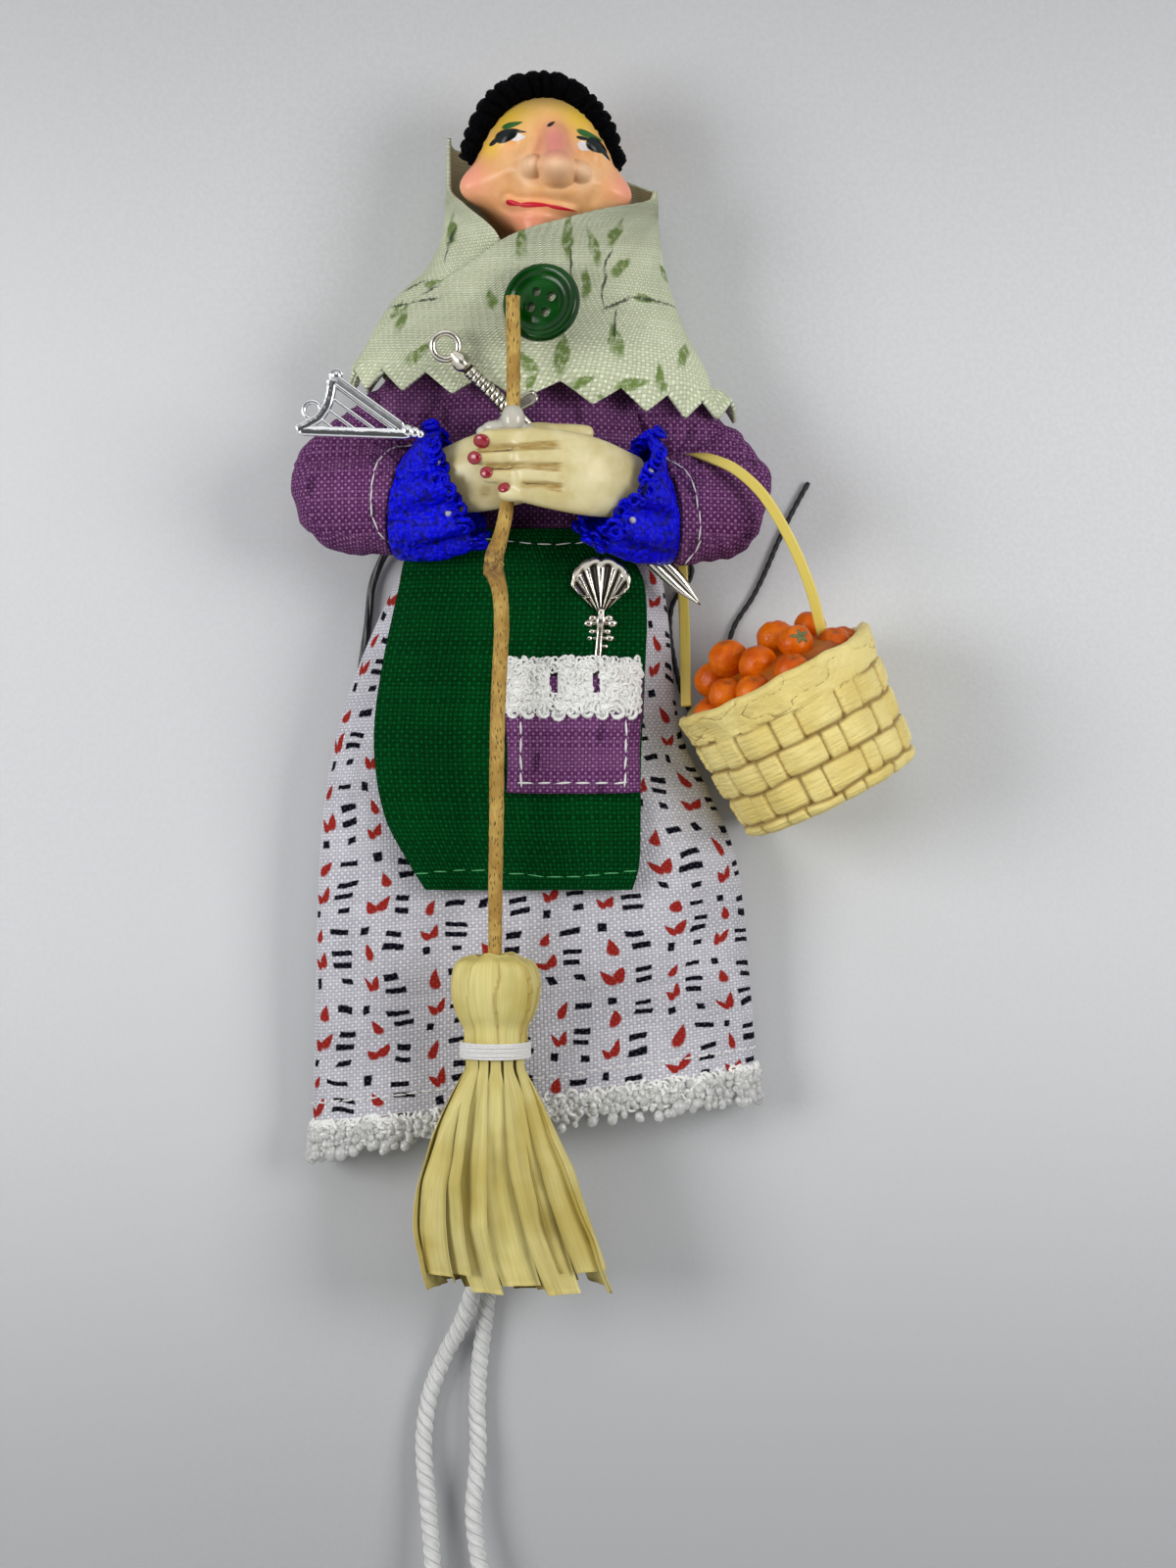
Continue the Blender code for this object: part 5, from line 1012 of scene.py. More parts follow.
purpleCloth = clothMaterial("purpleTwill", 0.00052, 2.0, (0.024, 0.003, 0.024), (0.098, 0.024, 0.098),
                            (0.430, 0.200, 0.420), 0.00016, prints=purplePrint, highlightFleck=0.6)
scarfCloth = clothMaterial("scarfCloth", 0.00050, 2.0, (0.30, 0.33, 0.180), (0.58, 0.620, 0.420),
                           (0.92, 0.96, 0.76), 0.00016, prints=scarfPrint, highlightFleck=0.5)
skirtCloth = clothMaterial("skirtCloth", 0.00048, 2.0, (0.24, 0.235, 0.27), (0.50, 0.49, 0.54),
                           (0.95, 0.93, 0.98), 0.00012, prints=skirtPrint, highlightFleck=0.7)
apronCanvas = clothMaterial("apronCanvas", 0.00066, 2.0, (0.000, 0.004, 0.000), (0.000, 0.038, 0.006),
                            (0.001, 0.115, 0.022), 0.00034, wander=0.9, highlightFleck=0.6)
plainCloth = clothMaterial("bodyCalico", 0.00040, 2.0, (0.40, 0.38, 0.33), (0.66, 0.64, 0.58),
                           (0.80, 0.78, 0.72), 0.00010)


def stitchMaterial(name, colour):
    dull = tuple(c * 0.80 for c in colour)
    return mottled(name, 0.5, 5200.0, 3.0, dull, colour, 0.00004, (0.35, 0.7), Specular_IOR_Level=0.3)


whiteThread = stitchMaterial("whiteThread", (0.83, 0.82, 0.80))
greenThread = stitchMaterial("greenThread", (0.10, 0.42, 0.16))
whiteLaceThread = stitchMaterial("whiteLaceThread", (0.95, 0.95, 0.92))


def dropMaterial():
    material, tree = startMaterial("clearDrops", 0.04, IOR=1.46, Transmission_Weight=0.62, Coat_Weight=0.6,
                                   Coat_Roughness=0.03)
    milk = cloud(tree, coordinates(tree, "Object"), 900.0, 2.0)
    return endMaterial(material, mix(tree, ramp(tree, milk, 0.4, 0.65), (0.98, 0.98, 0.97),
                                     (0.90, 0.90, 0.87)))


clearDrop = dropMaterial()

# skirt
skirtSettings = {
    "topY": 0.0125, "length": 0.0825, "halfWidth": 0.0342, "depth": 0.0160, "slope": 0.132, "fold": 0.0007,
    "folds": 9, "thick": 0.0006, "rows": 146, "columns": 320, "clearance": 0.0012, "floorCut": 0.0005,
    "seamShare": 0.962, "stitch": (0.0021, 0.0021, 0.00030),
    "shares": ((0.00, -0.55, 0.535, 0.94), (0.13, -0.71, 0.580, 1.00), (0.27, -0.85, 0.610, 1.00),
               (0.36, -0.91, 0.650, 1.00), (0.47, -0.95, 0.770, 0.98), (0.60, -0.97, 0.885, 0.95),
               (0.86, -0.99, 0.950, 0.82), (1.00, -1.00, 0.975, 0.76)),
}
basketSettings = {
    "rim": np.array((0.0352, -0.0068, 0.0157)), "turn": math.radians(27), "pitch": math.radians(4.7),
    "rimRadius": 0.0154, "baseRadius": 0.0136, "height": 0.0200, "wall": 0.0017, "floor": 0.0020,
}


def basketWays():
    turn = Matrix.Rotation(basketSettings["turn"], 3, "Z") @ Matrix.Rotation(basketSettings["pitch"], 3, "X")
    return [np.array(turn @ Vector(w)) for w in ((0, 1, 0), (1, 0, 0), (0, 0, 1))]


def basketRadius(depth):
    s = basketSettings
    return s["rimRadius"] + (s["baseRadius"] - s["rimRadius"]) * depth / s["height"]


def pressedIn(points):
    # how far the basket pushes a point of the skirt to the left
    axis, across, rise = basketWays()
    room, height = skirtSettings["clearance"], basketSettings["height"]
    fromRim = points - basketSettings["rim"]
    depth, high = -(fromRim @ axis), fromRim @ rise
    reach = basketRadius(depth) + room
    inside = (depth > -room) & (depth < height + room) & (np.abs(high) < reach)
    half = np.sqrt(np.maximum(reach * reach - high * high, 0))
    return np.where(inside, np.maximum(0, fromRim @ across + half) / across[0], 0)


def sectionPoint(left, right, deep, angle, inset, power=2.4, lift=0.0):
    cut = skirtSettings["floorCut"]
    c, s = np.cos(angle), np.sin(angle)
    half, halfDeep = (right - left) / 2 - inset, (deep + cut) / 2 - inset
    x = (left + right) / 2 + half * np.sign(c) * np.abs(c) ** (2 / power)
    z = (deep - cut) / 2 + halfDeep * np.sign(s) * np.abs(s) ** (2 / power)
    return x, np.maximum(z, inset) + lift


def skirtGrid(t, angle, inset, drop=0.0):
    s = skirtSettings
    t, angle = t[:, None], angle[None, :]
    left, right, deep = np.moveaxis(along(s["shares"], t), -1, 0)
    x, z = sectionPoint(left * s["halfWidth"], right * s["halfWidth"], deep * s["depth"], angle, inset)
    front = np.maximum(0, np.sin(angle))
    fold = s["fold"] * t * np.sin(s["folds"] * angle) * front
    soft = ripple(x / 0.011, t * 2.2 + 3, 21) * 0.00055 * np.sin(np.pi * np.minimum(t * 1.3,
                                                                                    1)) * front ** 0.5
    y = s["topY"] - s["length"] * t - drop + x * s["slope"] * t
    points = np.stack(np.broadcast_arrays(x, y, z + fold + soft), -1)
    wideX, wideZ = sectionPoint(left * s["halfWidth"], right * s["halfWidth"], deep * s["depth"], angle, 0.0)
    points[..., 0] -= pressedIn(np.stack(np.broadcast_arrays(wideX, y, wideZ), -1))
    points[..., 2] = np.maximum(points[..., 2], inset)
    return points


def skirtTop(x, y):
    s = skirtSettings
    t = np.clip((s["topY"] - y) / s["length"], 0, 1)
    t = np.clip((s["topY"] - y + x * s["slope"] * t) / s["length"], 0, 1)
    left, right, deep = np.moveaxis(along(s["shares"], t), -1, 0)
    half, middle = (right - left) * s["halfWidth"] / 2, (right + left) * s["halfWidth"] / 2
    across = np.minimum(1, np.abs(x - middle) / half)
    deep = deep * s["depth"]
    rise = (1 - across ** 2.4) ** (1 / 2.4)
    return (deep - s["floorCut"]) / 2 + (deep + s["floorCut"]) / 2 * rise + s["fold"] * t


def makeSkirt(s):
    angle = roundTurn(s["columns"])
    grid = skirtGrid(np.linspace(0, 1, s["rows"]), angle, 0.0)
    skirt = clothPiece("skirtCloth", grid, s["thick"], skirtCloth, wrap=True)
    finishPiece(skirt, "doll", ("skirt",))
    seam = skirtGrid(np.array([s["seamShare"]]), np.linspace(0, math.tau, 400), -0.00012)[0]
    seam[:, 2] = np.maximum(seam[:, 2], 0.0002)
    line = sew("hemStitches", seam, s["stitch"], 4, whiteThread)
    finishPiece(line, "doll")
    print("skirt made")
    made = makeHemLace(hemSettings)
    declareSheet(skirt, grid, wrap=True)


hemSettings = {
    # rows of loops and of drops: how far under the hem, and how many
    "loopRows": ((0.0002, 300), (0.0009, 300), (0.0016, 290), (0.0023, 270), (0.0030, 210)),
    "loop": (0.00060, 0.00024, 0.45, 0.3), "lieFlat": 0.0012, "tableLift": 0.00040,
    "beadRows": ((0.0012, 230), (0.0022, 240), (0.0032, 230), (0.0042, 120)), "beadRadius": 0.00056,
    "dropRows": ((0.0046, 60),), "dropRadius": 0.00092, "stretch": 1.12, "spread": 0.3,
    "legsAt": -0.006, "legsHalf": 0.0125, "legsHigh": 0.005,
}


def makeHemLace(s):
    # loops of white thread under the hem, then clear drops that hang from them
    random = np.random.default_rng(7)
    points, aims = [], []
    for drop, count in s["loopRows"]:
        angle = roundTurn(count) + random.uniform(0, 0.03, count)
        ring = skirtGrid(np.array([1.0]), angle, 0.0002, drop)[0]
        ahead = np.roll(ring, -1, 0) - np.roll(ring, 1, 0)
        out = unit(np.cross(ahead, yWay)) * -1
        ring[:, 1] += random.uniform(-0.0003, 0.0003, count)
        # the back rows lie flat on the table, under the legs
        flat = ring[:, 2] < s["lieFlat"]
        aim = out + random.normal(0, 0.35, (count, 3))
        aim[flat] = zWay + random.normal(0, 0.06, (flat.sum(), 3))
        ring[:, 2] = np.where(flat, s["tableLift"], np.maximum(ring[:, 2], 0.00085))
        points.append(ring)
        aims.append(aim)
    drops, angle = np.linspace(-0.0004, 0.0026, 8), roundTurn(500)
    grid = np.stack([skirtGrid(np.array([1.0]), angle, 0.0003, drop)[0] for drop in drops])
    grid += unit(np.stack([grid[..., 0], grid[..., 1] * 0, grid[..., 2] - 0.008], -1)) * (
        ripple(angle[None, :] * 16, drops[:, None] / 0.001, 63) * 0.0002)[..., None]
    band = clothPiece("hemLaceBand", grid, 0.0003, whiteLaceThread, wrap=True)
    finishPiece(band, "doll")
    lace = knit("hemLace", np.concatenate(points), np.concatenate(aims), s["loop"], 3, whiteLaceThread)
    finishPiece(lace, "doll", ("skirt_hem_lace",))
    made = [band, lace]
    for name, rows, radius in (("hemBeads", s["beadRows"], s["beadRadius"]),
                               ("hemDrops", s["dropRows"], s["dropRadius"])):
        hung, hangs = [], []
        for drop, count in rows:
            angle = roundTurn(count) + random.uniform(0, 0.04, count)
            ring = skirtGrid(np.array([1.0]), angle, -0.0003, drop)[0]
            ring[:, 1] += random.uniform(-0.0007, 0.0006, count)
            ring[:, 2] = np.maximum(ring[:, 2] + random.uniform(-0.0003, 0.0004, count), 0.0010)
            # none behind, where the legs come out
            legs = (ring[:, 2] < s["legsHigh"]) & (np.abs(ring[:, 0] - s["legsAt"]) < s["legsHalf"])
            keep = (random.uniform(0, 1, count) < 0.85) & ~legs
            hung.append(ring[keep])
            hangs.append(np.tile(-yWay, (keep.sum(), 1)) + random.normal(0, 0.25, (keep.sum(), 3)))
        sizes = (radius, s["stretch"], s["spread"])
        drops = hangDrops(name, np.concatenate(hung), np.concatenate(hangs), sizes, 9)
        made.append(finishPiece(drops, "doll"))
    print("hem lace made")
    return made


makeSkirt(skirtSettings)

# apron and pocket
apronSettings = {
    "topY": 0.0150, "length": 0.0535, "halfWidth": 0.0198, "centreX": -0.0040, "lift": 0.0009,
    "thick": 0.0008,
    "stitch": (0.0027, 0.0024, 0.00022), "frays": 46,
    "shares": ((0.00, -0.58, 0.66), (0.06, -0.74, 0.86), (0.16, -0.81, 1.00), (0.45, -0.97, 1.00),
               (0.62, -1.00, 0.98), (0.80, -0.92, 0.98), (0.93, -0.74, 0.97), (1.00, -0.62, 0.92)),
}
pocketSettings = {
    "topY": -0.0117, "length": 0.0124, "width": 0.0197, "centreX": 0.0055, "bulge": 0.0014, "thick": 0.0008,
    "laceRise": 0.0074, "laceDrop": 0.0014, "gap": 0.0003, "behindLace": 0.0048,
    "stitch": (0.0024, 0.0023, 0.00036), "stitchInset": 0.0022, "stitchAboveFoot": 0.0014,
    # crochet loops in rows and columns, with slots through the band, and picots in nine places
    "laceRows": 13, "laceColumns": 42, "slotRows": (3, 8), "slots": ((0.305, 0.405), (0.625, 0.720)),
    "blocks": ((0.00, 0.325), (0.385, 0.645), (0.700, 1.00)), "loop": (0.00046, 0.00020, 0.6, 0.3),
    "picots": (0.7, 1, 0.7, 1.5, 0.9, 0.8, 1.5, 0.9, 0.9), "picot": (0.00072, 0.00022, 0.12, 0.18),
    "drop": (0.00055, 1.0, 0.2),
}


def apronGrid(u, v, lift=0.0):
    s = apronSettings
    u, v = np.meshgrid(u, v)
    left, right = np.moveaxis(along(s["shares"], v), -1, 0)
    x = s["centreX"] + s["halfWidth"] * (left + (right - left) * u)
    y = s["topY"] - s["length"] * v
    edge = np.minimum(np.minimum(u, 1 - u) * 9, (1 - v) * 12)
    soft = ripple(u * 3.2 + v, v * 3.0 + 2, 33) * 0.00030 - 0.0004 * bell(edge)
    return np.stack([x, y, skirtTop(x, y) + s["lift"] + s["thick"] + lift + soft], -1)


def pocketPoint(x, y, layers):
    s = pocketSettings
    share = np.minimum(1, np.abs(x - s["centreX"]) / (s["width"] / 2))
    down = np.clip((s["topY"] - y) / s["length"], 0, 1)
    bulge = s["bulge"] * (1 - share ** 3) * (1 - down ** 2)
    lifted = s["gap"] + bulge + layers * (s["thick"] + s["gap"] * 2)
    front = skirtTop(x, y) + apronSettings["lift"] + apronSettings["thick"]
    return np.stack(np.broadcast_arrays(x, y, front + lifted), -1)


def makeApron(s):
    grid = apronGrid(np.linspace(0, 1, 110), np.linspace(0, 1, 150))
    apron = clothPiece("apronCloth", grid, s["thick"], apronCanvas)
    finishPiece(apron, "doll", ("apron",))
    front, extras = surfaceTree(apron), []
    seams = ((0.035, whiteThread, 0.0, 1.0), (0.955, greenThread, 0.03, 0.97))
    for number, (v, thread, low, high) in enumerate(seams):
        line = apronGrid(np.linspace(low, high, 60), np.array([v]))[0]
        line[:, 1] += 0.0005 * np.sin(np.linspace(0, 7, 60))
        seam = sew(f"apronStitches{number + 1}", laidOn(front, line, stitchLift), s["stitch"], number,
                   thread)
        extras.append(finishPiece(seam, "doll"))
    frays = []
    random = np.random.default_rng(5)
    for k in range(s["frays"]):
        v = random.uniform(0.1, 0.95)
        start = apronGrid(np.array([random.choice((0.0, 1.0))]), np.array([v]), -0.0004)[0, 0]
        way = np.array((random.choice((-1, 1)) * 0.0002, random.uniform(-0.0006, 0.0006),
                        random.uniform(0, 0.0002)))
        path = np.stack([start + way * q + xWay * 0.00015 * math.sin(q * 3 + k) for q in np.linspace(-1, 1.2,
                                                                                                     6)])
        frays.append(loftMesh(sweep(path, (0.00005, 0.00005), 4)))
    fray = newPiece("apronFrays", *joinMeshes(frays)[:2], greenThread)
    extras.append(finishPiece(fray, "doll"))
    declareSheet(apron, grid)
    print("apron made")


def makePocket(s):
    left, bottom = s["centreX"] - s["width"] / 2, s["topY"] - s["length"]
    x, y = np.meshgrid(np.linspace(left, left + s["width"], 70),
                       np.linspace(s["topY"] + s["behindLace"], bottom, 60))
    across = (x - s["centreX"]) / (s["width"] / 2)
    grid = pocketPoint(x, y, 0) + zWay * s["thick"]
    grid[..., 0] -= across * 0.0004 * np.sin(np.pi * np.clip((s["topY"] - y) / s["length"], 0, 1))
    grid[..., 2] += ripple(x / 0.006, y / 0.006, 12) * 0.00012
    pocket = clothPiece("pocketCloth", grid, s["thick"], purpleCloth)
    finishPiece(pocket, "doll", ("apron_pocket",))
    inset, foot = s["stitchInset"], bottom + s["stitchAboveFoot"]
    corners = np.array(((left + inset, s["topY"]), (left + inset, foot), (left + s["width"] - inset, foot),
                        (left + s["width"] - inset * 0.9, s["topY"])))
    front, seams = surfaceTree(pocket), []
    for number, (a, b) in enumerate(zip(corners, corners[1:])):
        line = laidOn(front, a + (b - a) * np.linspace(0.04, 0.96, 30)[:, None], stitchLift)
        seam = sew(f"pocketStitches{number + 1}", line, s["stitch"], number + 11, whiteThread)
        seams.append(finishPiece(seam, "doll"))
    declareSheet(pocket, grid)
    makePocketLace(s, left)
    print("pocket made")


def makePocketLace(s, left):
    # a crochet edging: three blocks of loops with slots between, and picots below
    random = np.random.default_rng(17)
    high, low = s["topY"] + s["laceRise"], s["topY"] - s["laceDrop"]
    points, aims = [], []
    firstRow, lastRow = s["slotRows"]
    for row, y in enumerate(np.linspace(high - 0.0004, low + 0.0012, s["laceRows"])):
        for x in np.linspace(left + 0.0001, left + s["width"] - 0.0001, s["laceColumns"]):
            share = (x - left) / s["width"]
            if firstRow <= row <= lastRow and any(near < share < far for near, far in s["slots"]):
                continue
            flat = (x + random.uniform(-0.00025, 0.00025), y + random.uniform(-0.00025, 0.00025))
            points.append(pocketPoint(*flat, 1) + zWay * (0.0004 + random.uniform(-0.0002, 0.0003)))
            aims.append(zWay + random.normal(0, 0.4, 3))
    for k, (near, far) in enumerate(s["blocks"]):
        x, y = np.meshgrid(left + s["width"] * np.linspace(near, far, 20),
                           np.linspace(high - 0.0007, low + 0.0012, 24))
        y += ripple(x / 0.0012, y / 0.0012, 61 + k) * 0.00025
        grid = pocketPoint(x, y, 1) + zWay * 0.0003
        finishPiece(clothPiece(f"pocketLaceBand{k + 1}", grid, 0.0003, whiteLaceThread), "doll")
    lace = knit("pocketLaceLoops", points, aims, s["loop"], 21, whiteLaceThread)
    finishPiece(lace, "doll", ("pocket_lace",))
    points, aims, sizes = [], [], np.repeat(s["picots"], 5)
    for x, size in zip(np.repeat(np.linspace(left + 0.0012, left + s["width"] - 0.0012, len(s["picots"])),
                                 5), sizes):
        jitter = random.normal(0, 0.00008, 2)
        place = pocketPoint(x + jitter[0], low + 0.0007 + jitter[1] - 0.0004 * (size - 1), 1) + zWay * 0.0003
        points.append(place)
        aims.append(zWay + random.normal(0, 0.12, 3))
    finishPiece(knit("pocketPicots", points, aims, s["picot"], 5, whiteLaceThread), "doll")
    beads = [p for p, size in zip(points, sizes) if size > 1.2][::2]
    clear = hangDrops("pocketDrops", beads, np.tile(zWay, (len(beads), 1)), s["drop"], 2)
    finishPiece(clear, "doll")


makeApron(apronSettings)
makePocket(pocketSettings)


# bodice and body
bodiceSettings = {
    "topY": 0.0470, "length": 0.0380, "halfWidth": 0.0182, "depth": 0.0190, "lift": 0.0011, "thick": 0.0006,
    "rows": 90, "columns": 200,
    "shares": ((0.00, -0.52, 0.52, 0.80), (0.20, -0.84, 0.84, 0.94), (0.48, -0.94, 0.94, 0.97),
               (0.66, -0.91, 0.91, 0.86), (0.82, -0.90, 0.90, 0.73), (1.00, -0.88, 0.88, 0.69)),
}
torsoSettings = {
    "topY": 0.0455, "length": 0.0700, "halfWidth": 0.0150, "halfDepth": 0.0054, "centreZ": 0.0078,
    "shares": ((0.00, 0.30, 0.50), (0.06, 0.66, 0.80), (0.22, 0.92, 1.00), (0.38, 0.94, 0.88),
               (0.50, 0.93, 0.72), (0.90, 0.90, 0.72), (1.00, 0.75, 0.60)),
}


def makeBodice(s):
    t = np.linspace(0, 1, s["rows"])[:, None]
    angle = roundTurn(s["columns"])[None, :]
    left, right, deep = np.moveaxis(along(s["shares"], t), -1, 0)
    deep = deep * s["depth"] - s["lift"]
    x, z = sectionPoint(left * s["halfWidth"], right * s["halfWidth"], deep, angle, 0.0, lift=s["lift"])
    y = s["topY"] - s["length"] * t + 0 * angle
    front = np.maximum(0, np.sin(angle))
    folds = ripple(x / 0.0032 + y / 0.018, y / 0.016 + 4, 8) * 0.00045 * front * np.minimum(1, t * 3)
    grid = np.stack([x, y, z + folds], -1)
    bodice = clothPiece("bodiceCloth", grid, s["thick"], purpleCloth, wrap=True)
    finishPiece(bodice, "doll", ("bodice",))
    declareSheet(bodice, grid, wrap=True)
    print("bodice made")


def makeTorso(s):
    t = np.linspace(0, 1, 60)
    wide, deep = np.moveaxis(along(s["shares"], t), -1, 0)
    rings = [oval((0, s["topY"] - s["length"] * q, s["centreZ"]), xWay, zWay, s["halfWidth"] * w,
                  s["halfDepth"] * d, 90)
             for q, w, d in zip(t, wide, deep)]
    rings = np.stack(rings)
    lumps = ripple(rings[..., 0] / 0.007 + 3, rings[..., 1] / 0.007, 14) * 0.0002
    rings[..., 2] += lumps * np.sign(rings[..., 2] - s["centreZ"])
    torso = loftPiece("torsoBody", rings, plainCloth)
    finishPiece(torso, "doll", ("torso_core",))
    print("body made")


makeTorso(torsoSettings)
makeBodice(bodiceSettings)

# sleeves and cuffs
sleeveSettings = {
    "endHigh": 0.0079, "endDeep": 0.0073, "arm": 0.0060, "elbow": 0.0080, "voxel": 0.00034, "smooth": 5,
    "wrinkle": 0.00042, "stitch": (0.0022, 0.0024, 0.00026), "stitchLift": 0.0001,
}
arms = {
    "left": {"shoulder": (-14.6, 37.2, 9.5), "upper": (-21.6, 31.2, 10.0), "elbow": (-29.8, 20.5, 11.2),
             "bend": (-23.6, 19.3, 15.4),
             "end": (-19.5, 18.6, 16.7), "wrist": (-12.7, 20.9, 20.8),
             "seam": ((-17.6, 28.0), (-21.2, 26.6), (-23.4, 23.4), (-23.9, 19.2), (-23.7, 16.1),
                      (-22.2, 13.2), (-18.0, 10.8))},
    "right": {"shoulder": (14.6, 36.8, 9.5), "upper": (21.4, 30.2, 10.0), "elbow": (28.1, 19.4, 11.2),
              "bend": (22.9, 18.2, 15.3), "end": (18.9, 17.5, 16.8), "wrist": (13.6, 20.2, 25.0),
              "seam": ((18.7, 25.5), (22.4, 22.3), (23.9, 16.9), (23.9, 12.4), (22.6, 10.4))},
}
for arm in arms.values():
    for key, value in arm.items():
        arm[key] = np.array(value) * mm


def limbMesh(path, halves, count=40, steps=36):
    table = np.column_stack([np.linspace(0, 1, len(path)), np.array(path), np.array(halves)])
    rows = along(table, np.linspace(0, 1, steps))
    return loftMesh(sweep(rows[:, :3], rows[:, 3:], count))


def makeSleeve(side, arm, s):
    elbow, r = arm["elbow"], s["elbow"]
    away, into = unit(elbow - arm["upper"]), unit(elbow - arm["bend"])
    parts = [
        limbMesh([arm["shoulder"], arm["upper"], elbow, elbow + away * r * 0.85],
                 [(s["arm"] * 0.9,) * 2, (s["arm"],) * 2, (r, r), (r * 0.25,) * 2]),
        limbMesh([arm["end"], arm["bend"], elbow, elbow + into * r * 0.85],
                 [(s["endHigh"], s["endDeep"]), (s["endHigh"] * 1.04, s["endDeep"] * 1.04), (r, r),
                  (r * 0.25,) * 2]),
    ]
    mesh = softSkin(side + "Sleeve", parts, s["voxel"], s["smooth"])
    points, normals = meshPoints(mesh), meshPoints(mesh, "normal")
    inner = (arm["upper"] + arm["end"]) / 2
    away = points[:, :2] - inner[:2]
    turn = np.arctan2(away[:, 1], away[:, 0])
    reach = np.linalg.norm(away, axis=1)
    pleats = ripple(turn * 5.5, reach / 0.016 + points[:, 2] / 0.03, 41 if side == "left" else 47)
    soft = ripple(points[:, 0] / 0.006, points[:, 1] / 0.006 + points[:, 2] / 0.008, 6) * 0.4
    setPoints(mesh, points + normals * ((pleats + soft) * s["wrinkle"])[:, None])
    boxUv(mesh)
    sleeve = addPiece(side + "SleeveCloth", mesh, purpleCloth)
    finishPiece(sleeve, "doll", (side + "_sleeve",))
    seam = routePoints(np.column_stack([arm["seam"], np.zeros(len(arm["seam"]))]), 60)
    line = laidOn(surfaceTree(sleeve), seam, s["stitchLift"])
    finishPiece(sew(side + "SleeveStitches", line, s["stitch"], 3, whiteThread), "doll")
    print(side, "sleeve made")


cuffSettings = {
    "slant": 0.35, "level": 0.60, "ruffle": 0.0011, "ruffles": 9, "gap": 0.0003, "thick": 0.0004,
    "inset": 0.00005, "knot": 0.00022, "rows": 60, "columns": 300, "perRow": 34, "edges": (1.00, 1.05, 1.10),
    "loop": (0.00080, 0.00034, 0.2, 0.25), "bead": (0.00060, 1.0, 0.2),
    "beadTurns": (1.1, 2.0, 4.4), "beadShares": (0.95, 1.05, 0.8),
    "shares": ((0.00, 1.00, 1.00, 1.00, 0.0), (0.28, 1.10, 0.95, 0.72, 0.3), (0.70, 1.16, 0.92, 0.84, 0.8),
               (1.10, 1.12, 0.80, 1.24, 1.0)),
}


def blueLaceMaterial():
    # satin crochet: blue fibres, with painted shade in the hollows between knots and a few holes painted dark
    # as shade
    material, tree = startMaterial("blueLace", 0.30, Specular_IOR_Level=0.13)
    place = coordinates(tree, "Object")
    knots = cells(tree, place, 1150.0)
    fibres, broad = cloud(tree, place, 3300.0, 3.0), cloud(tree, place, 330.0, 2.0)
    tone = mix(tree, ramp(tree, fibres, 0.3, 0.7), (0.000, 0.000, 0.46), (0.000, 0.002, 0.95))
    # painted shade in the hollows between the knots
    tone = mix(tree, ramp(tree, knots, 0.45, 0.85), tone, (0.000, 0.000, 0.20))
    # painted shade: a few holes go nearly black
    tone = mix(tree, ramp(tree, broad, 0.36, 0.29), tone, (0.000, 0.000, 0.055))
    return endMaterial(material, tone, minus(tree, times(tree, fibres, 0.5), knots), 0.00030)


blueLace = blueLaceMaterial()


def cuffPoints(arm, share, angle, inset=0.0):
    s, body = cuffSettings, sleeveSettings
    share, angle = np.broadcast_arrays(share, angle)
    high, above, below, ruffle = np.moveaxis(along(s["shares"], share), -1, 0)
    startWay, endWay = unit(arm["end"] - arm["bend"]), unit(arm["wrist"] - arm["end"])
    way = startWay + (endWay - startWay) * share[..., None]
    way[..., 2] *= 1 - s["level"] * share
    way = unit(way)
    up = unit(zWay - way * way[..., 2:])
    across = np.where(way[..., :1] < 0, np.cross(up, way), np.cross(way, up))
    centre = arm["end"] + startWay * s["gap"] * 2 + (arm["wrist"] - arm["end"]) * share[..., None]
    c, q = np.cos(angle), np.sin(angle)
    wave = s["ruffle"] * ruffle * np.sin(s["ruffles"] * angle) * (0.6 + 0.4 * q) - inset
    deep = body["endDeep"] * np.where(q > 0, above, below * (1 - share * s["slant"] * (1 - c)))
    side = c * (body["endHigh"] * high + wave)
    return centre + across * side[..., None] + up * (q * (deep + wave))[..., None]


def makeCuff(side, arm, s):
    share, angle = np.linspace(0, 1.06, s["rows"])[:, None], roundTurn(s["columns"])
    knots = ripple(angle * 5.2 + share * 2, share * 9, 33) * 0.6 + ripple(angle * 11, share * 17, 35) * 0.5
    grid = cuffPoints(arm, share, angle, s["inset"] - knots * s["knot"])
    cuff = clothPiece(side + "CuffCloth", grid, s["thick"], blueLace, wrap=True)
    finishPiece(cuff, "doll", (side + "_cuff",))
    random = np.random.default_rng(31 if side == "left" else 37)
    points, aims = [], []
    for row, q in enumerate(s["edges"]):
        turn = roundTurn(s["perRow"]) + (row % 2) * math.pi / s["perRow"]
        turn = turn + random.uniform(-0.03, 0.03, s["perRow"])
        here = cuffPoints(arm, np.full(s["perRow"], q), turn, random.uniform(-0.0003, 0.0003, s["perRow"]))
        out = unit(here - cuffPoints(arm, np.full(s["perRow"], q), turn, 0.001))
        points.append(here)
        aims.append(out + random.normal(0, 0.15, out.shape))
    loops = knit(side + "CuffLoops", np.concatenate(points), np.concatenate(aims), s["loop"], 6, blueLace)
    finishPiece(loops, "doll")
    turn = np.array(s["beadTurns"])
    places = cuffPoints(arm, np.array(s["beadShares"]), turn, -0.0005)
    outs = unit(places - cuffPoints(arm, np.full(len(turn), 0.8), turn, 0.002))
    beads = finishPiece(hangDrops(side + "CuffBeads", places, outs, s["bead"], 8), "doll")
    declareSheet(cuff, grid, wrap=True)
    print(side, "cuff made")


for side in arms:
    makeSleeve(side, arms[side], sleeveSettings)
    makeCuff(side, arms[side], cuffSettings)

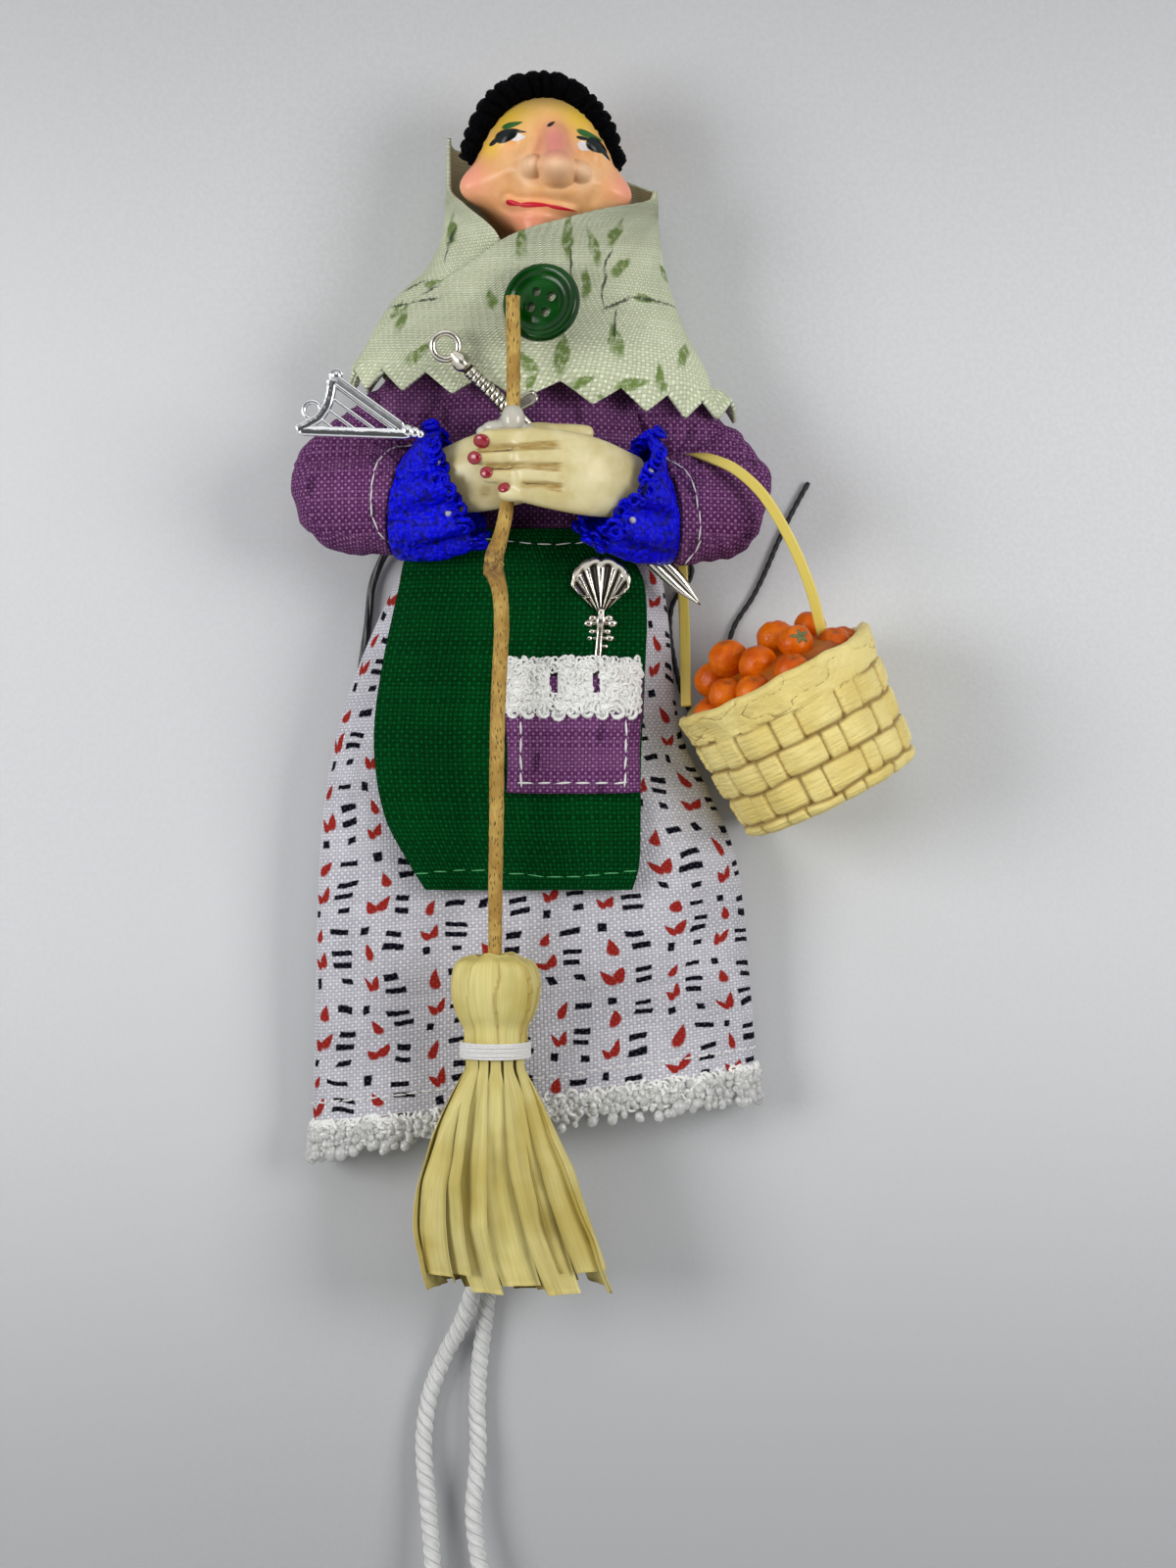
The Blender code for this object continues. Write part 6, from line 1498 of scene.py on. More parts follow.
# headscarf and button
scarfSettings = {
    "halfWidth": 0.0278, "levelY": 0.0340, "height": 0.0400, "depth": 0.0255, "flapLift": 0.0010,
    "tooth": 0.0030, "teeth": 24, "thick": 0.0006, "rows": 112, "columns": 385,
    "shares": ((-0.10, -1.040, 0.960, 0.85), (0.10, -0.990, 0.930, 0.84), (0.28, -0.880, 0.800, 0.86),
               (0.40, -0.760, 0.735, 0.88), (0.50, -0.600, 0.690, 0.92), (0.62, -0.510, 0.655, 1.00),
               (0.78, -0.490, 0.622, 0.96), (1.10, -0.480, 0.560, 0.90)),
    "hem": ((0.0, 36.2), (0.09, 35.0), (0.176, 33.4), (0.28, 31.4), (0.37, 30.4), (0.47, 33.0), (0.56, 36.2),
            (0.755, 36.6),
            (1.0, 36.6)),
    "rightEdge": ((-0.10, 172), (0.18, 160), (0.33, 140), (0.54, 112), (0.61, 91), (0.67, 66), (0.74, 22),
                  (0.90, 6), (1.10, 2)),
    "leftEdge": ((-0.10, 66), (0.30, 80), (0.50, 104), (0.62, 120), (0.72, 144), (0.80, 166), (1.10, 174)),
}


def clearOfArms(points):
    # lifts the cloth off the upper arms where it lies on them
    for arm in arms.values():
        for first, last, r in ((arm["shoulder"], arm["upper"], 0.0066),
                               (arm["upper"], arm["elbow"], 0.0082)):
            way = last - first
            share = np.clip(((points - first) @ way) / (way @ way), 0, 1)[..., None]
            away = points - first - way * share
            reach = np.linalg.norm(away, axis=-1, keepdims=True)
            points = points + away / np.maximum(reach, 1e-6) * np.clip(r - reach, 0, None)
    return points


def scarfGrid(s, inset=0.0):
    u, v = np.meshgrid(np.linspace(0, 1, s["columns"]), np.linspace(0, 1, s["rows"]))
    back = np.sin(np.pi * u)
    top = s["levelY"] + s["height"] * (0.78 + 0.21 * u + 0.10 * back * back)
    hem = along(s["hem"], u)[..., 0] * mm
    y = top + (hem - top) * v
    level = (y - s["levelY"]) / s["height"]
    start = np.radians(along(s["rightEdge"], level)[..., 0])
    end = np.radians(along(s["leftEdge"], level)[..., 0] - 360)
    angle = start + (end - start) * u
    left, right, deep = np.moveaxis(along(s["shares"], level), -1, 0)
    lift = s["flapLift"] * np.maximum(0, 1 - 3 * u)
    x, z = sectionPoint(left * s["halfWidth"] - lift, right * s["halfWidth"] + lift,
                        deep * s["depth"] + lift,
                        angle, inset, 2.3)
    front = np.clip((z - 0.010) / 0.008, 0, 1)
    z = z + ripple(x / 0.010, y / 0.009, 62) * 0.0004 * front
    x, y, z = np.moveaxis(clearOfArms(np.stack([x, y, z], -1)), -1, 0)
    tooth = np.abs((u * s["teeth"] * 2) % 2 - 1)
    shift = s["tooth"] * (1 - tooth) * np.clip((v - 6 / 7) * 7, 0, 1)
    return np.stack([x, y + shift, z], -1), shift


def makeScarf(s):
    grid, shift = scarfGrid(s)
    scarf = clothPiece("scarfCloth", grid, s["thick"], scarfCloth, outward=-1, drift=shift)
    finishPiece(scarf, "doll", ("headscarf",))
    declareSheet(scarf, grid)
    print("headscarf made")


def buttonMaterial():
    material, tree = startMaterial("greenButton", 0.16, Specular_IOR_Level=0.25)
    swirl = cloud(tree, coordinates(tree, "Object"), 260.0, 4.0, distortion=1.2)
    tone = mix(tree, ramp(tree, swirl, 0.3, 0.75), (0.0, 0.030, 0.001), (0.000, 0.065, 0.002))
    return endMaterial(material, tone, cloud(tree, coordinates(tree, "Object"), 1400.0, 2.0), 0.00001)


def booleanCut(piece, tools):
    for tool in tools:
        cut = piece.modifiers.new("cut", "BOOLEAN")
        cut.operation, cut.solver, cut.object = "DIFFERENCE", "EXACT", tool
    mesh = plainMesh(piece)
    piece.modifiers.clear()
    piece.data = mesh
    for tool in tools:
        bpy.data.objects.remove(tool)
    mesh.shade_smooth()


buttonSettings = {
    "radius": 0.00575, "half": 0.0012, "rim": 0.0011, "dish": 0.0007, "hole": 0.0014, "spacing": 0.0024,
    "centre": (0.0010, 0.0468, 0.0270), "tilt": -16, "turn": -20,
}


def makeButton(s):
    r, half, rim, dish = s["radius"], s["half"], s["rim"], s["dish"]
    rough = ((r * 0.55, -half), (r * 0.92, -half * 0.6), (r, 0.0), (r * 0.97, half * 0.7), (r * 0.90, half),
             (r - rim * 1.05, half * 0.9), (r - rim * 1.5, half - dish * 0.75), (r - rim * 1.9, half - dish),
             (r - rim * 2.35, half - dish * 1.04), (r * 0.40, half - dish * 0.9),
             (r * 0.10, half - dish * 0.85))
    steps = np.linspace(0, 1, len(rough))
    profile = along(np.column_stack([steps, np.array(rough)]), np.linspace(0, 1, 61))
    rings = [oval((0, 0, z), xWay, yWay, radius, radius, 96) for radius, z in profile]
    button = newPiece("greenButton", *loftMesh(rings)[:2], buttonMaterial())
    tools = []
    for k in range(4):
        angle = math.radians(45 + 90 * k)
        spot = np.array((math.cos(angle), math.sin(angle), 0)) * s["spacing"] / math.sqrt(2)
        rings = [oval(spot + zWay * z, xWay, yWay, s["hole"] / 2, s["hole"] / 2, 28) for z in (-0.003,
                                                                                               0.003)]
        tools.append(newPiece(f"hole{k}", *loftMesh(rings)[:2], None))
    booleanCut(button, tools)
    turn = Matrix.Rotation(math.radians(s["turn"]), 4, "Z") @ Matrix.Rotation(math.radians(s["tilt"]), 4,
                                                                              "Y")
    button.data.transform(Matrix.Translation(s["centre"]) @ turn)
    finishPiece(button, "doll", ("scarf_button",))
    print("button made")


makeScarf(scarfSettings)
makeButton(buttonSettings)


# head and hair
headSettings = {
    "centre": (0.0014, 0.0680, 0.0132), "half": (0.0107, 0.0118, 0.0112), "rows": 250, "columns": 330,
    "bumps": (((-0.84, -0.20, 0.44), 0.24, 0.0036), ((0.90, -0.30, 0.38), 0.24, 0.0036),
              ((-0.13, -0.84, 0.60), 0.26, 0.0026), ((0.05, 0.52, 0.84), 0.34, 0.0011),
              ((-0.40, 0.24, 0.88), 0.17, -0.0010), ((0.56, 0.12, 0.82), 0.17, -0.0010)),
    # hills and hollows in the face: x, y, half length, half width, turn, height, in mm
    "hills": ((-4.3, 72.2, 2.3, 1.5, 20, 0.75), (8.9, 70.6, 2.2, 1.5, -22, 0.75),
              (-5.2, 66.6, 2.6, 1.9, 20, 0.7),
              (10.6, 64.6, 2.6, 1.8, -25, 0.7), (3.0, 63.9, 3.4, 1.2, -4, 0.75),
              (0.7, 60.6, 2.6, 0.8, -6, 0.5),
              (-2.9, 64.4, 0.9, 2.6, 28, -0.30), (8.6, 63.3, 0.9, 2.4, -40, -0.30),
              (2.9, 75.6, 3.0, 1.6, 0, 0.3)),
    "noseTop": (2.7, 74.0), "noseTip": (3.2, 66.9), "noseHeight": 4.9, "wings": ((-0.4, 67.1), (6.6, 66.7)),
    "lips": ((-4.05, 62.62), (-3.2, 62.10), (-1.6, 61.85), (1.0, 61.70), (3.6, 61.40), (5.6, 61.25)),
}


def headBase(direction):
    s = headSettings
    base = direction * np.array(s["half"])
    for where, width, out in s["bumps"]:
        near = np.linalg.norm(direction - unit(np.array(where, float)), axis=-1, keepdims=True) / width
        base = base + direction * out * np.exp(-near * near)
    return np.array(s["centre"]) + base


def lineDistance(x, y, route):
    # distance to a flat polyline, and the share along it
    best, at = np.full(np.shape(x), 1e9), np.zeros(np.shape(x))
    for k, ((ax, ay), (bx, by)) in enumerate(zip(route, route[1:])):
        dx, dy = bx - ax, by - ay
        q = np.clip(((x - ax) * dx + (y - ay) * dy) / (dx * dx + dy * dy), 0, 1)
        d = np.hypot(x - ax - dx * q, y - ay - dy * q)
        at = np.where(d < best, (k + q) / (len(route) - 1), at)
        best = np.minimum(best, d)
    return best, at


def dome(reach):
    return np.clip(1 - reach ** 2, 0, 1) ** 0.62


def faceRise(x, y):
    # how far the features stand out of the plain head, everything in mm
    s = headSettings
    rise = np.zeros(np.shape(x))
    for cx, cy, long, wide, turn, height in s["hills"]:
        c, q = math.cos(math.radians(turn)), math.sin(math.radians(turn))
        u, v = ((x - cx) * c + (y - cy) * q) / long, (-(x - cx) * q + (y - cy) * c) / wide
        rise += height * bell(np.hypot(u, v))
    near, at = lineDistance(x, y, (s["noseTop"], s["noseTip"]))
    width = 1.5 + 1.5 * at ** 1.3
    lobes = [(0.4 + (s["noseHeight"] - 0.6) * at ** 1.2) * dome(near / width) * np.minimum(1, at * 5 + 0.1)]
    for wx, wy in s["wings"]:
        lobes.append(2.7 * dome(np.hypot(x - wx, y - wy) / 1.75))
    tipX, tipY = s["noseTip"]
    lobes.append(s["noseHeight"] * dome(np.hypot((x - tipX) / 3.0, (y - tipY) / 2.35)))
    rise += sum(np.maximum(lobe, 0) ** 5 for lobe in lobes) ** (1 / 5)
    near, at = lineDistance(x, y, s["lips"])
    rise += 0.32 * bell(near / 0.42) - 0.30 * bell((near - 1.0) / 0.5)
    return rise


def headGrid(rows, columns):
    tilt = np.linspace(0.012, math.pi - 0.012, rows)[:, None]
    turn = roundTurn(columns)[None, :]
    direction = np.stack(np.broadcast_arrays(np.sin(tilt) * np.cos(turn), np.cos(tilt),
                                             np.sin(tilt) * np.sin(turn)), -1)
    base = headBase(direction)
    front = np.clip((direction[..., 2] - 0.05) / 0.35, 0, 1)
    rise = faceRise(base[..., 0] / mm, base[..., 1] / mm) * mm * front
    base[..., 2] += rise
    # the tip of the nose droops a little
    base[..., 1] -= 0.12 * np.maximum(rise - 0.0030, 0)
    return base


def skinMaterial():
    material, tree = startMaterial("paintedSkin", 0.28, Specular_IOR_Level=0.22, Subsurface_Weight=0.06,
                                           Subsurface_Scale=0.002)
    place = coordinates(tree, "Object")
    front = ramp(tree, split(tree, place)[2], 0.0135, 0.0165)
    soft = cloud(tree, place, 420.0, 3.0)
    tone = mix(tree, ramp(tree, soft, 0.3, 0.7), (0.84, 0.42, 0.165), (0.90, 0.51, 0.235))
    washesAndPaintedLight = (
        ((0.93, 0.62, 0.010), [(-3.9, 75.6, 3.0, 1.7, 30, 0), (-7.1, 70.4, 1.8, 1.3, 60, 0),
                               (5.8, 75.2, 2.7, 2.1, -40, 0)], 1.3, 1.0),
        ((0.66, 0.50, 0.22), [(2.2, 78.3, 5.4, 1.5, 0, 0)], 2.2, 0.8),
        ((0.80, 0.50, 0.10), [(2.0, 75.6, 6.8, 2.6, 0, 0), (-7.2, 67.8, 1.4, 1.6, 0, 0)], 2.0, 0.65),
        ((0.72, 0.225, 0.215), [(2.9, 70.2, 1.9, 3.0, 2, 0)], 1.4, 1.0),
        # painted highlight on the nose tip and wings
        ((0.92, 0.60, 0.37), [(3.2, 66.2, 2.3, 1.2, 0, 0), (-0.9, 67.1, 1.7, 1.7, 0, 0),
                              (7.2, 66.4, 1.6, 1.6, 0, 0)], 1.2, 0.9),
        ((0.90, 0.32, 0.25), [(-9.4, 66.6, 2.2, 2.6, 0, 0), (13.6, 65.1, 1.8, 2.2, 0, 0)], 1.8, 0.95),
        ((0.88, 0.29, 0.20), [(-0.9, 59.6, 3.4, 1.6, -8, 0)], 2.0, 0.95),
        # painted shadow along the lower left jaw
        ((0.36, 0.190, 0.035), [(-5.9, 58.9, 1.1, 3.4, 38, 0), (-3.6, 56.9, 2.4, 1.4, -20, 0)], 1.5, 0.8),
        # painted shade in the creases beside the nose and the cheek
        ((0.50, 0.22, 0.075), [(-3.2, 64.9, 0.5, 2.0, 28, 0), (0.3, 69.6, 0.35, 2.2, -28, 0),
                               (5.6, 69.4, 0.35, 2.2, 24, 0)], 1.3, 0.2),
    )
    for colour, marks, edge, amount in washesAndPaintedLight:
        mask = times(tree, marksOver(tree, place, marks, edge), times(tree, front, amount))
        tone = mix(tree, mask, tone, colour)
    paintStrokes = (
        ((0.030, 0.130, 0.022), [(-3.4, 73.70, 1.55, 0.50, 8, 0.5), (8.0, 72.30, 2.0, 0.50, -14, 0.5)],
         0.10),
        ((0.80, 0.78, 0.78), [(-2.55, 71.75, 1.10, 0.52, -6, 0.5), (-6.2, 71.15, 0.35, 0.18, 20, 0.5),
                              (7.25, 70.50, 1.05, 0.58, -18, 0.5), (10.5, 69.40, 0.35, 0.24, -50, 0.5)],
                              0.10),
        ((0.003, 0.006, 0.006), [(-4.25, 72.10, 1.75, 1.00, 12, 0.3), (-5.7, 71.65, 1.25, 0.38, 30, 0.5),
                                 (-2.6, 72.60, 1.35, 0.26, -14, 0.5)], 0.09),
        ((0.003, 0.006, 0.006), [(9.0, 70.80, 1.65, 1.05, -24, 0.3), (10.3, 69.80, 1.0, 0.32, -48, 0.5),
                                 (7.2, 71.65, 1.2, 0.26, -4, 0.5)], 0.09),
        ((0.012, 0.006, 0.006), [(2.35, 73.2, 0.70, 0.30, 38, 0.3)], 0.10),
        ((0.56, 0.012, 0.030), [(-2.9, 62.13, 1.5, 0.34, -16, 0.7), (0.2, 61.75, 2.6, 0.36, -3, 0.5),
                                (4.0, 61.35, 2.2, 0.24, -6, 0.6)], 0.10),
    )
    wobble = times(tree, minus(tree, cloud(tree, place, 1500.0, 2.0), 0.5), 0.00025)
    near = vectorCalc(tree, "ADD", place, pack(tree, wobble, 0.0))
    for colour, marks, edge in paintStrokes:
        mask = times(tree, marksOver(tree, near, marks, edge), front)
        tone = mix(tree, mask, tone, colour)
    return endMaterial(material, tone, cloud(tree, place, 900.0, 3.0), 0.00003)


hairSettings = {
    "route": ((-10.0, 69.4, 14.6), (-9.4, 71.8, 15.6), (-8.3, 74.9, 16.8), (-6.3, 77.9, 17.5),
              (-3.7, 79.9, 17.8),
              (-0.1, 80.8, 17.9), (3.4, 80.4, 17.8), (6.0, 79.0, 17.6), (8.5, 76.5, 17.3),
              (10.3, 73.6, 16.8),
              (11.1, 70.8, 16.0), (12.5, 68.2, 15.0)),
    "step": 0.00009, "half": 0.00215, "deep": 0.0028, "lobes": 18.0, "valley": 0.24, "columns": 80,
}


def hairMaterial():
    material, tree = startMaterial("blackYarn", 0.6, Specular_IOR_Level=0.03)
    place = coordinates(tree, "Object")
    fibres = cloud(tree, place, 2600.0, 4.0, 0.65)
    tone = mix(tree, ramp(tree, fibres, 0.45, 0.75), (0.0002, 0.0002, 0.0004), (0.0025, 0.0030, 0.0050))
    return endMaterial(material, tone, fibres, 0.00030)


def makeHair(s):
    # a thick yarn trim laid from ear to ear over the crown, in rounded lobes
    path, distance = evenly(routePoints(np.array(s["route"]) * mm, 240), s["step"])
    path[:, :2] += (np.array((0.0018, 0.0700)) - path[:, :2]) * 0.035
    tangent = unit(np.gradient(path, axis=0))
    out = unit(np.cross(tangent, zWay))
    across = np.cross(out, tangent)
    share = distance / distance[-1]
    turn = roundTurn(s["columns"])[None, :]
    uneven = ripple(share * 9, share * 0, 53)[:, None] * 0.5
    phase = (share[:, None] * s["lobes"] + uneven) * math.pi + turn * 0.5
    lobe = np.abs(np.sin(phase)) ** 0.55
    fuzz = ripple(share[:, None] * 210, turn * 9, 51) * 0.035 + ripple(share[:, None] * 60, turn * 3,
                                                                       54) * 0.05
    end = np.clip(np.minimum(share, 1 - share) * 40, 0.35, 1)[:, None]
    size = (1 - s["valley"] + s["valley"] * lobe + fuzz) * end
    rings = (path[:, None] + out[:, None] * (np.cos(turn) * size * s["half"])[..., None]
             + across[:, None] * (np.sin(turn) * size * s["deep"])[..., None])
    hair = loftPiece("blackTrim", rings, hairMaterial())
    finishPiece(hair, "doll", ("hair_trim",))
    print("hair made")


def makeHead(s):
    head = loftPiece("paintedHead", headGrid(s["rows"], s["columns"]), skinMaterial())
    finishPiece(head, "doll", ("head",))
    print("head made")


makeHead(headSettings)
makeHair(hairSettings)

# hands
handSettings = {
    "halfWidth": 0.0057, "halfThick": 0.0023, "finger": 0.0028, "spacing": 0.0026, "length": 0.0084,
    "frontWrist": (14.2, 20.2, 25.5), "frontKnuckles": (-0.4, 22.7, 32.4), "rearWrist": (-14.2, 21.2, 20.8),
    "rearKnuckles": (0.8, 24.3, 25.0), "voxel": 0.00022, "smooth": 9,
    "grooves": (((-7.6, 24.85), (-2.5, 25.1), (4.2, 25.5)), ((-6.6, 22.35), (-1.5, 22.45), (4.4, 22.2)),
                ((-1.4, 19.75), (1.4, 19.70), (4.4, 19.2))),
    "nails": ((-7.5, 26.10, 1.10), (-8.5, 23.70, 0.98), (-6.8, 21.60, 0.86), (-4.3, 19.45, 0.82)),
}


def handParts(wrist, knuckles, way, s):
    wrist, knuckles = np.array(wrist) * mm, np.array(knuckles) * mm
    middle = wrist + (knuckles - wrist) * 0.45 + zWay * (knuckles[2] - wrist[2]) * 0.32
    wide, thick, finger = s["halfWidth"], s["halfThick"], s["finger"]
    parts = [limbMesh([wrist, middle, knuckles, knuckles + way * finger],
                      [(wide * 0.8, thick * 1.35), (wide, thick * 1.15), (wide * 0.97, thick),
                       (wide * 0.8, thick * 0.6)])]
    for k, share in enumerate((0.90, 1.0, 0.84, 0.56)):
        root = knuckles + yWay * s["spacing"] * (1.5 - k) - way * finger
        reach = way * (s["length"] * share + finger)
        droop, half = -zWay * finger / 4, finger / 2
        tip = root + reach
        path = [root, root + reach * 0.5, tip - way * half * 0.5 + droop * 0.8, tip + droop]
        parts.append(limbMesh(path, [(half,) * 2, (half,) * 2, (half * 0.85,) * 2, (half * 0.35,) * 2], 24,
                              20))
    return parts


def resinMaterial():
    material, tree = startMaterial("ivoryResin", 0.36, Coat_Weight=0.12, Coat_Roughness=0.15,
                                           Subsurface_Weight=0.10, Subsurface_Scale=0.0015)
    place = coordinates(tree, "Object")
    soft = cloud(tree, place, 260.0, 3.0)
    tone = mix(tree, ramp(tree, soft, 0.3, 0.7), (0.62, 0.52, 0.23), (0.74, 0.66, 0.37))
    streaks = cloud(tree, stretched(tree, place, 500.0, 3000.0), 1.0, 3.0)
    # painted shade: where fingerShade is high the resin turns brown with streaks, and near black at its
    # strongest
    fingerShade = attributeOf(tree, "fingerShade")
    tone = mix(tree, times(tree, ramp(tree, fingerShade, 0.05, 0.75), ramp(tree, streaks, 0.25, 0.75, 0.45, 1.0)),
               tone, (0.36, 0.22, 0.045))
    tone = mix(tree, ramp(tree, fingerShade, 0.78, 0.97), tone, (0.020, 0.010, 0.006))
    return endMaterial(material, tone, soft, 0.00006)


def makeHands(s):
    resin = resinMaterial()
    red = mottled("redNail", 0.20, 1500.0, 2.0, (0.24, 0.002, 0.012), (0.36, 0.006, 0.022), 0.00002,
                  Coat_Weight=0.3, Coat_Roughness=0.05)
    for name, wrist, knuckles, way in (("front", s["frontWrist"], s["frontKnuckles"], -xWay),
                                       ("rear", s["rearWrist"], s["rearKnuckles"], xWay)):
        mesh = softSkin(name + "Hand", handParts(wrist, knuckles, way, s), s["voxel"], s["smooth"])
        points, normals = meshPoints(mesh), meshPoints(mesh, "normal")
        fingerShade = np.zeros(len(points))
        top = np.clip(normals[:, 2] * 2, 0, 1)
        if name == "front":
            x, y = points[:, 0] / mm, points[:, 1] / mm
            # the modelled fingers are filled level, then cut by three shallow grooves, with painted shade in
            # and beside them
            for route in s["grooves"]:
                near, at = lineDistance(x, y, route)
                fade = np.minimum(1, (1.02 - at) * 8)
                deep = bell(near / (0.26 + 0.22 * at)) * fade * top
                points -= normals * (deep * 0.00050)[:, None]
                dark = bell(near / 0.20) * np.clip(1.5 - at * 1.1, 0, 1)
                rim = bell((near - 0.30 - 0.25 * at) / 0.16) * np.clip(at * 2 - 0.4, 0, 1) * 0.9
                fingerShade = np.maximum(fingerShade, np.maximum(0.78 * bell(near / 0.62) * fade,
                                                   np.maximum(dark, rim) * fade) * top)
        else:
            # painted shade: a soft dark spot on the rear hand, by the front hand's fingertips
            near = np.hypot(points[:, 0] / mm + 7.2, points[:, 1] / mm - 19.6) / 1.0
            fingerShade = np.maximum(fingerShade, 0.7 * bell(near) * top)
        setPoints(mesh, points)
        paint(mesh, "fingerShade", fingerShade)
        hand = addPiece(name + "ResinHand", mesh, resin)
        finishPiece(hand, "doll", (name + "_hand",))
        if name == "front":
            tree = surfaceTree(hand)
            for number, (x, y, r) in enumerate(s["nails"]):
                spot = laidOn(tree, [(x * mm, y * mm)], 0.00005)[0]
                normal = np.array(tree.find_nearest(Vector(spot))[1])
                side = unit(np.cross(yWay, normal))
                up = unit(np.cross(normal, side))
                rings = [oval(spot + normal * r * mm * 0.42 * h, side, up, r * mm * 1.12 * w, r * mm * w, 28)
                         for w, h in ((0.9, -0.8), (1.0, 0.0), (0.93, 0.45), (0.7, 0.8), (0.35, 1.0),
                                      (0.05, 1.05))]
                nail = loftPiece(f"nail{number + 1}", rings, red)
                finishPiece(nail, "doll")
    print("hands made")


makeHands(handSettings)

# broom
stickSettings = {
    "diameter": 0.0021, "rows": 420, "columns": 40,
    "route": ((-3.1, 47.4, 29.3), (-3.1, 30.1, 29.1), (-3.9, 17.9, 28.6), (-4.6, 14.0, 28.4),
              (-6.0, 8.6, 28.1),
              (-5.1, 5.5, 28.0), (-4.8, -0.2, 27.6), (-5.2, -8.7, 27.0), (-5.5, -17.2, 26.2),
              (-5.6, -27.1, 24.9),
              (-5.8, -37.0, 23.4), (-5.9, -47.7, 21.9), (-5.9, -53.0, 21.1)),
    "shares": ((0.0, 0.98), (0.33, 1.0), (0.385, 1.35), (0.42, 1.1), (0.5, 1.05), (0.8, 1.0), (1.0, 0.95)),
}


def twigMaterial():
    material, tree = startMaterial("dryTwig", 0.6, Specular_IOR_Level=0.15)
    place = coordinates(tree, "Object")
    long = stretched(tree, place, 3400.0, 900.0, 3400.0)
    grain, dots = cloud(tree, long, 1.0, 4.0), cells(tree, long, 0.85)
    broad = cloud(tree, place, 240.0, 2.0)
    tone = mix(tree, ramp(tree, broad, 0.35, 0.65), (0.42, 0.250, 0.050), (0.62, 0.420, 0.110))
    tone = mix(tree, ramp(tree, grain, 0.35, 0.75, 0.5, 0.0), tone, (0.30, 0.16, 0.05))
    speck = times(tree, ramp(tree, dots, 0.20, 0.30, 1.0, 0.0), ramp(tree, broad, 0.35, 0.6, 0.6, 1.0))
    tone = mix(tree, times(tree, speck, 0.85), tone, (0.040, 0.022, 0.010))
    knot = times(tree, attributeOf(tree, "knot"), ramp(tree, cloud(tree, place, 1300.0, 4.0), 0.35, 0.6))
    tone = mix(tree, times(tree, knot, 0.8), tone, (0.10, 0.055, 0.035))
    return endMaterial(material, tone, plus(tree, grain, times(tree, speck, -0.8)), 0.00009)


twig = twigMaterial()


def makeStick(s):
    path = routePoints(np.array(s["route"]) * mm, s["rows"])
    share = np.linspace(0, 1, s["rows"])
    half = along(s["shares"], share)[:, 0] * s["diameter"] / 2
    rings = sweep(path, np.stack([half, half], -1), s["columns"])
    turn = roundTurn(s["columns"])[None, :]
    knot = bell((share[:, None] - 0.385) / 0.022)
    bark = ripple(turn * 1.2 + 3, share[:, None] * 60, 71) * 0.035 + ripple(turn * 2.5, share[:, None] * 170,
                                                                            73) * (0.02 + 0.12 * knot)
    rings = path[:, None] + (rings - path[:, None]) * (1 + bark)[..., None]
    stick = loftPiece("twigStick", rings, twig)
    paint(stick.data, "knot", np.concatenate([np.repeat(bell((share - 0.385) / 0.03), s["columns"]),
                                              [0, 0]]))
    finishPiece(stick, "doll", ("broom_stick",))
    print("stick made")


glue = mottled("cloudyGlue", 0.28, 700.0, 3.0, (0.66, 0.64, 0.54), (0.84, 0.83, 0.76), 0.00006,
               Transmission_Weight=0.35, Coat_Weight=0.4)


glueSettings = {
    "atY": 0.0300, "lift": 0.0004, "voxel": 0.0002, "handleVoxel": 0.00022, "smooth": 4,
    # blobs on the stick, from its own line, then on the handle: place and half sizes
    "blobs": (((0.0, -0.0004, 0.0), (0.0018, 0.0023, 0.0017)),
              ((-0.0024, -0.0014, -0.0010), (0.0021, 0.0011, 0.0014)),
              ((0.0012, -0.0018, -0.0008), (0.0024, 0.0010, 0.0014)),
              ((-0.0042, -0.0020, -0.0016), (0.0012, 0.0010, 0.0010))),
    "handleBlobs": (((0.0438, -0.0050, 0.0182), (0.0017, 0.0015, 0.0011)),
                    ((0.0454, -0.0056, 0.0172), (0.0015, 0.0012, 0.0010)),
                    ((0.0420, -0.0062, 0.0182), (0.0013, 0.0009, 0.0009))),
}


def glueSkin(name, start, blobs, voxel):
    parts = [ballMesh(start + np.array(away), *size, 24, 14) for away, size in blobs]
    return addPiece(name, softSkin(name, parts, voxel, glueSettings["smooth"]), glue)


def makeGlue(s):
    # a collar of hot glue that climbs the stick and spreads over the hand
    path = routePoints(np.array(stickSettings["route"]) * mm, 401)
    start = path[np.argmin(np.abs(path[:, 1] - s["atY"]))] + zWay * s["lift"]
    finishPiece(glueSkin("glueDab", start, s["blobs"], s["voxel"]), "doll", ("glue_dab",))


broomSettings = {
    "top": (-5.9, -47.7, 21.9), "bulbHalf": (6.3, 4.8), "bulb": 11.2, "neckHalf": (4.5, 3.6), "neck": 5.8,
    "flare": 33.5, "flareHalf": (13.2, 5.0), "side": 4.5, "drop": 7.2, "pleats": 9,
    "ribbons": ((1.0, 13, 3.9), (0.74, 11, 3.2), (0.42, 8, 2.6)), "thick": 0.00013, "threads": 9,
}


def broomAxis(s, b):
    # centre of the broom head in mm, s counting from its top down to its foot
    total = b["bulb"] + b["neck"] + b["flare"]
    flare = np.maximum(0, (s * total - b["bulb"] - b["neck"]) / b["flare"])
    side = b["side"] * flare ** 3 - 0.1 * b["side"] * np.sin(math.pi * 0.5 * flare)
    return np.array(b["top"]) + np.stack([side, -s * total, -b["drop"] * (s - 0.12)], -1)


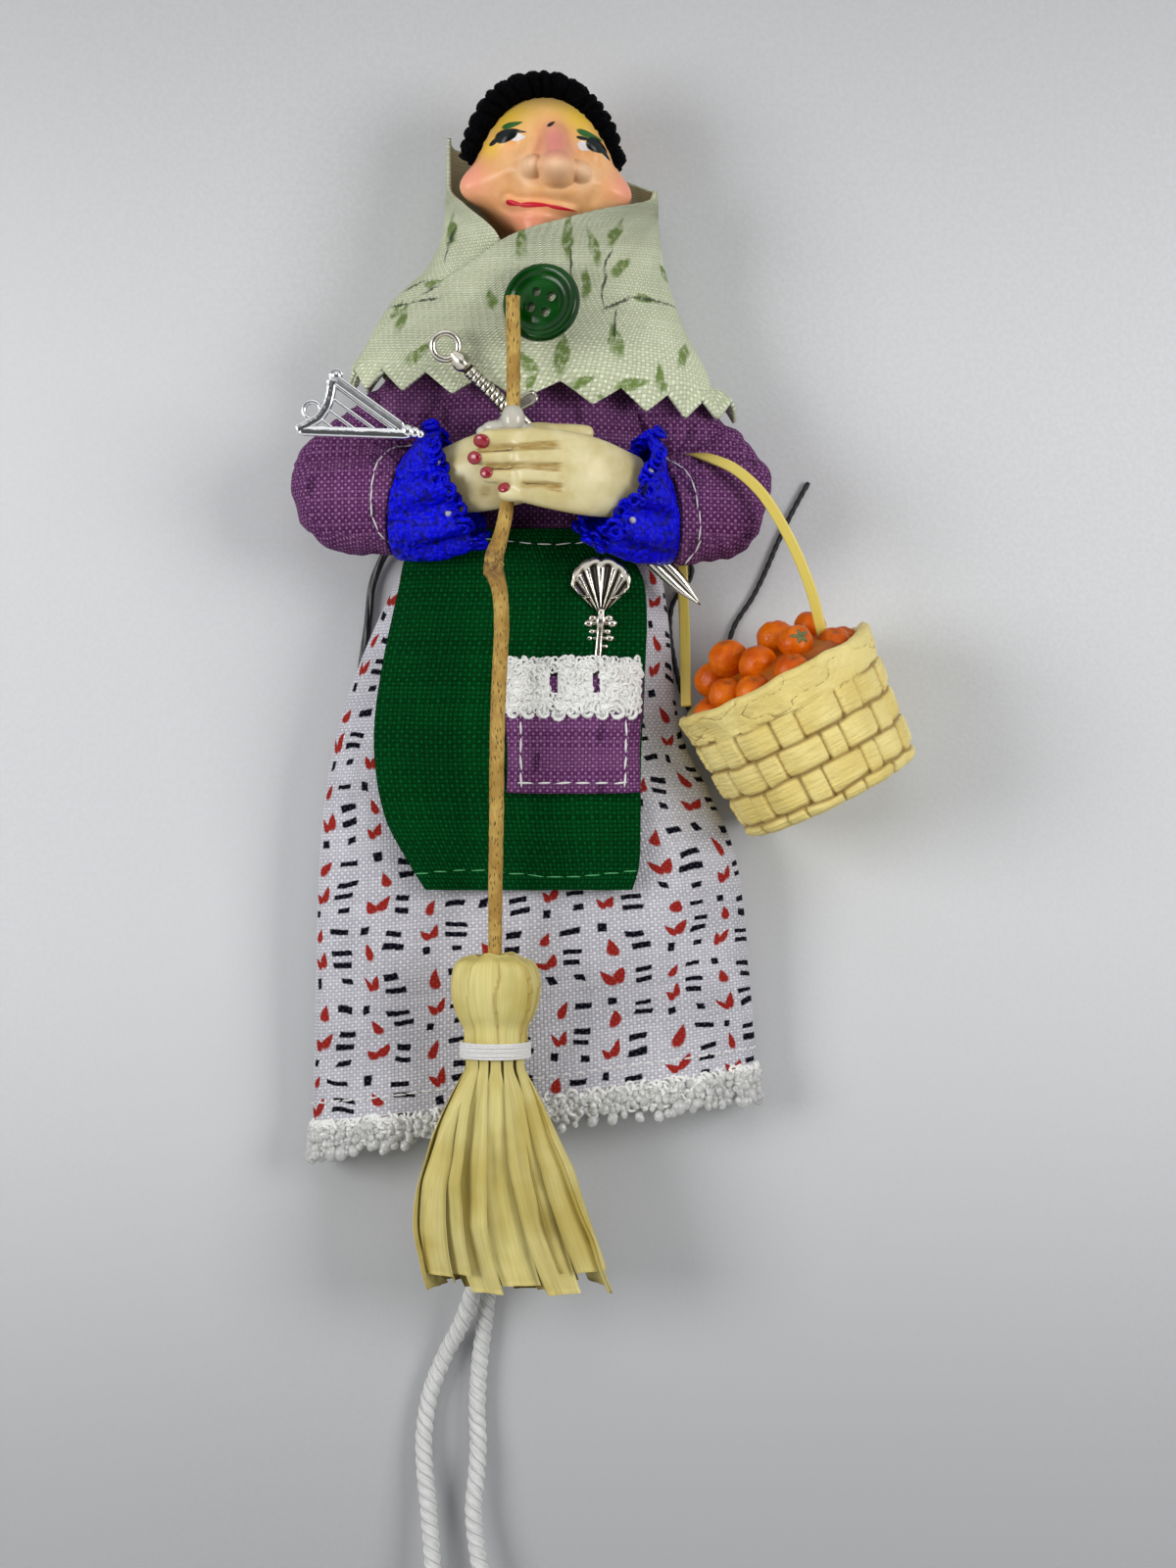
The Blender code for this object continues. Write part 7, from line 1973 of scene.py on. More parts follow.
def raffiaMaterial():
    material, tree = startMaterial("raffiaPaper", 0.45, Specular_IOR_Level=0.25)
    fibre = cloud(tree, stretched(tree, coordinates(tree, "UV"), 2600.0, 90.0), 1.0, 4.0)
    blotch = cloud(tree, coordinates(tree, "Object"), 120.0, 2.0)
    tone = mix(tree, ramp(tree, blotch, 0.3, 0.7), (0.60, 0.50, 0.150), (0.78, 0.70, 0.300))
    tone = mix(tree, ramp(tree, fibre, 0.3, 0.75, 0.45, 0.0), tone, (0.50, 0.385, 0.09))
    # painted shade: the deep attribute turns the pleat creases and the inner ribbon layers dark amber
    tone = mix(tree, attributeOf(tree, "deep"), tone, (0.27, 0.140, 0.004))
    return endMaterial(material, tone, fibre, 0.00006)


def ribbonMesh(centre, side, normal, wide, rng, thick):
    # one creased ribbon: rows down its length, with folds across it
    rows, columns = len(centre), 11
    u = np.linspace(-1, 1, columns)
    bend = np.interp(u, np.linspace(-1, 1, 6), rng.uniform(-0.10, 0.10, 6))
    grid = centre[:, None] + side[:, None] * (u[None, :, None] * wide[:, None, None])
    share = np.linspace(0, 1, rows)
    kink = np.zeros(rows)
    for spot in rng.uniform(0.25, 0.95, 3):
        kink += rng.uniform(-0.00040, 0.00040) * np.maximum(0, 1 - np.abs(share - spot) * 9)
    curl = (u * u - 0.3)[None, :] * wide[:, None] * rng.uniform(-0.30, 0.22)
    grid = grid + normal[:, None] * (bend[None, :] * wide[:, None] * 1.3 + kink[:, None] + curl)[..., None]
    under = grid - normal[:, None] * thick
    points = np.concatenate([grid.reshape(-1, 3), under.reshape(-1, 3)])
    size = rows * columns
    top, topAt = gridFaces(rows, columns, False)
    low, lowAt = gridFaces(rows, columns, False, size, True)
    faces, at = [list(f) for f in top] + [list(f) for f in low], np.concatenate([topAt, lowAt])
    run = np.concatenate([[0], np.cumsum(np.linalg.norm(np.diff(centre, axis=0), axis=1))])
    uvs = list(np.stack([u[at[..., 1]] * wide.mean() + rng.uniform(0, 1), run[at[..., 0]]], -1).reshape(-1,
                                                                                                        2))
    edge = [(0, j) for j in range(columns)] + [(i, columns - 1) for i in range(1, rows)]
    edge += [(rows - 1, j) for j in range(columns - 2, -1, -1)] + [(i, 0) for i in range(rows - 2, 0, -1)]
    for a, b in zip(edge, edge[1:] + edge[:1]):
        a, b = a[0] * columns + a[1], b[0] * columns + b[1]
        faces.append([a, b, size + b, size + a])
        uvs += [uvs[0]] * 4
    return points, faces, np.array(uvs)


def makeBroomHead(b):
    total = b["bulb"] + b["neck"] + b["flare"]
    neckStart, neckEnd = b["bulb"] / total, (b["bulb"] + b["neck"]) / total
    rng = np.random.default_rng(19)
    parts = []
    # the bulb: ribbons folded over the top, seen as flat overlapping pleats
    share = np.linspace(0.0, 1.33, 80)
    swell = along(((0.00, 0.30), (0.03, 0.62), (0.10, 0.86), (0.30, 0.99), (0.52, 1.00), (0.80, 0.88),
                   (0.93, 0.76), (1.06, 0.72),
                   (1.30, 0.72), (1.52, 0.72)), share)[:, 0]
    wide = np.where(share > 0.95, b["neckHalf"][0], b["bulbHalf"][0] * swell)
    deep = np.where(share > 0.95, b["neckHalf"][1], b["bulbHalf"][1] * swell)
    wide = np.convolve(np.pad(wide, 3, mode="edge"), np.ones(7) / 7, "valid")
    deep = np.convolve(np.pad(deep, 3, mode="edge"), np.ones(7) / 7, "valid")
    turn = roundTurn(176)[None, :]
    drift = turn + 0.10 * np.sin(turn * 2 + 1) + ripple(share[:, None] * 1.5, turn * 0.9, 81) * 0.10
    saw = (drift * b["pleats"] / math.tau) % 1
    step = 0.110 * (saw ** 2 - 0.4) + 0.012 * np.sin(saw * math.tau * 1.5)
    c, q = np.cos(turn), np.sin(turn)
    ringX = np.sign(c) * np.abs(c) ** (2 / 2.2) * wide[:, None] * (1 + step)
    ringZ = np.sign(q) * np.abs(q) ** (2 / 2.2) * deep[:, None] * (1 + step)
    axis = broomAxis(share * neckStart, b)
    rings = (axis[:, None] + xWay * ringX[..., None] + zWay * ringZ[..., None]) * mm
    rings[:, :, 1] += ripple(rings[..., 0] * 600, rings[..., 2] * 600, 83) * 0.0003 * np.exp(-share * 9)[:,
                                                                                                         None]
    parts.append(loftMesh(rings))
    # painted shade in the creases between the bulb's pleats
    creaseShade = np.clip(1 - np.minimum(saw, 1 - saw) / 0.05, 0, 1) * np.clip(share[:, None] * 6, 0, 1) * 0.7
    deeps = [np.concatenate([creaseShade.ravel(), [0, 0]])]
    for layer, count, half in b["ribbons"]:
        for k in range(count):
            angle = math.tau * (k + rng.uniform(-0.25, 0.25) + layer) / count
            length = 1 - rng.uniform(0, 0.07)
            s = np.linspace(neckEnd - 0.06, length, 44)
            flare = np.clip((s - neckEnd) / (1 - neckEnd), 0, 1)
            opened = np.sin(math.pi * 0.5 * flare) ** 0.9
            w = (b["neckHalf"][0] + (b["flareHalf"][0] - b["neckHalf"][0]) * opened) * layer - 0.35
            d = (b["neckHalf"][1] + (b["flareHalf"][1] - b["neckHalf"][1]) * opened) * layer - 0.35
            spot = broomAxis(s, b) + xWay * (math.cos(angle) * w)[:, None] + zWay * (math.sin(angle) * d)[:,
                                                                                                          None]
            side = unit(np.array((-math.sin(angle) * b["flareHalf"][0] * 0.6, 0,
                                  math.cos(angle) * b["flareHalf"][1])))
            normal = np.array((side[2], 0, -side[0]))
            spread = np.minimum(half * rng.uniform(0.75, 1.1), 0.75 + (half - 0.75) * opened * 1.15)
            lean = rng.uniform(-0.25, 0.25)
            slant = side * np.cos(lean) + normal * np.sin(lean)
            parts.append(ribbonMesh(spot * mm, np.tile(slant, (len(s), 1)), np.tile(normal, (len(s), 1)),
                                    spread * mm * (1 - 0.12 * flare ** 6), rng, b["thick"]))
            # painted shade: the inner layers are darker, under the outer ones, with a little random spread
            deeps.append(np.full(len(parts[-1][0]), (1 - layer) * 0.75 + rng.uniform(0, 0.12)))
    points, faces, uvs = joinMeshes(parts)
    head = newPiece("raffiaHead", points, faces, raffiaMaterial(), uvs, recalc=False)
    paint(head.data, "deep", np.concatenate(deeps))
    finishPiece(head, "doll", ("broom_head",))
    # white thread wound tight round the neck
    strands = []
    middle = (neckStart + neckEnd) / 2
    for k in range(b["threads"]):
        at = (k / (b["threads"] - 1) - 0.5) * 2.1
        turn = roundTurn(90)
        tilt = rng.uniform(-0.25, 0.25)
        wide, deep = b["neckHalf"][0] + 0.55, b["neckHalf"][1] + 0.55
        ring = broomAxis(middle + at / total + 0 * turn, b)
        ring = ring + np.stack([np.cos(turn) * wide, -np.sin(turn) * tilt, np.sin(turn) * deep], -1)
        strands.append(closedMesh(sweep(ring * mm, (0.00022, 0.00019), 8, lean=yWay, closed=True)))
    binding = newPiece("neckBinding", *joinMeshes(strands)[:2], whiteThread)
    finishPiece(binding, "doll", ("broom_binding",))
    print("broom made")


makeStick(stickSettings)
makeGlue(glueSettings)
makeBroomHead(broomSettings)


# basket and fruit
basketLook = {
    "columns": 460, "rimBand": 0.0044, "band": 0.0046, "stakes": 9, "stakeShare": 0.32, "strip": 0.00055,
    "groove": 0.00055, "grain": 0.00009, "lump": 0.00040, "border": 0.00022,
}


def basketPlace(side, out, rise):
    axis, across, up = basketWays()
    return basketSettings["rim"] + across * side + axis * out + up * rise


def creamMaterial():
    material, tree = startMaterial("creamCast", 0.45, Specular_IOR_Level=0.3)
    place = coordinates(tree, "Object")
    deep = attributeOf(tree, "deep")
    broad, fine = cloud(tree, place, 130.0, 3.0), cloud(tree, place, 1500.0, 4.0)
    tone = mix(tree, ramp(tree, broad, 0.3, 0.7), (0.76, 0.60, 0.185), (0.88, 0.74, 0.290))
    # painted shade: the deep attribute darkens the recesses to brown
    tone = mix(tree, ramp(tree, deep, 0.15, 0.85), tone, (0.40, 0.275, 0.085))
    tone = mix(tree, ramp(tree, fine, 0.60, 0.75, 0.0, 0.25), tone, (0.55, 0.41, 0.16))
    grain = cloud(tree, stretched(tree, coordinates(tree, "UV"), 120.0, 3600.0), 1.0, 4.0)
    return endMaterial(material, tone, plus(tree, times(tree, grain, 0.9), fine), 0.00016)


def makeBasketWall(s, b):
    turn = roundTurn(s["columns"])[None, :]
    depth = np.concatenate([np.linspace(0.0002, s["rimBand"], 34),
                            np.linspace(s["rimBand"], b["height"] - 0.0004, 130)[1:]])
    d = depth[:, None] + 0 * turn
    wander = ripple(turn * 3, d / 0.006, 91) * 0.0003
    band = (d - s["rimBand"] + wander) / s["band"]
    row, inBand = np.floor(band), band - np.floor(band)
    stake = turn / math.tau * s["stakes"] * 2 + row + ripple(turn * 4, row + 7, 93) * 0.10
    stakeAt = (stake % 2) - 1
    edge = np.clip((s["stakeShare"] - np.abs(stakeAt)) / 0.05 + 0.5, 0, 1)
    flat = 1 - (2 * inBand - 1) ** 6
    strip = s["strip"] * (np.cos(np.clip(np.abs(stakeAt), 0, 1) * math.pi) * -0.9 + 0.1) * (1 - edge)
    shelf = -s["groove"] * (1 - flat) - 0.00025 * np.clip((inBand - 0.8) * 5, 0, 1) * (1 - edge)
    grain = ripple(turn * 5 + row * 3, d / 0.00026, 95) * s["grain"]
    border = bell((np.abs(stakeAt) - s["stakeShare"] - 0.03) / 0.045) * np.clip(flat * 1.4, 0, 1)
    woven = strip + shelf + grain + edge * 0.00035 - border * s["border"]
    crack = np.abs(ripple(turn * 2.2, d / 0.0018, 99))
    rim = ripple(turn * 2.4, d / 0.0035, 97) * s["lump"] + 0.00035 + ripple(turn * 12, d / 0.001,
                                                                            98) * 0.00010
    rim = rim - 0.0003 * bell(crack / 0.035)
    blend = np.clip((d - s["rimBand"] + 0.0004 + ripple(turn * 3, d * 0, 96) * 0.0007) / 0.0006, 0, 1)
    out = rim * (1 - blend) + woven * blend
    # painted shade: deep is high in the grooves under each band, beside the stakes and in the cracks of the
    # rim
    deep = np.clip(blend * (border * 0.40 - (shelf + np.minimum(strip, 0)) / 0.0006), 0,
                   1) + (1 - blend) * bell(crack / 0.04) * 0.8
    foot = np.clip((d - b["height"] + 0.0016) / 0.0016, 0, 1)
    radius = basketRadius(d) + out - 0.0008 * foot ** 3
    lumpy = ripple(turn * 2.6, turn * 0 + 3, 94) * 0.00055
    axis, across, up = basketWays()

    def ring(radius, depth):
        flat = across * np.cos(turn[0])[:, None] + up * np.sin(turn[0])[:, None]
        depth, radius = (np.broadcast_to(size, turn[0].shape)[:, None] for size in (depth, radius))
        return b["rim"] - axis * depth + flat * radius

    rings, deeps = [], []
    inner = b["height"] - b["floor"]
    # painted shade at half strength on the inside of the wall
    for q in np.linspace(inner, 0.0008, 12):
        rings.append(ring(basketRadius(q) - b["wall"], q))
        deeps.append(np.full(s["columns"], 0.5))
    top = basketRadius(0)
    for lift, inset in ((0.0000, 1.00), (-0.0004, 0.80), (-0.0006, 0.55), (-0.0005, 0.28)):
        rings.append(ring(top - b["wall"] * inset + rim[0] * (1 - inset), lift + lumpy[0] * (1.2 - inset)))
        deeps.append(np.zeros(s["columns"]))
    for q, wide, shade in zip(depth, radius, deep):
        rings.append(ring(wide, q + lumpy[0] * max(0.0, 1 - q / 0.003)))
        deeps.append(shade)
    # a little painted shade on the underside
    for shrink in (0.97, 0.80, 0.4):
        rings.append(ring(radius[-1] * shrink, b["height"]))
        deeps.append(np.full(s["columns"], 0.2))
    basket = loftPiece("castBasket", np.array(rings), creamMaterial())
    paint(basket.data, "deep", np.concatenate([np.concatenate(deeps), [0.5, 0.2]]))
    finishPiece(basket, "basket", ("basket",))
    print("basket made")


handleSettings = {
    "width": 0.0016, "thick": 0.0005,
    "route": ((44.0, -4.6, 17.8, .95, .30, 0), (42.2, -.4, 19.0, .97, .24, 0),
              (40.7, 5.0, 20.5, .94, .32, 0),
              (38.6, 10.3, 21.6, .90, .42, 0), (36.3, 14.8, 22.2, .82, .56, 0),
              (33.1, 19.7, 22.5, .65, .76, 0),
              (29.4, 23.1, 22.3, .40, .90, -.1), (26.0, 24.8, 21.2, .25, .80, -.5),
              (23.6, 25.7, 18.8, .65, .25, -.6),
              (22.4, 25.9, 15.0, 1, 0, -.1), (22.2, 25.9, 10.0, 1, 0, 0), (22.2, 25.6, 5.2, 1, 0, 0),
              (22.2, 23.6, 2.1, 1, 0, 0), (22.2, 18.0, 1.7, 1, 0, 0), (22.2, 11.0, 1.7, 1, 0, 0),
              (22.3, 6.0, 2.5, 1, 0, 0), (22.4, 1.0, 5.4, 1, .02, 0), (22.4, -4.4, 9.2, .98, .1, 0),
              (22.4, -11.2, 13.0, .98, .15, 0)),
}


def plasticMaterial():
    material, tree = startMaterial("yellowStrip", 0.34, Subsurface_Weight=0.1, Subsurface_Scale=0.001)
    drawn = cloud(tree, stretched(tree, coordinates(tree, "UV"), 2400.0, 60.0), 1.0, 3.0)
    return endMaterial(material, mix(tree, drawn, (0.62, 0.47, 0.07), (0.78, 0.645, 0.155)), drawn, 0.00003)


def makeHandle(s):
    route = np.array(s["route"])
    rows = along(np.column_stack([np.linspace(0, 1, len(route)), route]), np.linspace(0, 1, 260))
    path, width = rows[:, :3] * mm, rows[:, 3:]
    ahead = np.gradient(path, axis=0)
    thin = unit(np.cross(ahead, width))
    wide = unit(np.cross(thin, ahead))
    rings = np.stack([oval(p, w, t, s["width"] / 2, s["thick"] / 2, 20, 3.4) for p, w,
                      t in zip(path, wide, thin)])
    handle = loftPiece("stripHandle", rings, plasticMaterial())
    finishPiece(handle, "basket", ("basket_handle",))
    blob = glueSkin("handleGlue", np.zeros(3), glueSettings["handleBlobs"], glueSettings["handleVoxel"])
    finishPiece(blob, "basket")
    print("handle made")


fruitSettings = {
    "diameter": 0.0058, "bedDepth": 0.0105,
    "fruits": ((-0.85, 0.94, 0.40, 1.03), (-1.40, 0.58, -0.38, 0.96), (-0.30, 0.52, 1.22, 1.00),
               (0.48, 0.84, 0.22, 1.00), (0.80, 0.60, 1.28, 0.88), (1.46, 0.68, -0.36, 0.84)),
    "stems": ((-0.25, 0.92, 0.3), (-0.5, 0.8, -0.3), (-0.7, 0.5, -0.6), (-0.2, 0.95, -0.2),
              (0.25, 0.35, 0.90), (0.2, 0.9, 0.1)),
    "sunk": ((-1.9, -0.1, 0.9), (-1.35, 0.2, 1.35), (-1.0, -0.05, -1.5), (0.2, 0.12, -1.0), (1.2, 0.0, -1.4),
             (1.7, 0.05, 0.7), (-0.1, -0.15, -1.9), (0.35, 0.05, 2.0), (-0.75, 0.0, 1.9), (2.0, -0.1, -0.4)),
}


def fruitMaterial():
    material, tree = startMaterial("orangeSkin", 0.30, Specular_IOR_Level=0.20)
    place = coordinates(tree, "Object")
    broad, pits = cloud(tree, place, 330.0, 3.0), cells(tree, place, 2600.0)
    tone = mix(tree, ramp(tree, broad, 0.3, 0.72), (0.54, 0.075, 0.000), (0.76, 0.165, 0.001))
    # darker brown at the stem ends, and as painted shade over the heap under the loose fruits
    tone = mix(tree, times(tree, attributeOf(tree, "stem"), 0.9), tone, (0.33, 0.095, 0.010))
    return endMaterial(material, tone, pits, 0.00005)


def fruitBall(centre, radius, stem, seed, rows=46, columns=60):
    # a ball flattened a little towards its dimpled stem end
    tilt = np.linspace(0.02, math.pi - 0.02, rows)[:, None]
    turn = roundTurn(columns)[None, :]
    way = unit(np.array(stem, float))
    side = unit(np.cross(way, zWay + 0.01))
    up = np.cross(side, way)
    lumps = 1 + ripple(turn * 1.3 + seed, tilt * 2, seed) * 0.03 + 0.015 * np.cos(turn * 5 + seed)
    r = radius * lumps * (1 - 0.16 * bell(tilt / 0.30) - 0.05 * bell((math.pi - tilt) / 0.3))
    points = (np.array(centre) + way * (r * np.cos(tilt))[...,
                                                          None] * 0.95 + side * (r * np.sin(tilt) * np.cos(turn))[..., None]
              + up * (r * np.sin(tilt) * np.sin(turn))[..., None])
    stain = np.concatenate([np.repeat(bell(tilt[:, 0] / 0.24), columns), [1, 0]])
    return loftMesh(points), stain


def makeFruit(s):
    orange = fruitMaterial()
    for number, ((side, out, up, size), stem) in enumerate(zip(s["fruits"], s["stems"]), 1):
        centre = basketPlace(*(np.array((side, out, up)) * s["diameter"]))
        mesh, stain = fruitBall(centre, s["diameter"] / 2 * size, stem, number + 60)
        fruit = newPiece(f"orange{number}", *mesh[:2], orange)
        paint(fruit.data, "stem", stain)
        finishPiece(fruit, "basket", (f"fruit_{number}",))
        if number == 5:
            makeCalyx(centre, s["diameter"] / 2 * size, unit(np.array(stem)))
    parts = []
    axis, across, rise = basketWays()
    for wide, depth in ((0.98, 1.0), (1.0, 0.6), (1.0, 0.12), (0.86, -0.12), (0.60, -0.26), (0.30, -0.32)):
        d = s["bedDepth"] * depth
        r = (basketRadius(max(0, d)) - basketSettings["wall"] - 0.0003) * wide
        parts.append(oval(basketSettings["rim"] - axis * d, across, rise, r, r, 90))
    heap = [loftMesh(np.array(parts))]
    # painted shade: the heap under the loose fruits is darkened all over
    stemStainsAndShade = [np.full(len(heap[0][0]), 0.9)]
    for number, place in enumerate(s["sunk"]):
        centre = basketPlace(*(np.array(place) * s["diameter"]))
        mesh, stain = fruitBall(centre, s["diameter"] * 0.46, (0, 0.8, 0.5), number + 80, 24, 32)
        heap.append(mesh)
        stemStainsAndShade.append(stain)
    bed = newPiece("orangeHeap", *joinMeshes(heap)[:2], orange)
    paint(bed.data, "stem", np.concatenate(stemStainsAndShade))
    finishPiece(bed, "basket", ("fruit_bed",))
    print("fruit made")


def makeCalyx(centre, radius, way):
    # a dry green star where the stem broke off
    dry = mottled("calyx", 0.7, 2600.0, 3.0, (0.06, 0.07, 0.02), (0.24, 0.26, 0.10), 0.0001)
    side = unit(np.cross(way, zWay + 0.01))
    up = np.cross(side, way)
    turn = roundTurn(80)
    star = 0.00060 + 0.00075 * np.abs(np.cos(turn * 2.5)) ** 3 * (1 + 0.3 * np.sin(turn * 3))
    rings = []
    for share, lift in ((1.0, -0.00030), (0.98, 0.00002), (0.6, 0.00010), (0.25, 0.00022), (0.12, 0.00050)):
        flat = (side * np.cos(turn)[:, None] + up * np.sin(turn)[:, None]) * (star * share)[:, None]
        sag = (star * share) ** 2 / (2 * radius)
        rings.append(centre + way * (radius * 0.90 + lift - sag[:, None] * 0.6) + flat)
    finishPiece(loftPiece("calyx", np.array(rings), dry), "basket")


makeBasketWall(basketLook, basketSettings)
makeHandle(handleSettings)
makeFruit(fruitSettings)

# metal charms


def metalMaterial(name, bright, dark, roughness):
    material, tree = startMaterial(name, roughness, Metallic=1.0)
    place = coordinates(tree, "Object")
    cast, deep = cloud(tree, place, 900.0, 4.0), attributeOf(tree, "deep")
    tarnish = ramp(tree, plus(tree, times(tree, cast, 0.35), deep), 0.35, 0.95)
    dull = ramp(tree, tarnish, 0.0, 1.0, roughness, roughness + 0.35)
    tree.links.new(dull, tree.nodes["Principled BSDF"].inputs["Roughness"])
    return endMaterial(material, mix(tree, tarnish, bright, dark), cast, 0.00005)


antique = metalMaterial("antiqueSilver", (0.62, 0.585, 0.50), (0.035, 0.030, 0.022), 0.20)
bright = metalMaterial("brightPlate", (0.68, 0.69, 0.70), (0.10, 0.10, 0.11), 0.14)


def hoopMesh(centre, first, second, radius, wire, count=64, sides=20):
    turn = roundTurn(count)
    out = first * np.cos(turn)[:, None] + second * np.sin(turn)[:, None]
    normal = unit(np.cross(first, second))
    return closedMesh(np.stack([oval(centre + o * radius, o, normal, wire, wire, sides) for o in out]))


def barMesh(route, wide, deep, count=24, power=2.6, rows=40, lean=zWay, taper=None):
    # a rounded bar along a smooth route, with softened ends
    path = routePoints(np.array(route, float), rows)
    share = np.linspace(0, 1, rows)
    size = np.ones(rows) if taper is None else along(taper, share)[:, 0]
    ends = np.sqrt(np.clip(1 - np.clip(1 - np.minimum(share, 1 - share) * rows / 3, 0, 1) ** 2, 0.05, 1))
    return loftMesh(sweep(path, np.stack([wide * size * ends, deep * size * ends], -1), count, lean, power))


def metalPiece(name, parts, deeps, material, node):
    # the parts are in mm, and deeps says how tarnished each one is
    points, faces = joinMeshes([(p * mm, f, uv) for p, f, uv in parts])[:2]
    piece = newPiece(name, points, faces, material)
    paint(piece.data, "deep", np.concatenate([np.broadcast_to(d, len(p[0])) for d, p in zip(deeps, parts)]))
    finishPiece(piece, "doll", (node,))
    print(name, "made")


swordSettings = {
    "pommel": (-13.0, 40.8, 25.2), "tip": (24.4, 3.8, 15.5), "ring": 4.4, "wire": 0.9, "grip": 2.3,
    "gripLength": 12.0,
    "guard": 4.4, "blade": 3.0, "bladeThick": 0.9, "wraps": 8,
}


def makeSword(s):
    pommel, tip = np.array(s["pommel"]), np.array(s["tip"])
    way = unit(tip - pommel)
    side = unit(np.cross(way, zWay))
    up = unit(np.cross(side, way))
    parts = [hoopMesh(pommel, way, side, s["ring"] / 2 - s["wire"] / 2 + 0.15, s["wire"] / 2 + 0.08)]
    deeps = [0.12]
    start = pommel + way * (s["ring"] / 2 - s["wire"])
    end = start + way * s["gripLength"]
    share = np.linspace(0, 1, 260)
    half = along(((0, 0.50), (0.04, 0.70), (0.12, 1.12), (0.22, 1.10), (0.28, 0.72), (0.31, 0.98),
                  (0.35, 0.86), (0.9, 0.92),
                  (1.0, 1.05)), share)[:, 0]
    turn = roundTurn(48)[None, :]
    wrap = np.clip((share[:, None] - 0.34) * 30, 0, 1) * np.clip((0.97 - share[:, None]) * 30, 0, 1)
    phase = share[:, None] * s["wraps"] / 0.63 + turn / math.tau
    rib = np.abs(np.sin(math.pi * phase)) ** 0.6
    facet = np.clip(1 - np.abs(share[:, None] - 0.17) * 9, 0, 1) * 0.06 * np.cos(turn * 4)
    swell = (1 + wrap * 0.20 * (rib - 0.62) + facet)
    path = start + (end - start) * share[:, None]
    radius = s["grip"] / 2 * half[:, None] * swell
    rings = path[:, None] + side * (radius * np.cos(turn))[..., None] + up * (radius * np.sin(turn))[...,
                                                                                                     None]
    parts.append(loftMesh(rings))
    groove = wrap * np.clip(1 - rib * 1.25, 0, 1) + bell((share[:,
                                                                None] - 0.28) / 0.02) * 0.9 + 0.12 + 0 * turn
    deeps.append(np.concatenate([groove.ravel(), [0, 0]]))
    for sign in (-1, 1):
        arm = unit(side * sign + way * 0.22)
        route = [end + arm * q for q in np.linspace(-0.5, s["guard"] + 0.35, 6)]
        across = unit(np.cross(arm, up))
        parts.append(barMesh(route, 0.95, 0.42, power=3.0, lean=up,
                             taper=((0, 0.7), (0.25, 0.85), (0.7, 1.05), (1, 0.95))))
        deeps.append(0.55)
        for rail in (-1, 1):
            line = [end + arm * q + across * rail * w + up * 0.22 for q,
                    w in ((0.3, 0.45), (2.0, 0.66), (3.8, 0.70), (4.5, 0.30))]
            parts.append(barMesh(line, 0.24, 0.34, lean=up))
            deeps.append(0.0)
    rings, groove = [], []
    for q in np.linspace(0, 1, 60):
        centre = end - way * 0.9 + (tip - end + way * 0.9) * q
        wide = s["blade"] / 2 * float(along(((0, 0.9), (0.3, 0.92), (0.75, 1.0), (0.9, 0.8), (1.0, 0.06)),
                                            np.array([q]))[0, 0])
        thick = s["bladeThick"] / 2 * min(1.0, wide / (s["blade"] / 2) + 0.3)
        section = ((-1, 0.05), (-0.55, 0.85), (-0.20, 0.72), (-0.07, 0.10), (0.07, 0.10), (0.20, 0.72),
                   (0.55, 0.85), (1, 0.05),
                   (1, -0.05), (0.5, -0.85), (0, -1), (-0.5, -0.85), (-1, -0.05))
        rings.append(np.array([centre + side * a * wide + up * b * thick for a, b in section]))
        groove.append([0.9 if abs(a) < 0.1 and b > 0 else 0.0 for a, b in section])
    parts.append(loftMesh(np.array(rings)))
    deeps.append(np.concatenate([np.ravel(groove), [0, 0]]))
    metalPiece("swordCharm", parts, deeps, antique, "sword_charm")


harpSettings = {
    "foot": (-34.6, 28.3), "heel": (-18.0, 27.7), "crown": (-29.0, 35.7), "z": 27.4,
    "neck": ((-28.6, 36.0), (-29.3, 35.0), (-29.6, 33.4), (-30.1, 31.8), (-31.2, 30.2), (-32.8, 29.2),
             (-34.6, 28.3)),
    "ring": (-32.2, 31.2), "ringRadius": 1.25, "bar": 0.72, "strings": (0.13, 0.30, 0.47, 0.64, 0.80),
}


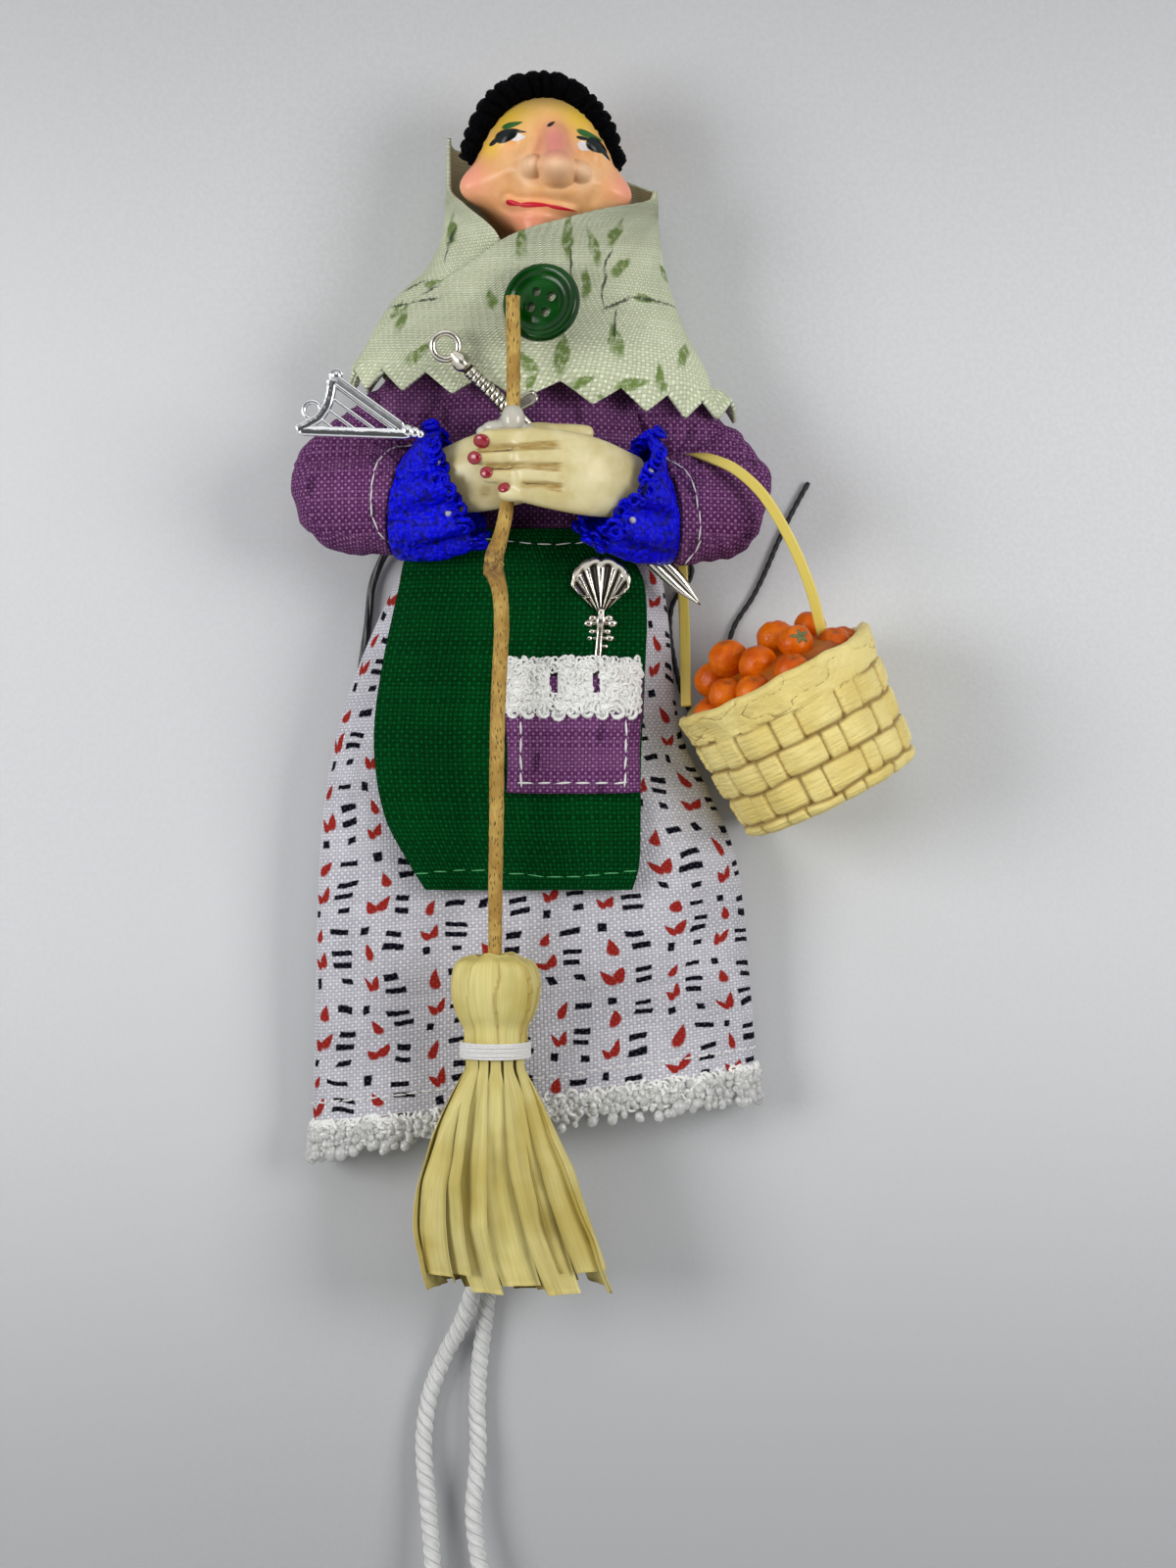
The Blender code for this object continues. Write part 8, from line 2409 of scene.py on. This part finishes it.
def makeHarp(s):
    def at(flat, lift=0.0):
        return np.array((flat[0], flat[1], s["z"] + lift))

    foot, heel, crown = np.array(s["foot"]), np.array(s["heel"]), np.array(s["crown"])
    bar = s["bar"]
    parts = [
        barMesh([at(foot + (heel - foot) * q) for q in np.linspace(0, 1.02, 5)], bar, 0.55, power=3.2),
        barMesh([at(crown + (heel - crown) * q) for q in np.linspace(-0.02, 0.93, 5)], bar * 1.15, 0.50,
                power=3.2),
        barMesh([at(p) for p in s["neck"]], bar * 1.05, 0.58, power=2.6, rows=70),
    ]
    deeps = [0.0, 0.5, 0.0]
    pillar = unit(heel - crown)
    across = np.array((-pillar[1], pillar[0]))
    for sign in (-1, 1):
        line = [at(crown + (heel - crown) * q + across * sign * 0.55, 0.22) for q in np.linspace(0.0, 0.90,
                                                                                                 5)]
        parts.append(barMesh(line, 0.28, 0.34))
        deeps.append(0.0)
    line = [at(foot + (heel - foot) * q + np.array((0, -0.55)), -0.1) for q in np.linspace(0.03, 0.9, 5)]
    parts.append(barMesh(line, 0.22, 0.4))
    deeps.append(0.0)
    neck = routePoints(np.column_stack([np.array(s["neck"]), np.zeros(len(s["neck"]))]), 200)[:, :2]
    for q in s["strings"]:
        top = neck[int(q * 199)]
        # each string runs level with the pillar, down to the base
        reach = (foot[1] + (heel[1] - foot[1]) * 0.5 - top[1]) / pillar[1]
        parts.append(barMesh([at(top, -0.1), at(top + pillar * reach * 0.5, -0.1),
                              at(top + pillar * reach, -0.1)], 0.27, 0.25))
        deeps.append(0.05)
    parts.append(hoopMesh(at(s["ring"]), xWay, yWay, s["ringRadius"], 0.38))
    deeps.append(0.1)
    for spot, size in (((-28.7, 36.2), 0.95), ((-29.6, 35.3), 0.62), ((-18.4, 28.2), 0.95),
                       ((-17.3, 28.0), 0.80), ((-16.5, 27.7), 0.60)):
        rings = [oval(at(spot) + yWay * size * math.cos(q), xWay, zWay, size * math.sin(q),
                      size * 0.8 * math.sin(q), 24)
                 for q in np.linspace(0.12, math.pi - 0.12, 16)]
        parts.append(loftMesh(np.array(rings)))
        deeps.append(0.1)
    turn = np.linspace(0, 4.2 * math.pi, 60)
    scroll = [at(np.array((-28.75, 36.15)) + np.array((math.cos(q), math.sin(q))) * (1.0 - q / 16.0),
                 0.5) for q in turn]
    parts.append(barMesh(scroll, 0.16, 0.22, rows=120, count=12))
    deeps.append(0.0)
    metalPiece("harpCharm", parts, deeps, bright, "harp_charm")


shellSettings = {
    "centre": (9.6, 6.6, 18.4), "width": 8.6, "thick": 0.9, "stem": 15.0, "stemWidth": 1.4, "ribs": 11,
}


def makeShell(s):
    # a fan of ribs inside a bright rim, on a scrolled stem that runs into the pocket
    centre = np.array(s["centre"])
    base = centre - yWay * s["width"] * 0.56
    phi = np.linspace(math.radians(-52), math.radians(232), 260)[None, :]
    v = np.linspace(0.0, 1, 80)[:, None]
    scallop = 1 + 0.030 * np.abs(np.sin(phi * 6.5))
    cleft = 1 - 0.10 * bell((phi - math.pi / 2) / 0.10)
    low = 1 - 0.42 * bell((np.abs(phi - math.pi / 2) - 2.45) / 0.55)
    radius = s["width"] / 2 * 1.03 * scallop * cleft * low
    rim = np.stack([centre[0] + radius * np.cos(phi), centre[1] + radius * np.sin(phi) * 0.92,
                    centre[2] + 0 * phi], -1)
    start = base + np.array((0, 0.3, 0))
    grid = start + (rim - start) * v[..., None]
    fan = np.arctan2(grid[..., 0] - base[0], grid[..., 1] - base[1] + 1e-9)
    ribs = np.abs(np.cos(fan * s["ribs"] * 1.15)) ** 0.8
    inside = np.clip((0.90 - v) / 0.06, 0, 1) * np.clip(v / 0.1, 0, 1)
    gap = bell((np.abs(fan) - 0.17) / 0.06) * np.clip(v * 2, 0, 1) * inside
    height = 0.35 + inside * (0.50 * ribs - 0.75) - gap * 0.25 + 0.25 * bell((v - 0.96) / 0.04)
    grid[..., 2] += height
    deep = np.clip(inside * (1.05 - ribs) + gap, 0, 1) + 0 * height
    under = grid[::-1].copy()
    under[..., 2] = centre[2] - s["thick"] / 2
    points = np.concatenate([grid.reshape(-1, 3), under.reshape(-1, 3)])
    rows, columns = grid.shape[:2]
    top, at = gridFaces(rows * 2, columns, False)
    sides = []
    for i in range(rows - 1):
        for j in (0, columns - 1):
            sides.append([i * columns + j, (i + 1) * columns + j, (2 * rows - 2 - i) * columns + j,
                          (2 * rows - 1 - i) * columns + j])
    faces = [list(f) for f in top] + sides
    parts = [(points, faces, np.zeros((len(faces) * 4, 2)))]
    deeps = [np.concatenate([deep.ravel(), np.zeros(deep.size)])]
    foot = (base[0] - s["stemWidth"] * 0.8, base[1] - s["stem"])
    stem = []
    for q in np.linspace(-0.10, 1, 12):
        x, y = base[0] + (foot[0] - base[0]) * q, base[1] + (foot[1] - base[1]) * q
        low = (skirtTop(np.array(x * mm),
                        np.array(y * mm)) + apronSettings["lift"] + apronSettings["thick"]) / mm + 0.85
        z = base[2] + (low - base[2]) * min(1, max(0, q * 3))
        stem.append((x, y, z))
    parts.append(barMesh(stem, s["stemWidth"] * 0.46, s["stemWidth"] * 0.40,
                         taper=((0, 1.5), (0.06, 0.8), (0.12, 1.3), (0.2, 0.8), (0.4, 0.9), (1, 0.8))))
    deeps.append(0.15)
    for level, reach, size in ((-0.9, 1.75, 0.60), (-2.1, 1.15, 0.42), (-3.1, 1.55, 0.55),
                               (-4.3, 0.95, 0.40), (-0.1, 1.2, 0.5)):
        for sign in (-1, 1):
            spot = base + np.array((sign * reach - level * -0.08, level, -0.25 + level * 0.14))
            rings = [oval(spot + yWay * size * math.cos(q), xWay, zWay, size * 1.25 * math.sin(q),
                          size * 0.8 * math.sin(q), 20)
                     for q in np.linspace(0.15, math.pi - 0.15, 12)]
            parts.append(loftMesh(np.array(rings)))
            deeps.append(0.2)
            parts.append(barMesh([base + np.array((0, level, -0.3 + level * 0.14)), spot], 0.3, 0.3, rows=12,
                                 count=12))
            deeps.append(0.4)
    metalPiece("shellCharm", parts, deeps, antique, "shell_charm")


makeSword(swordSettings)
makeHarp(harpSettings)
makeShell(shellSettings)

# hidden pieces that keep their solid
wireMaterial = metalMaterial("armWire", (0.50, 0.50, 0.50), (0.20, 0.20, 0.20), 0.30)


def shoeMaterial():
    # painted resin: dark brown, with a lighter sole and rubbed edges
    material, tree = startMaterial("shoeResin", 0.24, Specular_IOR_Level=0.4)
    place = coordinates(tree, "Object")
    brushed, worn = cloud(tree, place, 420.0, 3.0), cloud(tree, place, 1600.0, 3.0)
    tone = mix(tree, ramp(tree, brushed, 0.3, 0.7), (0.050, 0.020, 0.010), (0.105, 0.048, 0.024))
    tone = mix(tree, ramp(tree, worn, 0.62, 0.74, 0.0, 0.6), tone, (0.21, 0.12, 0.065))
    sole = ramp(tree, split(tree, place)[1], -0.1600, -0.1594, 1.0, 0.0)
    return endMaterial(material, mix(tree, sole, tone, (0.012, 0.008, 0.006)), worn, 0.00008)


shoe = shoeMaterial()
for node, material in (("neck_peg", twig), ("left_arm_wire", wireMaterial), ("right_arm_wire", wireMaterial),
                       ("left_shoe", shoe), ("right_shoe", shoe)):
    cadNodes[node].data.materials.clear()
    cadNodes[node].data.materials.append(material)
